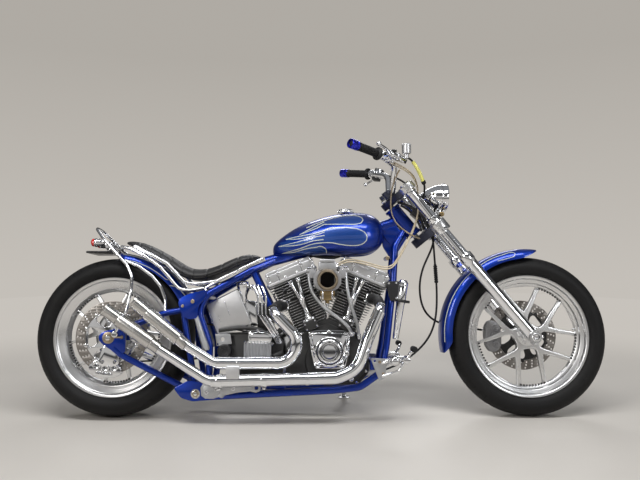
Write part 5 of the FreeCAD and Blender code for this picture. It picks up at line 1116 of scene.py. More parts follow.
def cam_side():
    """The chrome cam cover, its round timing cover, tappet blocks and pushrod tubes."""
    cover = Piece("cam_cover_chrome", "chrome")
    outline = [(-79, 122), (-40, 128), (74, 127), (92, 112), (90, 50), (70, -26), (-52, -28), (-72, 60)]
    cover.side([(CRANK.x + x, CRANK.z + z) for x, z in outline], -101, -76, 18, 4)
    inner = [(CRANK.x + x * 0.86 + 1, CRANK.z + (z - 49) * 0.86 + 49) for x, z in outline]
    cover.side(inner, -106, -97, 22, 5)
    timing = wheel_place(Vector((CRANK.x + 7, -100, CRANK.z + 42)))
    cover.add(turned([(0, 68), (2, 66), (5, 61), (6, 59), (6, 57)], 72), timing)
    cover.add(turned([(2, 58.6), (8, 58.6), (11, 58), (12, 56.5), (12, 53.6), (10, 53), (4, 52.4)], 72), timing)
    cover.add(turned([(4, 0), (4, 49.4), (14, 49), (17, 46), (18, 43), (17, 32), (15.6, 31), (15.6, 28), (18.4, 25),
                      (19, 15), (19, 0)], 72), timing)
    for i in range(5):
        x, z = polar(38, 90 + 72 * i)
        cover.use("plastic").bolt(Vector((CRANK.x + 7 + x, -117.2, CRANK.z + 42 + z)), RIGHT, 3.6, 1.6)
    cover.use("chrome")
    for x, z in ((-64, 106), (72, 108), (78, 34), (56, -14), (-40, -14), (-60, 52), (6, 118)):
        at = Vector((CRANK.x + x, -101, CRANK.z + z))
        cover.lathe([(0, 0), (0, 10), (3, 9.6), (4, 8), (4, 0)], at, RIGHT, 24, 0.4)
        cover.bolt(at + SIDE * 4, RIGHT, 5, 3)
    cover.use("black")
    for x, lean in ((-68, -24), (74, 26)):
        place = moved(CRANK.x + x, -97, CRANK.z + 149) @ rolled(lean, "Y")
        cover.add(brick((56, 28, 40), 5, 3), place)
        for side in BOTH:
            cover.use("chrome").add(turned([(0, 14), (8, 14), (10, 10), (10, 0)], 24, 0.6),
                                    place @ moved(14 * side, 0, 20))
            cover.bolt(place @ Vector((22 * side, -14, 10)), RIGHT, 4)
            cover.bolt(place @ Vector((22 * side, -14, -12)), RIGHT, 4)
            cover.use("black")
    lines = (((-62, 165), (-154, 325)), ((-78, 165), (-122, 339)), ((71, 165), (148, 329)), ((78, 165), (120, 339)))
    cover.use("chrome")
    for low, high in lines:
        a = Vector((CRANK.x + low[0], -98, CRANK.z + low[1]))
        b = Vector((CRANK.x + high[0], -98, CRANK.z + high[1]))
        reach = (b - a).length
        tube = [(0, 11), (14, 11), (16, 8.6), (reach * 0.5, 8.6), (reach * 0.5, 9.6), (reach * 0.53, 9.6),
                (reach * 0.53, 6.8), (reach - 18, 6.8), (reach - 16, 10), (reach, 10), (reach, 0)]
        cover.lathe([(0, 0)] + tube, a, b - a, 24, 0.5)
    cover.use("plastic")
    cover.add(turned([(3, 49), (9, 49), (9, 53), (3, 53)], 72, loop=True), timing)
    cover.done("frame", ["cam_cover"], "chrome")


def carburettor():
    """The open intake mouth, its body and top, and the bowl underneath."""
    x, z = CRANK.x - 1, CRANK.z + 329
    carb = Piece("carburettor_body", "case")
    mouth = wheel_place(Vector((x, 0, z)))
    carb.add(sheet([(oblong(31, 34), False), (circle(30.5, 48), False)], 56, 3), mouth @ moved(0, 0, 112))
    carb.use("cast")
    flange = [(-56, -16), (-40, -36), (-24, -44), (24, -44), (40, -36), (56, -16), (56, 16), (40, 36), (24, 44),
              (-24, 44), (-40, 36), (-56, 16)]
    carb.add(sheet([(flange, False), (circle(33, 48), False)], 9, 1.4), mouth @ moved(0, 0, 144))
    for side in BOTH:
        carb.add(slab([(-14, -9), (14, -9), (18, 26), (-10, 30)], 12, 7, 2),
                 mouth @ moved(58 if side > 0 else -62, 16, 138))
    carb.use("case")
    carb.add(brick((72, 44, 36), 5, 3), moved(x, -130, z + 56))
    carb.add(brick((60, 40, 12), 3, 2), moved(x, -136, z + 78))
    carb.use("bronze")
    ring = [(140, 31), (177, 31.5), (179, 33.5), (178.6, 38), (175, 41.5), (168, 43), (158, 42), (148, 40), (140, 41),
            (138, 41)]
    carb.add(turned(ring, 72, loop=True), mouth)
    carb.use("brass")
    carb.add(brick((60, 54, 20), 4, 3), moved(x, -120, z - 52))
    carb.add(brick((50, 50, 24), 6, 3), moved(x, -118, z - 70))
    for side in BOTH:
        for k in BOTH:
            carb.rod((x + 24 * side, -120 + 20 * k, z - 42), (x + 24 * side, -120 + 20 * k, z - 66), 3.4)
    carb.lathe([(0, 0), (0, 12), (10, 12), (12, 9), (22, 9), (22, 0)], (x, -118, z - 72), (0, 0, -1), 24, 0.6)
    carb.use("chrome")
    for side in BOTH:
        carb.rod((x + 19 * side, -144, z - 44), (x + 19 * side, -144, z - 78), 4)
        carb.bolt(Vector((x + 20 * side, -143, z - 54)), RIGHT, 4)
        carb.bolt(Vector((x + 38 * side, -146, z)), RIGHT, 5.5)
        carb.bolt(Vector((x + 28 * side, -150, z + 44)), RIGHT, 4)
    carb.add(turned([(0, 0), (0, 33), (4, 34), (16, 34), (22, 30), (28, 12), (33, 12), (33, 0)], 40, 0.8),
             moved(x, -118, z + 33))
    carb.rod((x, -118, z - 90), (x, -118, z - 148), 5, 3)
    carb.add(ball(8), moved(x, -118, z - 96))
    carb.rod((x + 34, -128, z + 24), (x + 58, -128, z + 36), 5)
    carb.add(bent([(x - 36, -120, z + 6), (x - 52, -124, z + 6), (x - 52, -124, z - 26), (x - 36, -124, z - 40)], 4, 8,
                  4, 3))
    carb.use("rubber")
    carb.add(turned([(112, 0), (112, 30), (150, 30.8), (176, 31.2)], 64), mouth)
    carb.use("case")
    carb.add(hose([(x, -88, z - 8), (x, -66, z - 14), (x, -42, z - 38), (x, -20, z - 40)], 23, 8, 6))
    carb.add(hose([(x - 62, -6, z - 48), (x - 20, -14, z - 40), (x + 20, -14, z - 40), (x + 62, -6, z - 48)], 21, 8, 6))
    for side in BOTH:
        carb.lathe([(-5, 20), (-5, 26), (5, 26), (5, 20)], (x + 50 * side, -8, z - 46), (side, 0.1, -0.2), 32, 0.6)
    carb.done("frame", ["carburettor"], "chrome")


def breather_hoses():
    """The two braided hoses from the rocker covers, with their end fittings."""
    hoses = Piece("breather_hoses_braided", "braid")
    for route in (
            [(-54, -84, 600), (-54, -122, 580), (-52, -130, 530), (-26, -136, 478), (24, -136, 430), (76, -133, 398),
             (112, -126, 364), (122, -104, 334)],
            [(96, -84, 604), (97, -122, 586), (99, -134, 530), (110, -134, 470), (128, -128, 420), (146, -110, 370),
             (150, -84, 322)]):
        hoses.use("braid").add(hose(route, 6.8, 12, 4))
        a, b = Vector(route[0]), Vector(route[1])
        c, d = Vector(route[-1]), Vector(route[-2])
        hoses.use("chrome")
        hoses.lathe([(0, 0), (0, 12), (6, 12.5), (16, 10), (34, 8.4), (34, 0)], a, b - a, 24, 0.6)
        hoses.lathe([(0, 0), (0, 15), (12, 15), (14, 13), (14, 0)], a + Vector((0, -22, -4)), RIGHT, 6, 0.6)
        hoses.lathe([(0, 0), (0, 9.5), (18, 8.6), (18, 0)], c, d - c, 24, 0.6)
    hoses.done("frame", ["breather_hoses"], "braided_steel")


for end in BOTH:
    make_cylinder(end)
rockers = Piece("rocker_covers", "satin")
for end in BOTH:
    rocker_box(rockers, end)
rockers.done("frame", ["rocker_boxes"], "polished_alloy")
engine_cases()
cam_side()
carburettor()
breather_hoses()

# ---------------------------------------------------------------- tank, with its flames


TANK_ROWS = ((-206, 668, 700, 14), (-196, 664, 716, 34), (-172, 661, 739, 56), (-110, 659, 783, 90),
             (-30, 658, 817, 119), (60, 657, 841, 135), (140, 658, 849.5, 138), (200, 661, 844, 127),
             (240, 684, 823, 99), (256, 712, 796, 62), (260, 730, 778, 34))
TANK_RING = ((0.18, 0.0), (0.18, 0.24), (0.01, 0.3), (0.02, 0.52), (0.08, 0.78), (0.2, 0.95), (0.4, 1.0), (0.62, 0.95),
             (0.8, 0.77), (0.93, 0.48), (0.995, 0.18), (1.0, 0.0))


def lofted(rows, shares):
    """A closed skin over rings that stand across the machine: x, bottom, top, half width."""
    bm = bmesh.new()
    rings = []
    for x, low, high, half in rows:
        right = [(-half * b, low + (high - low) * a) for a, b in shares]
        left = [(-y, z) for y, z in reversed(right[1:-1])]
        points = [bm.verts.new((x, y, z)) for y, z in right + left]
        rings.append((points, [bm.edges.new((a, b)) for a, b in zip(points, points[1:] + points[:1])]))
    for (_, first), (_, second) in zip(rings, rings[1:]):
        bmesh.ops.bridge_loops(bm, edges=first + second)
    for points, _ in (rings[0], rings[-1]):
        bm.faces.new(points)
    return fresh(bm)


def smoothed(bm, levels):
    """The shape after subdivision."""
    mesh = bpy.data.meshes.new("smooth")
    bm.to_mesh(mesh)
    holder = shown("smooth", mesh)
    rounder = holder.modifiers.new("round", "SUBSURF")
    rounder.levels = rounder.render_levels = levels
    fine = bpy.data.meshes.new_from_object(evaluated(holder))
    made = bmesh.new()
    made.from_mesh(fine)
    bpy.data.objects.remove(holder)
    bpy.data.meshes.remove(mesh)
    bpy.data.meshes.remove(fine)
    return made


def laid_on(tree, x, z, side, proud):
    """Where a side-view point lands on a surface, seen from the left (1) or the right (-1)."""
    hit, normal, _, _ = tree.ray_cast(Vector((x, 400 * side, z)), Vector((0, -side, 0)))
    if hit is None:
        hit, normal, _, _ = tree.find_nearest(Vector((x, 60 * side, z)))
    if normal.y * side < 0:
        normal = -normal
    return hit + normal * proud


def painted_line(piece, tree, points, width, swell=None):
    """A pinstripe: a line drawn in the side view and laid on both flanks."""
    for side in BOTH:
        bm = stroke([(x, 0, z) for x, z in points], width / 2, 10, 1, swell)
        for vert in bm.verts:
            vert.co = laid_on(tree, vert.co.x, vert.co.z, side, 0.3 - vert.co.y * 0.16 * side)
        bmesh.ops.recalc_face_normals(bm, faces=bm.faces)
        piece.add(bm)


def painted_field(piece, tree, outline):
    """A painted area: a flat outline cut small and laid on both flanks."""
    pitch = 10.0
    for side in BOTH:
        bm = sheet([(outline, True)], 1.0, 0.3, 0)
        for axis in (0, 1):
            values = [v.co[axis] for v in bm.verts]
            normal = Vector((1 - axis, axis, 0))
            for k in range(1, int((max(values) - min(values)) / pitch) + 1):
                bmesh.ops.bisect_plane(bm, geom=bm.verts[:] + bm.edges[:] + bm.faces[:], dist=0.0001,
                                       plane_co=normal * (min(values) + pitch * k + 0.11), plane_no=normal)
        for vert in bm.verts:
            vert.co = laid_on(tree, vert.co.x, vert.co.y, side, 0.1 + 0.16 * vert.co.z)
        bmesh.ops.recalc_face_normals(bm, faces=bm.faces)
        piece.add(bm)


TANK_LOOPS = (
    [(-64, 774), (-36, 787), (-4, 799), (28, 810), (66, 821), (105, 827), (141, 826), (158, 821), (169, 810),
     (165, 796), (151, 788), (84, 786), (10, 787)],
    [(10, 760), (34, 770), (66, 771), (119, 769), (154, 762), (179, 746), (184, 729), (175, 711), (154, 700),
     (118, 697), (73, 702), (34, 709), (1, 709)],
    [(-19, 693), (-8, 695), (6, 691), (17, 681), (19, 668)])
TANK_TAILS = (
    [(10, 787), (-22, 771), (-50, 760), (-92, 746)], [(-92, 746), (-64, 760), (-36, 775), (10, 798)],
    [(10, 760), (-22, 750), (-92, 739), (-151, 728)], [(-151, 728), (-92, 728), (-36, 739), (10, 752)],
    [(10, 739), (-36, 732), (-92, 717), (-181, 699)], [(-181, 699), (-92, 703), (-36, 717), (6, 722)],
    [(1, 709), (-36, 705), (-92, 687), (-165, 670)], [(-165, 670), (-117, 674), (-64, 686), (-19, 692)])
TANK_FIELDS = (
    [(-92, 746), (-64, 761), (-36, 777), (-4, 792), (28, 804), (66, 816), (105, 823), (141, 823), (158, 818),
     (166, 809), (162, 797), (150, 790), (84, 788), (10, 788), (-22, 772), (-50, 761)],
    [(-151, 728), (-92, 738), (-22, 749), (10, 758), (34, 768), (66, 769), (119, 767), (154, 760), (177, 745),
     (182, 729), (173, 713), (153, 702), (118, 699), (73, 704), (34, 710), (0, 711), (-36, 717), (-92, 704),
     (-181, 699), (-92, 716), (-36, 731), (4, 740), (6, 748), (-36, 738), (-92, 729)],
    [(-165, 670), (-92, 686), (-36, 703), (0, 707), (-20, 698), (6, 690), (16, 681), (18, 670), (-60, 664)])


def fuel_tank():
    """The tank, the flames and pinstripes laid on it, and its cap."""
    skin = smoothed(lofted(TANK_ROWS, TANK_RING), 3)
    tree = BVHTree.FromBMesh(skin)
    tank = Piece("fuel_tank_blue", "blue")
    tank.add(skin)
    tank.done("frame", ["fuel_tank"], "blue_paint", 40)
    art = Piece("tank_pinstripes", "flame")
    for field in TANK_FIELDS:
        painted_field(art, tree, field)
    art.use("stripe")
    for line in TANK_LOOPS:
        painted_line(art, tree, line, 4.0)
    for line in TANK_TAILS:
        thin = [1.0, 0.95, 0.9, 0.5]
        painted_line(art, tree, line, 4.4, swell=thin if line[0][0] > line[-1][0] else thin[::-1])
    art.done("frame", (), "blue_paint", 60)
    cap = Piece("tank_cap", "chrome")
    cap.add(turned([(0, 0), (0, 36), (2, 37), (4, 34), (5, 33), (11, 33), (15, 30), (17, 24), (18, 14), (18.5, 0)],
                   64, 0.6), moved(104, 0, 845))
    for turn in range(0, 360, 15):
        x, y = polar(33, turn)
        cap.rod((104 + x, y, 849), (104 + x, y, 855), 2.0, steps=8)
    cap.use("black").add(turned([(0, 0), (0, 6), (2, 6), (4, 4.5), (5, 0)], 24, 0.3), moved(104, 0, 861))
    cap.done("frame")


def guard(name, hub, radius, depth, half, corner, first, last, sweeps):
    """A wheel guard: a rounded channel turned part of a circle, its skirts swept up to both ends."""
    bm = bmesh.new()
    arc = [(half - corner + corner * math.sin(math.radians(a)), radius - corner + corner * math.cos(math.radians(a)))
           for a in range(0, 91, 15)]
    right = [(0.0, radius + 0.8), (half * 0.25, radius + 0.5)] + arc + [(half, radius - depth)]
    line = [(-y, r) for y, r in reversed(right[1:])] + right
    turn = rolled(-first, "Y")
    points = [bm.verts.new(turn @ Vector((r, y, 0))) for y, r in line]
    for a, b in zip(points, points[1:]):
        bm.edges.new((a, b))
    bmesh.ops.spin(bm, geom=bm.verts[:] + bm.edges[:], cent=(0, 0, 0), axis=(0, -1, 0), dvec=(0, 0, 0),
                   angle=math.radians(last - first), steps=64, use_duplicate=False)
    for vert in bm.verts:
        x, y, z = vert.co
        angle = math.degrees(math.atan2(z, x)) % 360
        r = math.hypot(x, z)
        for near, (span, keep) in ((angle - first, sweeps[0]), (last - angle, sweeps[1])):
            if span and near < span:
                share = max(near, 0) / span
                held = keep + (1 - keep) * math.sin(share * math.pi / 2) ** 0.9
                rise = radius - (radius - r) * held
                vert.co = Vector((x * rise / r, y * (0.72 + 0.28 * min(1, share * 1.4) ** 0.5) if keep < 0.9 else y,
                                  z * rise / r))
    fresh(bm)
    if sum(f.normal.dot(f.calc_center_median()) for f in bm.faces) < 0:
        bmesh.ops.reverse_faces(bm, faces=bm.faces)
    skin = bm.copy()
    bmesh.ops.translate(skin, vec=hub, verts=skin.verts)
    tree = BVHTree.FromBMesh(skin)
    skin.free()
    bmesh.ops.solidify(bm, geom=bm.faces[:], thickness=2.6)
    fresh(bm)
    soften(bm, 0.9, 60)
    piece = Piece(name, "blue")
    piece.add(bm, Matrix.Translation(hub))
    return piece, tree


def at_angle(hub, radius, degrees):
    x, z = polar(radius, degrees)
    return hub.x + x, hub.z + z


def fenders():
    """Both fenders with their pinstripes."""
    front, tree = guard("front_fender_blue", FRONT_HUB, 362, 42, 67.5, 41, 83, 191, ((14, 0.2), (9, 0.15)))
    for side in BOTH:
        along = FRONT_HUB + UP * 320
        front.rod((along.x, 66 * side, along.z), (along.x, 82 * side, along.z), 11)
        front.use("chrome").bolt((along.x, 60 * side, along.z), (0, -side, 0), 8).use("blue")
    front.done("fork", ["front_fender"], "blue_paint", 45)
    art = Piece("front_fender_stripes", "stripe")
    painted_line(art, tree, [at_angle(FRONT_HUB, 351, 104 + 80 * i / 8) for i in range(9)], 3.0)
    painted_line(art, tree, [at_angle(FRONT_HUB, r, a) for r, a in
                             ((351, 104), (352, 101), (346, 98.5), (336, 99), (331, 103), (333, 112))], 3.0)
    art.done("fork", (), "blue_paint", 60)
    rear, tree = guard("rear_fender_blue", REAR_HUB, 345.2, 36, 100.5, 33, 26, 88, ((0, 1), (8, 0.5)))
    rear.done("frame", ["rear_fender"], "blue_paint", 45)
    art = Piece("rear_fender_stripes", "stripe")
    painted_line(art, tree, [at_angle(REAR_HUB, 340, 84 - 34 * i / 8) for i in range(9)], 3.4)
    painted_line(art, tree, [at_angle(REAR_HUB, 318, 84 - 34 * i / 8) for i in range(9)], 3.4)
    painted_line(art, tree, [at_angle(REAR_HUB, r, a) for r, a in
                             ((340, 50), (338, 47), (330, 45.6), (321, 46.6), (318, 50))], 3.4)
    painted_line(art, tree, [at_angle(REAR_HUB, r, a) for r, a in ((312, 42), (322, 40), (332, 36), (339, 30))], 3.4)
    art.done("frame", (), "blue_paint", 60)


# ---------------------------------------------------------------- seat


SEAT_ROWS = ((-826, 713, 723, 30), (-812, 706, 727, 56), (-778, 692, 722, 80), (-732, 669, 709, 92),
             (-687, 644, 687, 98), (-641, 613, 662, 101), (-592, 576, 630, 103), (-545, 555, 603, 109),
             (-478, 558, 601, 122), (-416, 581, 623, 131), (-348, 607, 658, 127), (-300, 631, 667, 106),
             (-262, 647, 664, 66), (-254, 652, 660, 40))
SEAT_RING = ((0.0, 0.0), (0.0, 0.5), (0.04, 0.84), (0.26, 0.98), (0.52, 0.99), (0.76, 0.9), (0.92, 0.68), (0.99, 0.36),
             (1.0, 0.0))
SEAT_PANELS = (-760, -716, -672, -628, -584, -538, -480, -418, -352, -298)


def puffed(bm, name, voxel, pressure, cap, fixed):
    """Stuffs a closed skin: it swells as cloth does under pressure, by no more than the cap."""
    mesh = bpy.data.meshes.new(name)
    bmesh.ops.scale(bm, vec=(0.001, 0.001, 0.001), verts=bm.verts)
    bm.to_mesh(mesh)
    bm.free()
    holder = shown(name, mesh)
    scene = bpy.context.scene
    grid = holder.modifiers.new("grid", "REMESH")
    grid.mode = "VOXEL"
    grid.voxel_size = voxel
    grid.use_smooth_shade = True
    base = bpy.data.meshes.new_from_object(evaluated(holder))
    holder.modifiers.clear()
    holder.data = base
    start = [v.co.copy() for v in base.vertices]
    held = holder.vertex_groups.new(name="held")
    held.add([i for i, at in enumerate(start) if fixed(at)], 1.0, "REPLACE")
    cloth = holder.modifiers.new("cloth", "CLOTH")
    cloth.settings.vertex_group_mass = "held"
    cloth.settings.use_pressure = True
    cloth.settings.uniform_pressure_force = pressure
    cloth.settings.effector_weights.gravity = 0
    cloth.settings.tension_stiffness = cloth.settings.compression_stiffness = 18
    cloth.collision_settings.use_collision = False
    for step in range(1, 21):
        scene.frame_set(step)
    soft = evaluated(holder).data
    ends = [v.co.copy() for v in soft.vertices]
    scene.frame_set(1)
    made = bmesh.new()
    made.from_mesh(base)
    made.verts.ensure_lookup_table()
    for vert, a, b in zip(made.verts, start, ends):
        move = b - a
        vert.co = a + move * min(1.0, cap / max(move.length, 1e-9))
    bpy.data.objects.remove(holder)
    bpy.data.meshes.remove(mesh)
    bpy.data.meshes.remove(base)
    bmesh.ops.scale(made, vec=(1000, 1000, 1000), verts=made.verts)
    return made


def seat_line(x):
    """Bottom, top and half width of the seat at one place along it."""
    for a, b in zip(SEAT_ROWS, SEAT_ROWS[1:]):
        if a[0] <= x <= b[0]:
            share = (x - a[0]) / (b[0] - a[0])
            return [p + (q - p) * share for p, q in zip(a[1:], b[1:])]
    return SEAT_ROWS[0][1:] if x < SEAT_ROWS[0][0] else SEAT_ROWS[-1][1:]


def seat():
    """The padded seat: its form swells as cloth does, and its seams are pressed in."""
    rows = [(x, low, high - 3, half - 3) for x, low, high, half in SEAT_ROWS]
    bm = smoothed(lofted(rows, SEAT_RING), 2)
    pad = puffed(bm, "seat_skin", 0.005, 4.0, 0.005, lambda at: at.z < seat_line(at.x * 1000)[0] / 1000 + 0.004)
    pad = smoothed(pad, 1)
    for vert in pad.verts:
        x, y, z = vert.co
        low, high, half = seat_line(x)
        dent = sum(2.6 * math.exp(-((x - at - abs(y) * 0.08) / 3.0) ** 2) for at in SEAT_PANELS)
        if half > 60:
            dent += 2.4 * math.exp(-((abs(y) - half * 0.62) / 3.0) ** 2) * (z > low + (high - low) * 0.5)
            dent += 1.8 * math.exp(-((z - low - (high - low) * 0.3) / 2.2) ** 2)
        vert.co -= vert.normal * min(dent, 3.2) * (z > low + 4)
    piece = Piece("seat_leather", "leather")
    piece.add(pad)
    cushion = piece.done("frame", ["seat"], "seat_leather", 80)


fuel_tank()
fenders()
seat()

# ---------------------------------------------------------------- lamps


def headlamp():
    """The bullet lamp, its bracket and its glass."""
    face = NECK + Vector((185.9, 0, 101.9))
    ahead = Vector((math.cos(math.radians(-4)), 0, math.sin(math.radians(-4))))
    lamp_place = align(face, -ahead)
    shell = Piece("headlamp_chrome", "chrome")
    shell.add(turned([(0, 52), (-2.5, 54), (-3, 56), (0, 58), (6, 58.5), (14, 58), (18, 55.5), (20, 55)], 72),
              lamp_place)
    back = [(20, 55.5), (24, 57), (40, 54.5), (58, 48), (76, 38), (90, 28), (100, 20), (106, 14), (112, 9.5), (117, 8),
            (119, 5), (119, 0)]
    shell.add(turned(back, 72), lamp_place)
    shell.add(turned([(22, 57.5), (24, 58.6), (26, 57.5)], 72), lamp_place)
    shell.add(turned([(1, 50), (8, 48), (22, 38), (32, 22), (36, 8), (36, 0)]), lamp_place)
    up = lamp_place @ Vector((0, 0, 9))
    shell.rod(up + Vector((0, 0, 56)), up + Vector((0, 0, 63)), 5.5)
    shell.bolt(up + Vector((0, 0, 62)), (0, 0, 1), 4)
    shell.use("plastic")
    low = NECK + Vector((147.9, 0, 34))
    shell.lathe([(0, 0), (0, 15), (6, 18), (22, 18), (30, 12), (34, 12), (34, 0)], low, (0.1, 0, 1), 32, 0.8)
    shell.add(bent([NECK + Vector(p) for p in ((83.9, 0, -67.1), (149.9, 0, -3.1), (147.9, 0, 44))], 10, 30))
    shell.use("brass")
    shell.lathe([(0, 0), (0, 10), (12, 10), (14, 7), (14, 0)], low + Vector((14, -18, -4)), RIGHT, 24, 0.6)
    shell.use("chrome")
    shell.nut(low + Vector((0, -16, 8)), RIGHT, 18, 9)
    shell.done("fork", ["headlamp"], "chrome", 30)
    glass = Piece("headlamp_lens", "glass")
    glass.add(turned([(2, 0), (2, 50), (-1, 50.5), (-5, 42), (-8.4, 24), (-9.4, 8), (-9.5, 0)], 64), lamp_place)
    glass.done("fork", ["headlamp_glass"], "clear_glass", 30)


def tail_lamps():
    """Two small lamps on a bracket, and the tray under them."""
    lamps = Piece("tail_lamp_chrome", "chrome")
    x, z = REAR_HUB.x - 92.5, REAR_HUB.z + 390.2
    for side in BOTH:
        at = align((x, 44 * side, z), (1, 0, 0))
        lamps.use("chrome").add(turned([(-4, 13), (-4, 16.5), (-2, 18), (4, 18), (14, 17.5), (28, 14.5), (40, 9.5),
                                        (46, 7.5), (50, 4), (50, 0)], 40), at)
        lamps.use("red").add(turned([(4, 16.6), (-10, 16.6), (-14, 15.4), (-18, 11), (-20, 5), (-20.4, 0)], 40), at)
        lamps.use("chrome").add(turned([(1, 16), (1, 18.4), (6, 18.6), (6, 16)], 40, 0.4), at)
        lamps.use("chrome").bolt((x + 20, 44 * side, z - 17), (0, 0, -1), 4)
    lamps.add(bent([(x + 40, -42, z - 3), (x + 56, -30, z - 4), (x + 62, 0, z - 4), (x + 56, 30, z - 4),
                    (x + 40, 42, z - 3)], 6, 14, sides=4))
    outline = [(x + 42, z - 6), (x + 72, z - 4), (x + 88, z - 38), (x + 60, z - 48)]
    for side in BOTH:
        lamps.side(outline, 66 * side - 2, 66 * side + 2, 5, 0.6)
    lamps.side(outline, -10, 10, 5, 0.8)
    lamps.rod((x + 68, -70, z - 30), (x + 68, 70, z - 30), 5)
    lamps.use("plastic")
    centre = REAR_HUB + Vector((-65.5, 0, 345.2))
    tray = brick((106, 178, 2.6), 0.8)
    lamps.add(tray, Matrix.Translation(centre))
    lamps.add(bent([centre + Vector(p) for p in ((-50, -86, 3), (-50, 86, 3))], 4.4, 4, sides=3))
    for side in BOTH:
        lamps.add(bent([centre + Vector(p) for p in ((-50, 86 * side, 3), (50, 86 * side, 3))], 4.4, 4, sides=3))
    for side in BOTH:
        lamps.use("chrome").bolt(centre + Vector((-30, 60 * side, 1)), (0, 0, 1), 5)
    lamps.done("frame", ["tail_lamps"], "chrome", 30)


# ---------------------------------------------------------------- exhausts


def muffler(piece, points, steps):
    """Stepped shells along a line: (share along, radius) pairs with the seams between them."""
    a, b = Vector(points[0]), Vector(points[-1])
    length = (b - a).length
    outer = [(length * share, r) for share, r in steps]
    bore = [(length, 17.5), (length - 58, 17.5), (length - 58, 0)]
    piece.lathe([(0, 0)] + outer + bore, a, b - a, 64)


def pipe(piece, route, elbow_end, bend, first, last, shell, can):
    """A pipe with its black elbow at the port, its heat shield and its muffler."""
    piece.add(bent(route, PIPE, bend, 12, 8))
    shield = [Vector(p) for p in route[2:last]]
    shield[0], shield[-1] = shield[0].lerp(shield[1], first), shield[-2].lerp(shield[-1], 0.96)
    piece.use("black").add(bent(route[:2] + [elbow_end], ELBOW, 30, 12, 8)).use("chrome")
    piece.add(bent(shield, SHIELD, bend, 12, 8)).use("steel")
    muffler(piece, can, shell)
    piece.use("chrome")


def exhausts():
    """The two pipes with their collars, clamps and mufflers."""
    shell = [(0.0, 20), (0.0, 24), (0.13, 24.4), (0.14, 26), (0.145, 28.6), (0.155, 29), (0.72, 29), (0.735, 28),
             (0.736, 21.4), (0.75, 21.4), (0.752, 24.6), (0.765, 25.2), (0.965, 25.2), (0.97, 26.6), (0.995, 26.6),
             (1.0, 25.6), (1.0, 22)]
    collar = [(0, 20.5), (0, 25), (3, 27), (8, 27), (11, 25), (11, 20.5)]
    rear = Piece("rear_exhaust_chrome", "chrome")
    route = [(-150, -44, 456), (-184, -114, 448), (-200, -177, 432), (-92, -178, 320), (-129, -178, 229),
             (-428, -178, 229), (-537, -190, 298)]
    pipe(rear, route, (-196, -164, 436), 73, 0.2, 6, shell, [(-537, -190, 298), (-749, -190, 470)])
    rear.lathe(collar, (-158, -60, 454), (-0.4, -0.9, -0.1), 40, loop=True)
    for at in ((-330, -178, 229.1), (-180, -178, 229)):
        rear.lathe([(-8, 24), (-8, 26), (8, 26), (8, 24)], at, (1, 0, 0), 40, 0.4)
    rear.use("satin").side([(-378, 216), (-325, 216), (-324, 170), (-377, 170)], -212, -196, 4, 1.6)
    rear.done("frame", ["rear_exhaust"], "chrome", 30)
    front = Piece("front_exhaust_chrome", "chrome")
    route = [(194, -52, 484), (226, -108, 476), (234, -160, 446), (176, -176, 318), (136, -182, 205), (54, -184, 172),
             (-165, -186, 165), (-448, -188, 160), (-645, -190, 284)]
    pipe(front, route, (232, -148, 454), 95, 0.12, 8, shell, [(-645, -190, 286), (-863, -190, 440)])
    front.lathe(collar, (199, -60, 483), (0.5, -0.85, -0.1), 40, loop=True)
    for x, y, z in ((-405, -188, 161), (-230, -186, 164)):
        front.lathe([(-11, 24), (-11, 27), (-9, 27.6), (9, 27.6), (11, 27), (11, 24)], (x, y, z), (1, 0, -0.02), 40)
        front.nut((x, y - 4, z - 27), (0, 0, -1), 12, 8)
    front.lathe([(-6, 24), (-6, 26), (6, 26), (6, 24)], (-60, -185, 168.4), (1, 0, -0.03), 40, 0.4)
    front.done("frame", ["front_exhaust"], "chrome", 30)


# ---------------------------------------------------------------- gearbox, primary, oil tank


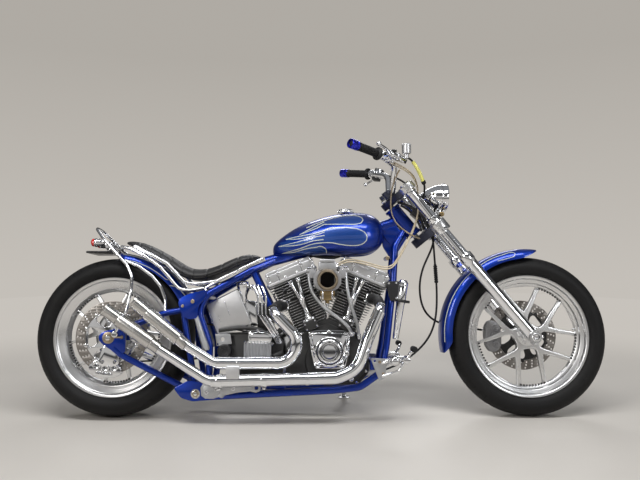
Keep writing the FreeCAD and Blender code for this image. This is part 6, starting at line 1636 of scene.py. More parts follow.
def gearbox():
    """The gearbox with its ribbed cover, its top cover, hose and pulley cap."""
    box = Piece("gearbox_silver", "case")
    outline = [(-404, 232), (-380, 158), (-196, 150), (-158, 182), (-158, 300), (-206, 346), (-392, 338)]
    box.use("black").side(outline, -79, 91, 12, 4)
    box.use("case")
    box.side([(-318, 236), (-206, 236), (-206, 300), (-318, 300)], -104, -78, 8, 3)
    for i in range(9):
        x = -316 + 13.0 * i
        box.side([(x, 240), (x + 5, 240), (x + 5, 314 - abs(i - 4) * 2), (x, 314 - abs(i - 4) * 2)], -112, -84, 1, 0.8)
    box.side([(-322, 232), (-200, 232), (-200, 240), (-322, 240)], -112, -80, 2, 1)
    box.use("chrome")
    box.side([(-304, 300), (-208, 300), (-200, 338), (-226, 352), (-262, 358), (-298, 350)], -108, -84, 14, 4)
    box.side([(-292, 308), (-216, 308), (-212, 334), (-230, 344), (-260, 348), (-288, 342)], -111, -100, 10, 2.4)
    for x, z in ((-310, 306), (-204, 300), (-310, 246), (-206, 246), (-262, 354)):
        box.bolt((x, -108, z), RIGHT, 6, 4)
    box.use("black")
    box.rod((-196, -96, 250), (-156, -96, 262), 14)
    box.rod((-196, -90, 330), (-150, -80, 372), 11)
    box.add(hose([(-420, -92, 352), (-360, -100, 362), (-300, -98, 366), (-230, -96, 356), (-190, -92, 320)], 8, 8, 4))
    box.use("plastic")
    box.add(turned([(78, 0), (78, 29), (104, 29), (109, 26), (109, 12), (105, 11), (105, 0)], 48, 0.8),
            wheel_place(Vector((-396, 0, 270))))
    box.use("case")
    plate = [(-434, 338), (-374, 340), (-366, 300), (-428, 290)]
    box.add(sheet([(plate, False), (circle(8, 24, (-404, 318)), False), (circle(4, 12, (-424, 298)), False)], 8, 1.4),
            side_place(-100))
    box.use("plastic")
    for k in range(10):
        a, b = polar(22, 36 * k)
        box.rod((-396 + a, -108, 270 + b), (-396 + a, -111, 270 + b), 3, steps=8)
    box.done("frame", ["gearbox"], "case_silver", 35)


def primary_cover():
    """The cover of the primary drive on the left, with its two round lids."""
    cover = Piece("primary_cover_chrome", "chrome")
    bm = sheet([(primary_outline(0), False)], 24, 3.0, 3)
    cover.add(bm, side_place(109))
    cover.add(sheet([(primary_outline(-12), False)], 34, 6.0, 4), side_place(134))
    for radius, x, z in ((52, 22, 227), (46, -300, 268)):
        cover.lathe([(0, radius + 6), (4, radius + 4), (5, radius), (8, radius), (10, radius - 3), (10, 0)],
                    (x, 150, z), (0, 1, 0), 64)
        for k in range(5):
            a, b = polar(radius - 8, 90 + 72 * k)
            cover.bolt((x + a, 160, z + b), (0, 1, 0), 4)
    points = primary_outline(-5)
    for i in range(0, len(points), max(1, len(points) // 14)):
        x, z = points[i]
        cover.bolt((x, 121, z), (0, 1, 0), 5, 4)
    cover.done("frame", ["primary_cover"], "chrome", 30)


def primary_outline(grow):
    """Two round ends joined by straight lines, seen from the side."""
    a, ra = Vector((22, 227)), 96 + grow
    b, rb = Vector((-300, 268)), 84 + grow
    line = b - a
    lean = math.atan2(line.y, line.x)
    open_angle = math.acos((ra - rb) / line.length)
    first = [(a.x + ra * math.cos(lean + t), a.y + ra * math.sin(lean + t)) for t in
             [open_angle + (TURN - 2 * open_angle) * i / 28 for i in range(29)]]
    second = [(b.x + rb * math.cos(lean + t), b.y + rb * math.sin(lean + t)) for t in
              [-open_angle + 2 * open_angle * i / 24 for i in range(25)]]
    return first + second


def oil_tank():
    """The oil tank behind the engine, its filler, the box beside it and three lines."""
    tank = Piece("oil_tank_chrome", "chrome")
    outline = [(-479, 458), (-345, 524), (-286, 378), (-424, 322)]
    tank.side(outline, -86, 86, 9, 3)
    for side in BOTH:
        tank.use("satin").side([(-474, 456), (-347, 519), (-291, 380), (-422, 327)], 86 * side - 2, 86 * side + 1.6, 8,
                               1.2)
        tank.use("chrome")
        for a, b in (((-400, 470), (-376, 410)), ((-425, 414), (-414, 384))):
            tank.rod((a[0], 87.4 * side, a[1]), (b[0], 87.4 * side, b[1]), 1.2, steps=8)
    tank.side([(-346, 482), (-268, 470), (-262, 371), (-330, 360)], -58, 58, 10, 5)
    at = align((-322, -60, 480), (-4, -12, 62))
    tank.add(turned([(-14, 0), (-14, 13), (16, 15), (34, 24), (40, 25), (62, 25.5), (70, 25), (73, 22), (73, 0)], 48,
                    0.6), at)
    tank.add(turned([(54, 25), (56, 27), (64, 27), (66, 25)]), at)
    tank.use("black")
    tank.side([(-268, 356), (-196, 348), (-206, 452), (-262, 470)], -44, 44, 10, 4)
    tank.side([(-262, 370), (-212, 366), (-218, 420), (-258, 436)], -50, -40, 6, 2)
    for k in range(3):
        shift = 15 * k
        tank.use("chrome").add(bent([(-296 + shift, -70, 528), (-282 + shift * 1.1, -96, 538),
                                     (-262 + shift * 1.1, -110, 492), (-258 + shift, -112, 420),
                                     (-206 + shift * 0.8, -108, 345), (-182 + shift * 0.5, -84, 300)], 5, 24, 6, 4))
        tank.lathe([(0, 0), (0, 8), (14, 8), (16, 6), (16, 0)], (-296 + shift, -70, 528), (13, -26, 10), 16, 0.5)
    tank.rod((-304, -66, 524), (-258, -66, 524), 8)
    tank.done("frame", ["oil_tank"], "chrome", 30)


headlamp()
tail_lamps()
exhausts()
gearbox()
primary_cover()
oil_tank()

# ---------------------------------------------------------------- fork


def leg(along, y=0.0):
    """A point of a fork leg, measured up from the front axle."""
    return FRONT_HUB + UP * along + SIDE * y


def stem(height, ahead=0.0, y=0.0):
    """A point of the yokes: up the stem, ahead of it and to a side."""
    return NECK + UP * height + AHEAD * ahead + SIDE * y


def yoke(piece, height, thick, corner):
    """One fork yoke, cut from plate: a hub in the middle and a clamp at each leg."""
    outline = [(-26, -20), (-26, 20), (-8, 42), (30, 84), (50, 100), (92, 100), (98, 84), (60, 24),
               (60, -24), (98, -84), (92, -100), (50, -100), (30, -84), (-8, -42)]
    place = Matrix.Translation(stem(height)) @ Matrix(((AHEAD.x, 0, UP.x, 0), (0, 1, 0, 0), (AHEAD.z, 0, UP.z, 0),
                                                       (0, 0, 0, 1)))
    piece.use("slate").add(slab(outline, thick, corner, 2.4), place)
    piece.use("alloy")
    for side in BOTH:
        at = stem(height, LEG_AHEAD, LEG_Y * side)
        piece.lathe([(-thick / 2 - 2, 21.4), (-thick / 2 - 2, 33), (-thick / 2 + 1, 35.4), (thick / 2 - 1, 35.4),
                     (thick / 2 + 2, 33), (thick / 2 + 2, 21.4)], at, UP, 48, 0.6, loop=True)
        for up in BOTH:
            piece.bolt(stem(height + up * thick * 0.25, 72, 137 * side), (0, side, 0), 5.5, 3)
    piece.use("slate")
    piece.add(drum(thick + 2, 31, edge=1.6), align(stem(height - thick / 2 - 1), UP))


def fork_yokes():
    """Both yokes, the stem, the risers, the tubes between the yokes and the wires at the neck."""
    trees = Piece("fork_yokes", "slate")
    yoke(trees, 97, 28, 14)
    yoke(trees, -106, 34, 14)
    for side in BOTH:
        foot = stem(113, 14, 50 * side)
        trees.lathe([(0, 0), (0, 18.5), (12, 17.5), (20, 18.5), (30, 18.5), (33, 16), (33, 0)], foot, UP, 32, 0.8)
        for ahead in (-13, 13):
            trees.use("chrome").bolt(foot + UP * 31 + AHEAD * ahead, UP, 4.5, 4)
            trees.use("slate")
    trees.use("plastic")
    trees.add(brick((46, 54, 60), 6, 3), Matrix.Translation(stem(-10, 78, 0)) @ Matrix.Rotation(RAKE, 4, "Y"))
    for side in BOTH:
        trees.add(hose([stem(-80, 40, 30 * side), stem(-40, 66, 46 * side), stem(20, 70, 52 * side),
                        stem(60, 44, 30 * side)], 5, 8, 3))
    trees.add(hose([stem(-70, 60, -58), stem(-30, 84, -50), stem(30, 60, -62), stem(78, 30, -40)], 6, 8, 3))
    trees.use("chrome")
    trees.rod(stem(-104), stem(114), 13)
    trees.lathe([(0, 0), (0, 21), (8, 21), (12, 17), (14, 15), (14, 0)], stem(113), UP, 6, 0.8)
    for side in BOTH:
        y = LEG_Y * side
        low, high = stem(-86, LEG_AHEAD, y), stem(80.6, LEG_AHEAD, y)
        tube = [(0, 21), (0, 26), (4, 27), (22, 27), (24, 24), (26, 21.6), (150, 21.6), (152, 24), (166, 24), (166, 21)]
        trees.lathe([(h, r - 0.4) for h, r in tube], low, high - low, 48, 0.4, loop=True)
        trees.lathe([(-138, 21), (-138, 33), (-135, 35), (-116, 35), (-113, 33), (-113, 21)], stem(0, LEG_AHEAD, y),
                    UP, loop=True)
        trees.rod(stem(100, LEG_AHEAD, y), stem(118, LEG_AHEAD, y), 20, 18)
    trees.done("fork", ["fork_trees"], "polished_alloy", 30)


def fork_tubes():
    """The fork legs and the front axle."""
    legs = Piece("fork_tubes", "chrome")
    for side in BOTH:
        y = LEG_Y * side
        slider = [(-30, 0), (-30, 14), (-26, 20), (-18, 24), (0, 26), (36, 26.4), (120, 26.4), (380, 26.4), (392, 27),
                  (398, 30), (424, 30), (428, 28.5), (428, 24), (432, 22.5), (436, 20.5), (812, 20.4), (812, 0)]
        legs.use("chrome").lathe(slider, leg(0, y), UP)
        legs.use("alloy")
        legs.lathe([(-20, 24), (-18, 25.4), (30, 25.4), (33, 24), (33, 0)], leg(0, y), SIDE * side, 40)
        legs.use("chrome")
        legs.lathe([(30, 0), (30, 19), (38, 19), (40, 16), (40, 8), (37, 7), (37, 0)], leg(0, y), SIDE * side, 6, 0.6)
        for along in (-21, 21):
            at = leg(along, y + 12 * side)
            legs.rod(at - AHEAD * 24, at + AHEAD * 24, 5)
            legs.bolt(at + AHEAD * 24, AHEAD, 6, 5)
        legs.bolt(leg(300, y + 26 * side), SIDE * side, 5)
        legs.bolt(leg(340, y + 26 * side), SIDE * side, 5)
    legs.rod(leg(0, -96), leg(0, 96), 12)
    for side in BOTH:
        legs.lathe([(0, 12), (0, 19), (38, 19), (38, 12)], leg(0, 44 * side), SIDE * side, 32, 0.6, loop=True)
    legs.done("fork", ["fork_legs"], "chrome", 30)


# ---------------------------------------------------------------- handlebar and its controls


BAR = ((-54.1, 0.0, 107.9), (-52.1, 62.0, 107.9), (-48.1, 118.0, 220.9), (-114.1, 213.0, 246.9),
       (-234.1, 312.0, 268.9))


def bar_line(side):
    return [NECK + Vector((x, y * side, z)) for x, y, z in BAR]


def grip_line(side):
    """Where a grip starts, which way it runs, its length and what lies ahead of it."""
    inner, outer = bar_line(side)[-2:]
    along = (outer - inner).normalized()
    ahead = along.cross(Vector((0, 0, 1))).normalized() * side
    return inner, along, (outer - inner).length, ahead


def handlebar():
    """The bar with its clamps, and the two grips."""
    bar = Piece("handlebar_tube", "chrome")
    points = list(reversed(bar_line(-1)))[:-1] + bar_line(1)[1:]
    bar.add(bent(points, 12.65, 55, 12, 7))
    for side in BOTH:
        bar.lathe([(-9, 12.6), (-9, 16), (9, 16), (9, 12.6)], NECK + Vector((-53, 52 * side, 108)), SIDE, 32, 0.6)
    bar.done("fork", ["handlebar"], "chrome", 30)
    grips = Piece("grip_rubber", "rubber")
    for side in BOTH:
        inner, along, end, _ = grip_line(side)
        start = end * 0.1
        profile = [(start - 2, 12.8), (start - 2, 25.5), (start, 26.8), (start + 6, 26.8), (start + 9, 23),
                   (start + 12, 17.2)]
        ribs = 11
        for i in range(ribs):
            at = start + 14 + (end - start - 50) * i / ribs
            step = (end - start - 50) / ribs
            profile += [(at, 17.3), (at + step * 0.62, 17.3), (at + step * 0.7, 16.1), (at + step * 0.92, 16.1)]
        profile += [(end - 34, 17.3), (end - 32, 18.6), (end - 26, 18.6), (end - 26, 12.8)]
        grips.use("rubber").lathe(profile, inner, along, 40, loop=True)
        grips.use("anodised")
        cap = [(end - 27, 0), (end - 27, 18), (end - 25, 19.6), (end - 17, 19.6), (end - 16, 17.4), (end - 12, 17.4),
               (end - 11, 19.6), (end + 11, 20), (end + 14, 18.6), (end + 14, 14), (end + 8, 12.6), (end + 8, 0)]
        grips.lathe(cap, inner, along, 40)
        grips.use("plastic").lathe([(end + 7, 0), (end + 7, 11), (end + 9, 11), (end + 11, 8), (end + 11, 0)], inner,
                                   along, 24)
    grips.done("fork", ["grips"], "black_rubber", 30)


def hand_lever(piece, pivot, tip, ahead):
    """A lever that thickens at its pivot, swells a little along its blade and ends in a ball."""
    middle = pivot.lerp(tip, 0.5) + ahead * 7
    piece.add(stroke([pivot, pivot.lerp(middle, 0.5), middle, tip.lerp(middle, 0.35), tip], 5.6, 10, 3,
                     swell=[1.35, 1.1, 0.9, 0.9, 0.8]))
    piece.add(ball(9.4), Matrix.Translation(tip))
    piece.rod(pivot - Vector((0, 0, 11)), pivot + Vector((0, 0, 11)), 7.5)
    piece.bolt(pivot + Vector((0, 0, 11)), (0, 0, 1), 5, 3)


def hand_controls():
    """Perches, levers and switch housings, and on the right the brake cylinder with its cup."""
    sets = Piece("hand_control_chrome", "chrome")
    for side in BOTH:
        inner, along, length, ahead = grip_line(side)
        sets.use("chrome")
        perch = [(-29, 12.8), (-29, 17), (-27, 18.8), (-13, 18.8), (-12, 17), (-10, 17), (-9, 18.8), (3, 18.8), (5, 17),
                 (5, 12.8)]
        sets.lathe(perch, inner, along, 40, loop=True)
        pivot = inner + ahead * 44 - along * 8
        sets.add(stroke([inner - along * 6 + ahead * 10, inner - along * 6 + ahead * 28, pivot], 10, 8, 3,
                        swell=[1.0, 0.95, 0.9]))
        tip = inner + along * (length * 0.5) + ahead * 66
        tip.z += 12 if side < 0 else -44
        hand_lever(sets, pivot, tip, ahead)
        low = inner - along * 30
        housing = [(-62, 12.8), (-62, 19), (-58, 23), (-47, 23.4), (-46, 22), (-45, 22), (-44, 23.4), (-34, 23),
                   (-30, 19), (-30, 12.8)]
        sets.lathe(housing, inner, along, 40, loop=True)
        if side > 0:
            sets.use("plastic")
            sets.add(brick((28, 28, 34), 4, 3), align(low - Vector((0, 0, 17)), along) @ Matrix.Rotation(0.3, 4, "Z"))
            sets.add(drum(16, 12, 9, edge=1), align(low + Vector((0, 0, 12)), (0.3, 0, 1)))
        else:
            sets.add(stroke([inner - along * 40 + ahead * 12, inner - along * 34 + ahead * 40, pivot - along * 14], 13,
                            8, 3, swell=[1.0, 1.0, 0.9]))
            sets.use("plastic").add(slab(oblong(26, 11), 8, 8, 2), align(pivot - along * 20 + Vector((0, 0, 14)),
                                                                         (0.15, 0, 1))).use("chrome")
        sets.use("plastic")
        for k, size in ((-8, 5), (8, 4)):
            sets.lathe([(0, 0), (0, size), (4, size), (5, size * 0.7), (5, 0)], inner - along * (52 + k) - ahead * 20,
                       -ahead, 20)
        if side < 0:
            end = Vector((332, -160, 1047))
            sets.use("chrome")
            reach = (end - pivot).length
            body = [(-4, 0), (-4, 10), (2, 15), (8, 16), (reach * 0.3, 16), (reach * 0.32, 14), (reach * 0.4, 14),
                    (reach * 0.42, 16), (reach * 0.66, 16), (reach * 0.7, 14), (reach + 3, 14), (reach + 8, 9),
                    (reach + 12, 8), (reach + 12, 0)]
            sets.lathe(body, pivot, end - pivot, 40, 0.4)
            cup = moved(346, -166, 1060)
            sets.use("satin")
            sets.add(turned([(-8, 0), (-8, 8), (8, 8.5), (9, 14), (12, 18.6), (44, 18.6), (46, 18.9), (50, 18.9),
                             (52, 17), (52, 0)]), cup)
            for turn in range(0, 360, 24):
                a, b = polar(18.6, turn)
                sets.rod((346 + a, -166 + b, 1104), (346 + a, -166 + b, 1110), 1.1, steps=6)
            sets.use("plastic")
            sets.add(slab([(-14, -9), (20, -9), (20, 9), (-14, 9)], 12, 5, 1.6),
                     align(end + Vector((-22, 0, 20)), (0.2, 0, 1)))
            sets.rod(end + Vector((2, 0, -4)), end + Vector((14, 0, -10)), 8)
    sets.done("fork", ["hand_controls"], "chrome", 32)


fork_yokes()
fork_tubes()
handlebar()
hand_controls()

# ---------------------------------------------------------------- frame and swingarm


def both(points, side):
    """Points on the left (1), or their mirror images on the right (-1)."""
    return [(x, y * side, z) for x, y, z in points]


def frame_tubes():
    """The frame: neck, backbone, seat tubes, down tubes, gussets, castings and crossbars."""
    tubes = Piece("frame_blue", "blue")
    neck_low, neck_high = stem(-75), stem(75)
    tubes.lathe([(0, 13.2), (0, 34), (2, 36), (11, 36), (13, 31.4), (137, 31.4), (139, 36), (148, 36), (150, 34),
                 (150, 13.2)], neck_low, neck_high - neck_low, 64, loop=True)
    tubes.add(bent([(330.0, 0, 812.0), (60, 0, 716), (-236, 0, 636)], 24, 90, 12, 8))
    seat_tube = ((-200, 30, 640), (-290, 78, 600), (-470, 122, 496), (-498, 134, 430), (-452, 134, 300),
                 (-452, 134, 190), (-464, 134, 104))
    down_tube = ((352, 14, 770), (309, 36, 700), (296, 56, 540), (262, 92, 300), (240, 112, 190), (150, 122, 130),
                 (40, 125, 118), (-470, 134, 94))
    for side in BOTH:
        tubes.add(bent(both(seat_tube, side), 14.5, 70, 10, 6))
        tubes.add(bent(both(down_tube, side), 14.5, 70, 10, 6))
        tubes.add(bent(both(((-282, 64, 590), (-214, 80, 452)), side), 14.5, 40))
    for x, half, z in ((247, 108, 218), (-430, 134, 98), (-470, 122, 490), (-290, 78, 596)):
        tubes.rod((x, -half, z), (x, half, z), 12, edge=0)
    tubes.use("plastic")
    tubes.add(brick((74, 46, 44), 6, 3), moved(40, 0, 668) @ Matrix.Rotation(-0.28, 4, "Y"))
    for side in BOTH:
        tubes.lathe([(0, 0), (0, 11), (18, 11), (20, 7), (26, 7), (26, 0)], (22, 12 * side, 652),
                    (-0.8, 0.5 * side, -0.4), 20, 0.6)
        tubes.side([(-64, 668), (150, 720), (148, 706), (-62, 652)], 22 * side - 2, 22 * side + 2, 3, 0.8)
    tubes.add(hose([(-40, -26, 664), (10, -44, 648), (60, -40, 660), (130, -36, 690), (220, -34, 742)], 6, 8, 4))
    tubes.use("blue")
    gusset = [(366, 742), (310, 800), (250, 782), (262, 700), (300, 640)]
    tubes.side(gusset, -9, 9, 10, 2)
    tubes.side([(240, 772), (316, 796), (352, 752), (300, 700)], -20, 20, 14, 6)
    for low, high in ((-158, -146.5), (146.5, 158)):
        tubes.side([(-580, 470), (-564, 488), (-530, 502), (-462, 518), (-468, 486), (-496, 452), (-500, 402),
                    (-540, 398), (-566, 424)], low, high, 12, 2.2)
        tubes.side([(-590, 130), (-531, 160), (-446, 150), (-440, 84), (-514, 78), (-560, 92)], low, high, 10, 2.2)
    for x, y, z, size in ((215, 0, 214, (40, 186, 40)), (-180, 0, 128, (60, 230, 16))):
        tubes.add(brick(size, 3), moved(x, y, z))
    for x, z in ((200, 766), (-100, 673)):
        tubes.rod((x, -35.7, z), (x, 35.7, z), 9)
    for side in BOTH:
        a, b = Vector((-508, 146 * side, 414)), Vector((-462, 146 * side, 276))
        tubes.use("case").lathe([(0, 0), (0, 9), (6, 10), ((b - a).length - 8, 16), ((b - a).length, 13),
                                 ((b - a).length, 0)], a, b - a, 32, 0.6).use("blue")
    tubes.rod((277, -40, 652), (277, 40, 652), 9)
    tubes.use("bronze")
    for x, y, z, size in ((277, -40, 652, 9), (-520, -158, 470, 8), (-502, -158, 108, 15), (-560, -158, 452, 6),
                          (262, -94, 330, 7), (236, -114, 214, 7)):
        for side in BOTH:
            tubes.bolt((x, y * -side, z), (0, side, 0), size, size * 0.5)
    tubes.use("chrome").rod((ARM_PIVOT_X, -164, ARM_PIVOT_Z), (ARM_PIVOT_X, 164, ARM_PIVOT_Z), 11)
    for side in BOTH:
        tubes.nut((ARM_PIVOT_X, 158 * side, ARM_PIVOT_Z), (0, side, 0), 26, 7)
    tubes.done("frame", ["main_frame"], "blue_paint", 40)


def swing():
    """The swingarm with its axle plates, nuts and adjusters."""
    arm = Piece("swingarm_blue", "blue")
    x, z = REAR_HUB.x, REAR_HUB.z
    upper = ((x + 18.5, 135, z + 20.2), (-640, 133, 422), (-530, 133, 443))
    front = ((-560, 133, 436), (-546, 133, 348), (-502, 133, 108))
    lower = ((x + 20.5, 135, z - 41.8), (x + 54.5, 134, z - 69.8), (-567, 133, 138), (-502, 133, 108))
    for side in BOTH:
        for line in (upper, front, lower):
            arm.add(bent(both(line, side), 13, 60, 10, 6))
        outline = [(-41.5, -4), (-36, 14), (-20, 24), (34.5, 36.2), (68.5, 18.2), (68.5, -57.8), (50.5, -69.8),
                   (14.5, -49.8), (-23.5, -26)]
        low, high = (-DROPOUT_Y, -130) if side < 0 else (130, DROPOUT_Y)
        arm.side([(x + a, z + b) for a, b in outline], low, high, 13, 2.2)
        arm.use("bronze")
        face = REAR_HUB + SIDE * (DROPOUT_Y * side)
        arm.lathe([(0, 0), (0, 23.6), (3, 23.6), (4, 21), (4, 0)], face, SIDE * side, 40)
        arm.lathe([(3, 0), (3, 18), (10, 18), (12, 15), (12, 10), (10, 9), (10, 0)], face, SIDE * side, 6, 0.6)
        arm.rod(face + Vector((22, 0.5 * side, 2)), face + Vector((56, 0.5 * side, 2)), 4)
        arm.nut(face + Vector((52, 1 * side, 2)), (1, 0, 0), 12, 7)
        arm.use("blue")
        arm.lathe([(0, 13), (0, 22), (14, 24), (60, 24), (62, 20)], (ARM_PIVOT_X, 84 * side, ARM_PIVOT_Z),
                  (0, side, 0), 40, 0.4)
    arm.rod((-530, -133, 443), (-530, 133, 443), 13)
    arm.lathe([(-146, 15.2), (-146, 22), (-143, 24), (143, 24), (146, 22), (146, 15.2)],
              (ARM_PIVOT_X, 0, ARM_PIVOT_Z), SIDE, loop=True)
    arm.use("chrome").rod(REAR_HUB - SIDE * 156, REAR_HUB + SIDE * 156, 11.6)
    arm.done("frame", ["swingarm"], "blue_paint", 40)


# ---------------------------------------------------------------- rails, sissy bar, arm, controls


def rail_lines(line, shares):
    """A rail's points on the left, each at a share of the rail's distance from the middle."""
    return [(x, 113 * share, z) for (x, z), share in zip(line, shares)]


def rails():
    """The bright rails under the seat and the stays down to the swingarm."""
    piece = Piece("seat_rail_chrome", "chrome")
    upper = rail_lines(((-770, 696), (-700, 660), (-636, 625), (-560, 546), (-517, 541), (-434, 552), (-336, 598),
                        (-246, 643)), (0.9, 1, 1, 1, 1, 1.05, 1.14, 1))
    lower = rail_lines(((-824, 694), (-790, 688), (-733, 660), (-660, 608), (-614, 556), (-584, 521), (-540, 514),
                        (-476, 524), (-430, 552)), (0.86, 0.92, 1, 1, 1, 1, 1, 1, 1.05))
    x, z = REAR_HUB.x, REAR_HUB.z
    stay = ((x + 50.5, 107.8, z + 311.2), (x + 64.5, 109, z + 304.2), (x + 106.5, 114, z + 288.2),
            (-692, 118, 573), (-656, 120, 530), (-635, 124, 478), (-632, 136, 426))
    for side in BOTH:
        piece.add(bent(both(upper, side), 7.2, 40, 8, 5))
        piece.add(bent(both(lower, side), 7.2, 40, 8, 5))
        piece.add(bent(both(stay, side), 6.4, 60, 10, 5))
        for x0, y0, z0 in (upper[0], upper[-1], lower[0], lower[-1]):
            piece.add(ball(7.2, 16), moved(x0, y0 * side, z0))
        piece.lathe([(0, 0), (0, 10), (10, 10), (12, 8), (12, 0)], (-632, 130 * side, 426), (0, side, 0), 24, 0.6)
        piece.rod((-476, 113 * side, 522), (-471, 122 * side, 496), 6.4)
    piece.use("plastic")
    piece.rod((-760, -104, 684), (-760, 104, 684), 6.4)
    piece.rod((-452, -106, 516), (-452, 106, 516), 6.4)
    for side in BOTH:
        for x0, z0 in ((-700, 655), (-600, 580), (-480, 552)):
            piece.rod((x0, 104 * side, z0), (x0 + 6, 84 * side, z0 + 2), 5)
    piece.done("frame", ["seat_rails"], "chrome", 30)


def sissy():
    """The hoop behind the seat."""
    piece = Piece("sissy_bar_chrome", "chrome")
    x, z = REAR_HUB.x, REAR_HUB.z
    half = ((26.5, 151, 14.2), (69.5, 151, 106.2), (84.5, 140, 186.2), (82.5, 124, 246.2), (58.5, 113, 292.2),
            (14.5, 110, 338.2), (-49.5, 84, 402.2), (-89.5, 42, 446.2), (-99.5, 0, 454.2))
    right = [(x + a, -b, z + c) for a, b, c in half]
    left = [(p, -q, r) for p, q, r in reversed(right[:-1])]
    piece.add(bent(right + left, 6.4, 60, 10, 5))
    piece.rod((x - 15.5, -98, z + 368.2), (x - 15.5, 98, z + 368.2), 6.4)
    for side in BOTH:
        piece.lathe([(-5, 0), (-5, 13), (5, 13), (7, 10), (7, 0)], (x + 26.5, 151 * side, z + 14.2), (0, side, 0), 32,
                    0.6)
    piece.done("frame", ["sissy_bar"], "chrome", 30)


def exhaust_arm():
    """The cast arm that carries the mufflers."""
    arm = Piece("exhaust_arm_cast", "case")
    outline = [(-478, 102), (-482, 132), (-470, 150), (-446, 156), (-404, 150), (-388, 142), (-340, 150), (-286, 148),
               (-262, 152), (-243, 140), (-245, 122), (-262, 113), (-286, 119), (-340, 113), (-396, 100), (-430, 90),
               (-462, 90)]
    arm.add(sheet([(outline, False), (circle(8.4, 24, (-261, 132)), False)], 9, 2.4, 2), side_place(-162.5))
    arm.side([(-472, 100), (-474, 132), (-462, 144), (-410, 140), (-404, 112), (-428, 96)], -172, -160, 10, 4)
    arm.add(turned([(-9, 8.4), (-9, 15), (-7, 16.4), (7, 16.4), (9, 15), (9, 8.4)], 40, loop=True),
            wheel_place(Vector((-261, -163, 132))))
    arm.side([(-390, 126), (-282, 132), (-282, 138), (-390, 134)], -169, -160, 2, 1.4)
    arm.rod((-400, -167, 106), (-400, -134, 100), 12)
    arm.use("chrome")
    for x, z, y in ((-456, 116, -172), (-420, 128, -172), (-352, 130, -167)):
        arm.bolt((x, y, z), RIGHT, 8, 5)
    arm.done("frame", ["exhaust_bracket"], "cast_grey", 35)


def foot_control(side):
    """A forward foot control: plate, peg, pedal and, on its back, a cylinder."""
    name, node = ("right_foot_control", "right_control") if side < 0 else ("left_foot_control", "left_control")
    piece = Piece(name, "case")
    outline = [(190, 246), (258, 244), (246, 168), (224, 158)]
    piece.add(sheet([(outline, False), (circle(5, 20, (207, 236)), False), (circle(4, 16, (236, 176)), False)], 12,
                    1.8, 2), side_place(152 * side))
    piece.rod((238, 110 * side, 206), (238, 147 * side, 206), 12.6)
    piece.use("chrome")
    a, b = Vector((272, 158 * side, 240)), Vector((272, 292 * side, 246))
    length = (b - a).length
    peg = [(0, 0), (0, 15), (10, 15), (14, 11)]
    for i in range(6):
        at = 18 + (length - 30) * i / 6
        peg += [(at, 13), (at, 18.4), (at + 12, 18.4), (at + 12, 13)]
    peg += [(length - 8, 15), (length - 2, 13), (length, 9), (length, 0)]
    piece.lathe(peg, a, b - a, 40, 0.5)
    piece.rod(a, a - Vector((38, 7 * side, 14)), 9, 8)
    piece.add(bent([(236, 164 * side, 176), (300, 168 * side, 196), (352, 176 * side, 276), (352, 252 * side, 286)],
                   6.4, 24, 8, 5))
    piece.add(brick((30, 22, 26), 4), moved(330, 168 * side, 240) @ Matrix.Rotation(0.8, 4, "Y"))
    pad = Vector((352, 252 * side, 286))
    piece.use("rubber")
    piece.lathe([(-4, 0), (-4, 10), (0, 11.8), (8, 11.8), (9, 10.4), (16, 10.4), (17, 11.8), (25, 11.8), (26, 10.4),
                 (33, 10.4), (34, 11.8), (44, 11.8), (50, 9), (50, 0)], pad, (0, -side, 0), 32)
    piece.use("chrome")
    centre = Vector((296, 134 * side, 238))
    piece.add(brick((62, 32, 34), 5, 3), Matrix.Translation(centre))
    piece.rod(centre + Vector((-31, 0, 0)), centre + Vector((-44, 0, -6)), 9)
    piece.add(drum(4, 12, edge=1), Matrix.Translation(centre + Vector((-10, 0, 15))))
    for k in BOTH:
        piece.bolt(centre + Vector((22 * k, 16 * side, 10)), (0, side, 0), 4)
    piece.use("bronze")
    for x, z in ((226, 232), (240, 186)):
        piece.bolt((x, 158 * side, z), (0, side, 0), 6, 4)
    piece.done("frame", [node], "chrome", 32)


def canister():
    """The canister on the down tube with its clamp."""
    piece = Piece("canister_chrome", "chrome")
    top, bottom = Vector((336, -84, 552)), Vector((299, -84, 318))
    length = (top - bottom).length
    body = [(0, 0), (0, 11), (3, 13), (length * 0.6, 17.5), (length * 0.66, 20.4), (length - 4, 20.8),
            (length - 1, 19), (length - 1, 16), (length + 4, 15), (length + 6, 13), (length + 6, 0)]
    piece.lathe(body, bottom, top - bottom, 48, 0.3)
    at = bottom.lerp(top, 0.93)
    piece.lathe([(-2.5, 20), (-2.5, 21), (2.5, 21), (2.5, 20)], at, top - bottom)
    piece.use("plastic")
    piece.side([(264, 552), (314, 554), (318, 476), (280, 472)], -96, -72, 5, 2)
    piece.rod((302, -52, 514), (331, -84, 514), 11)
    at = bottom.lerp(top, 0.66)
    piece.lathe([(-6, 19), (-6, 23), (-4, 24), (4, 24), (6, 23), (6, 19)], at, top - bottom, loop=True)
    piece.add(brick((20, 16, 11), 2, 2), align(at + Vector((28, 0, -4)), top - bottom))
    for x, z in ((274, 544), (304, 546), (304, 484)):
        piece.use("chrome").bolt((x, -96, z), RIGHT, 5, 4)
    piece.done("frame", ["downtube_canister"], "chrome", 32)


frame_tubes()
swing()
rails()
sissy()
exhaust_arm()
foot_control(-1)
foot_control(1)
canister()

# ---------------------------------------------------------------- cables, belt, side stand


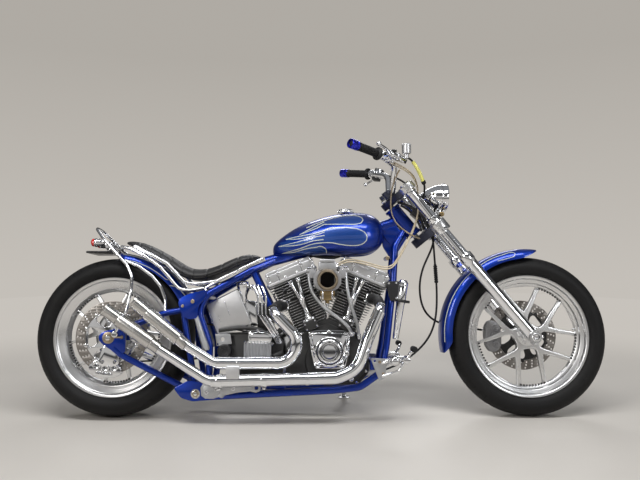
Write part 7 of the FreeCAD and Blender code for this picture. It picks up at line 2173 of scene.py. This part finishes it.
def cable(name, node, routes, radius, paint, slot, low=None, trim=None):
    """One or more lines with a fitting at each end; given a low point, the piece goes to no body and its place is baked
    into its mesh.
    """
    piece = Piece(name, paint)
    for route in routes:
        piece.use(paint).add(hose(route, radius, 10, 3))
        piece.use("chrome")
        for at, toward in ((route[0], route[1]), (route[-1], route[-2])):
            way = (Vector(toward) - Vector(at)).normalized()
            piece.lathe([(0, 0), (0, radius + 2), (8, radius + 2), (9, radius + 1), (20, radius + 1),
                         (22, radius + 0.3), (22, 0)], at, way, 20, 0.4)
    if trim:
        trim(piece)
    made = piece.done(None if low else "fork", [node], slot, 40)
    if low:
        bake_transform(made)
    return made


BRAKE_LINE = ((330, -160, 1050), (352, -153, 1060), (370, -146, 1050), (400, -133, 1008), (429, -112, 954),
              (431, -76, 918), (420, -44, 872), (436, -24, 812), (484, -18, 757), (468, -20, 690), (430, -18, 622),
              (413, -8, 552), (418, 14, 484), (440, 44, 426), (490, 74, 384), (556, 92, 366), (622, 88, 358),
              (676, 74, 352), (712, 72, 346))
CLUTCH_LINE = ((266, 232, 1054), (318, 188, 1046), (374, 126, 1012), (412, 92, 952), (424, 56, 884), (446, 28, 812),
               (480, 22, 752), (484, 24, 690), (488, 28, 622), (494, 34, 540), (494, 36, 470), (488, 34, 396),
               (462, 34, 322), (410, 38, 262), (340, 46, 212), (268, 56, 180), (222, 64, 166), (172, 73, 160))
THROTTLE_LINE = ((252, -204, 1046), (300, -172, 1030), (366, -122, 1012), (400, -92, 968), (408, -66, 902),
                 (406, -60, 832), (380, -60, 762), (346, -64, 700), (314, -72, 644), (288, -82, 612), (250, -86, 610),
                 (188, -88, 630), (122, -92, 646), (84, -102, 636), (60, -112, 620), (48, -114, 612))


def sleeve(piece):
    """The yellow sleeve over the brake line below the reservoir, with its black end."""
    points = [(374, -144, 1043), (398, -133, 1008), (421, -114, 964)]
    piece.use("yellow").add(stroke(points, 7.6, 10, 4))
    way = Vector(points[-1]) - Vector(points[-2])
    piece.use("rubber").lathe([(-4, 0), (-4, 9.4), (8, 9.4), (12, 7), (12, 0)], points[-1], way, 24, 0.8)
    loop = [(322, -130, 1012), (300, -110, 972), (291, -96, 930), (286, -88, 880), (291, -84, 822), (322, -80, 776),
            (378, -66, 742), (430, -40, 728)]
    piece.use("bronze").add(hose(loop, 3.4, 10, 3))


def boot(piece):
    """The ribbed rubber boot over the cable's adjuster."""
    low, high = Vector((493, 34, 550)), Vector((488, 28, 630))
    profile = [(0, 4), (0, 7)]
    for i in range(8):
        profile += [(4 + 9 * i, 8.6), (9 + 9 * i, 8.6), (10 + 9 * i, 6.4), (12 + 9 * i, 6.4)]
    profile += [(78, 6), (80, 4)]
    piece.use("rubber").lathe(profile, low, high - low, 24, loop=True)


cable("brake_line", "brake_hose", [BRAKE_LINE], 4.4, "rubber", "black_rubber", trim=sleeve)
cable("clutch_line", "clutch_cable", [CLUTCH_LINE], 4.4, "rubber", "black_rubber", (462, 34, 400),
      boot)
cable("throttle_lines", "throttle_cables", [THROTTLE_LINE, [(x, y, z - 9) for x, y, z in THROTTLE_LINE]], 3.0, "cable",
      "pale_cable", (300, -70, 650))


def stand():
    """The side stand, down and on its foot."""
    leg_line = Piece("side_stand_leg", "chrome")
    pivot, axis = Vector((78, 166, 102)), Vector((0, 0.43, 0.9)).normalized()
    down = Vector((0, -math.sin(LEAN), -math.cos(LEAN)))
    foot = Vector((108, 300, 300 * math.tan(LEAN)))
    top = foot - down * 11
    knee = pivot.lerp(top, 0.55) + Vector((12, 0, 0))
    leg_line.add(bent([pivot + (knee - pivot).normalized() * 17, knee, top], 10.6, 60, 12, 6))
    leg_line.lathe([(-9, 8.2), (-9, 16), (-7, 18), (7, 18), (9, 16), (9, 8.2)], pivot, axis, 40, loop=True)
    pad = Matrix.Translation(foot) @ Matrix.Rotation(LEAN, 4, "X")
    leg_line.add(slab(oblong(27, 18), 5.6, 14, 1.4), pad @ moved(0, 0, 3))
    leg_line.add(ball(10.6), Matrix.Translation(top))
    leg_line.rod(knee + Vector((6, 0, 0)), knee + Vector((24, 2, 4)), 5, 4)
    leg_line.done("side_stand", ["side_stand"], "chrome", 35)


stand()

# ---------------------------------------------------------------- finishes of the frame's own nodes


# every node that isn't named here is chrome
NODE_PAINT = {
    "blue": ("main_frame", "swingarm", "fuel_tank", "rear_fender", "fork_trees", "front_fender"),
    "case": ("engine_cases", "gearbox"), "black": ("rear_cylinder", "front_cylinder", "front_caliper"),
    "braid": ("breather_hoses",), "leather": ("seat",), "cast": ("exhaust_bracket",), "glass": ("headlamp_glass",),
    "rubber": ("drive_belt", "clutch_cable", "grips", "brake_hose"), "cable": ("throttle_cables",),
    "alloy": ("front_rim", "rear_rim"), "tyre": ("front_tyre", "rear_tyre"), "front_disc": ("front_disc",),
    "rear_disc": ("rear_disc",)}


def dress(node, paint):
    """Gives a CAD node its finish."""
    mesh = frame["nodes"][node].data
    mesh.materials.clear()
    mesh.materials.append(PAINT[paint])
    shaded(mesh, 30)


for node in frame["nodes"]:
    dress(node, next((paint for paint, names in NODE_PAINT.items() if node in names), "chrome"))
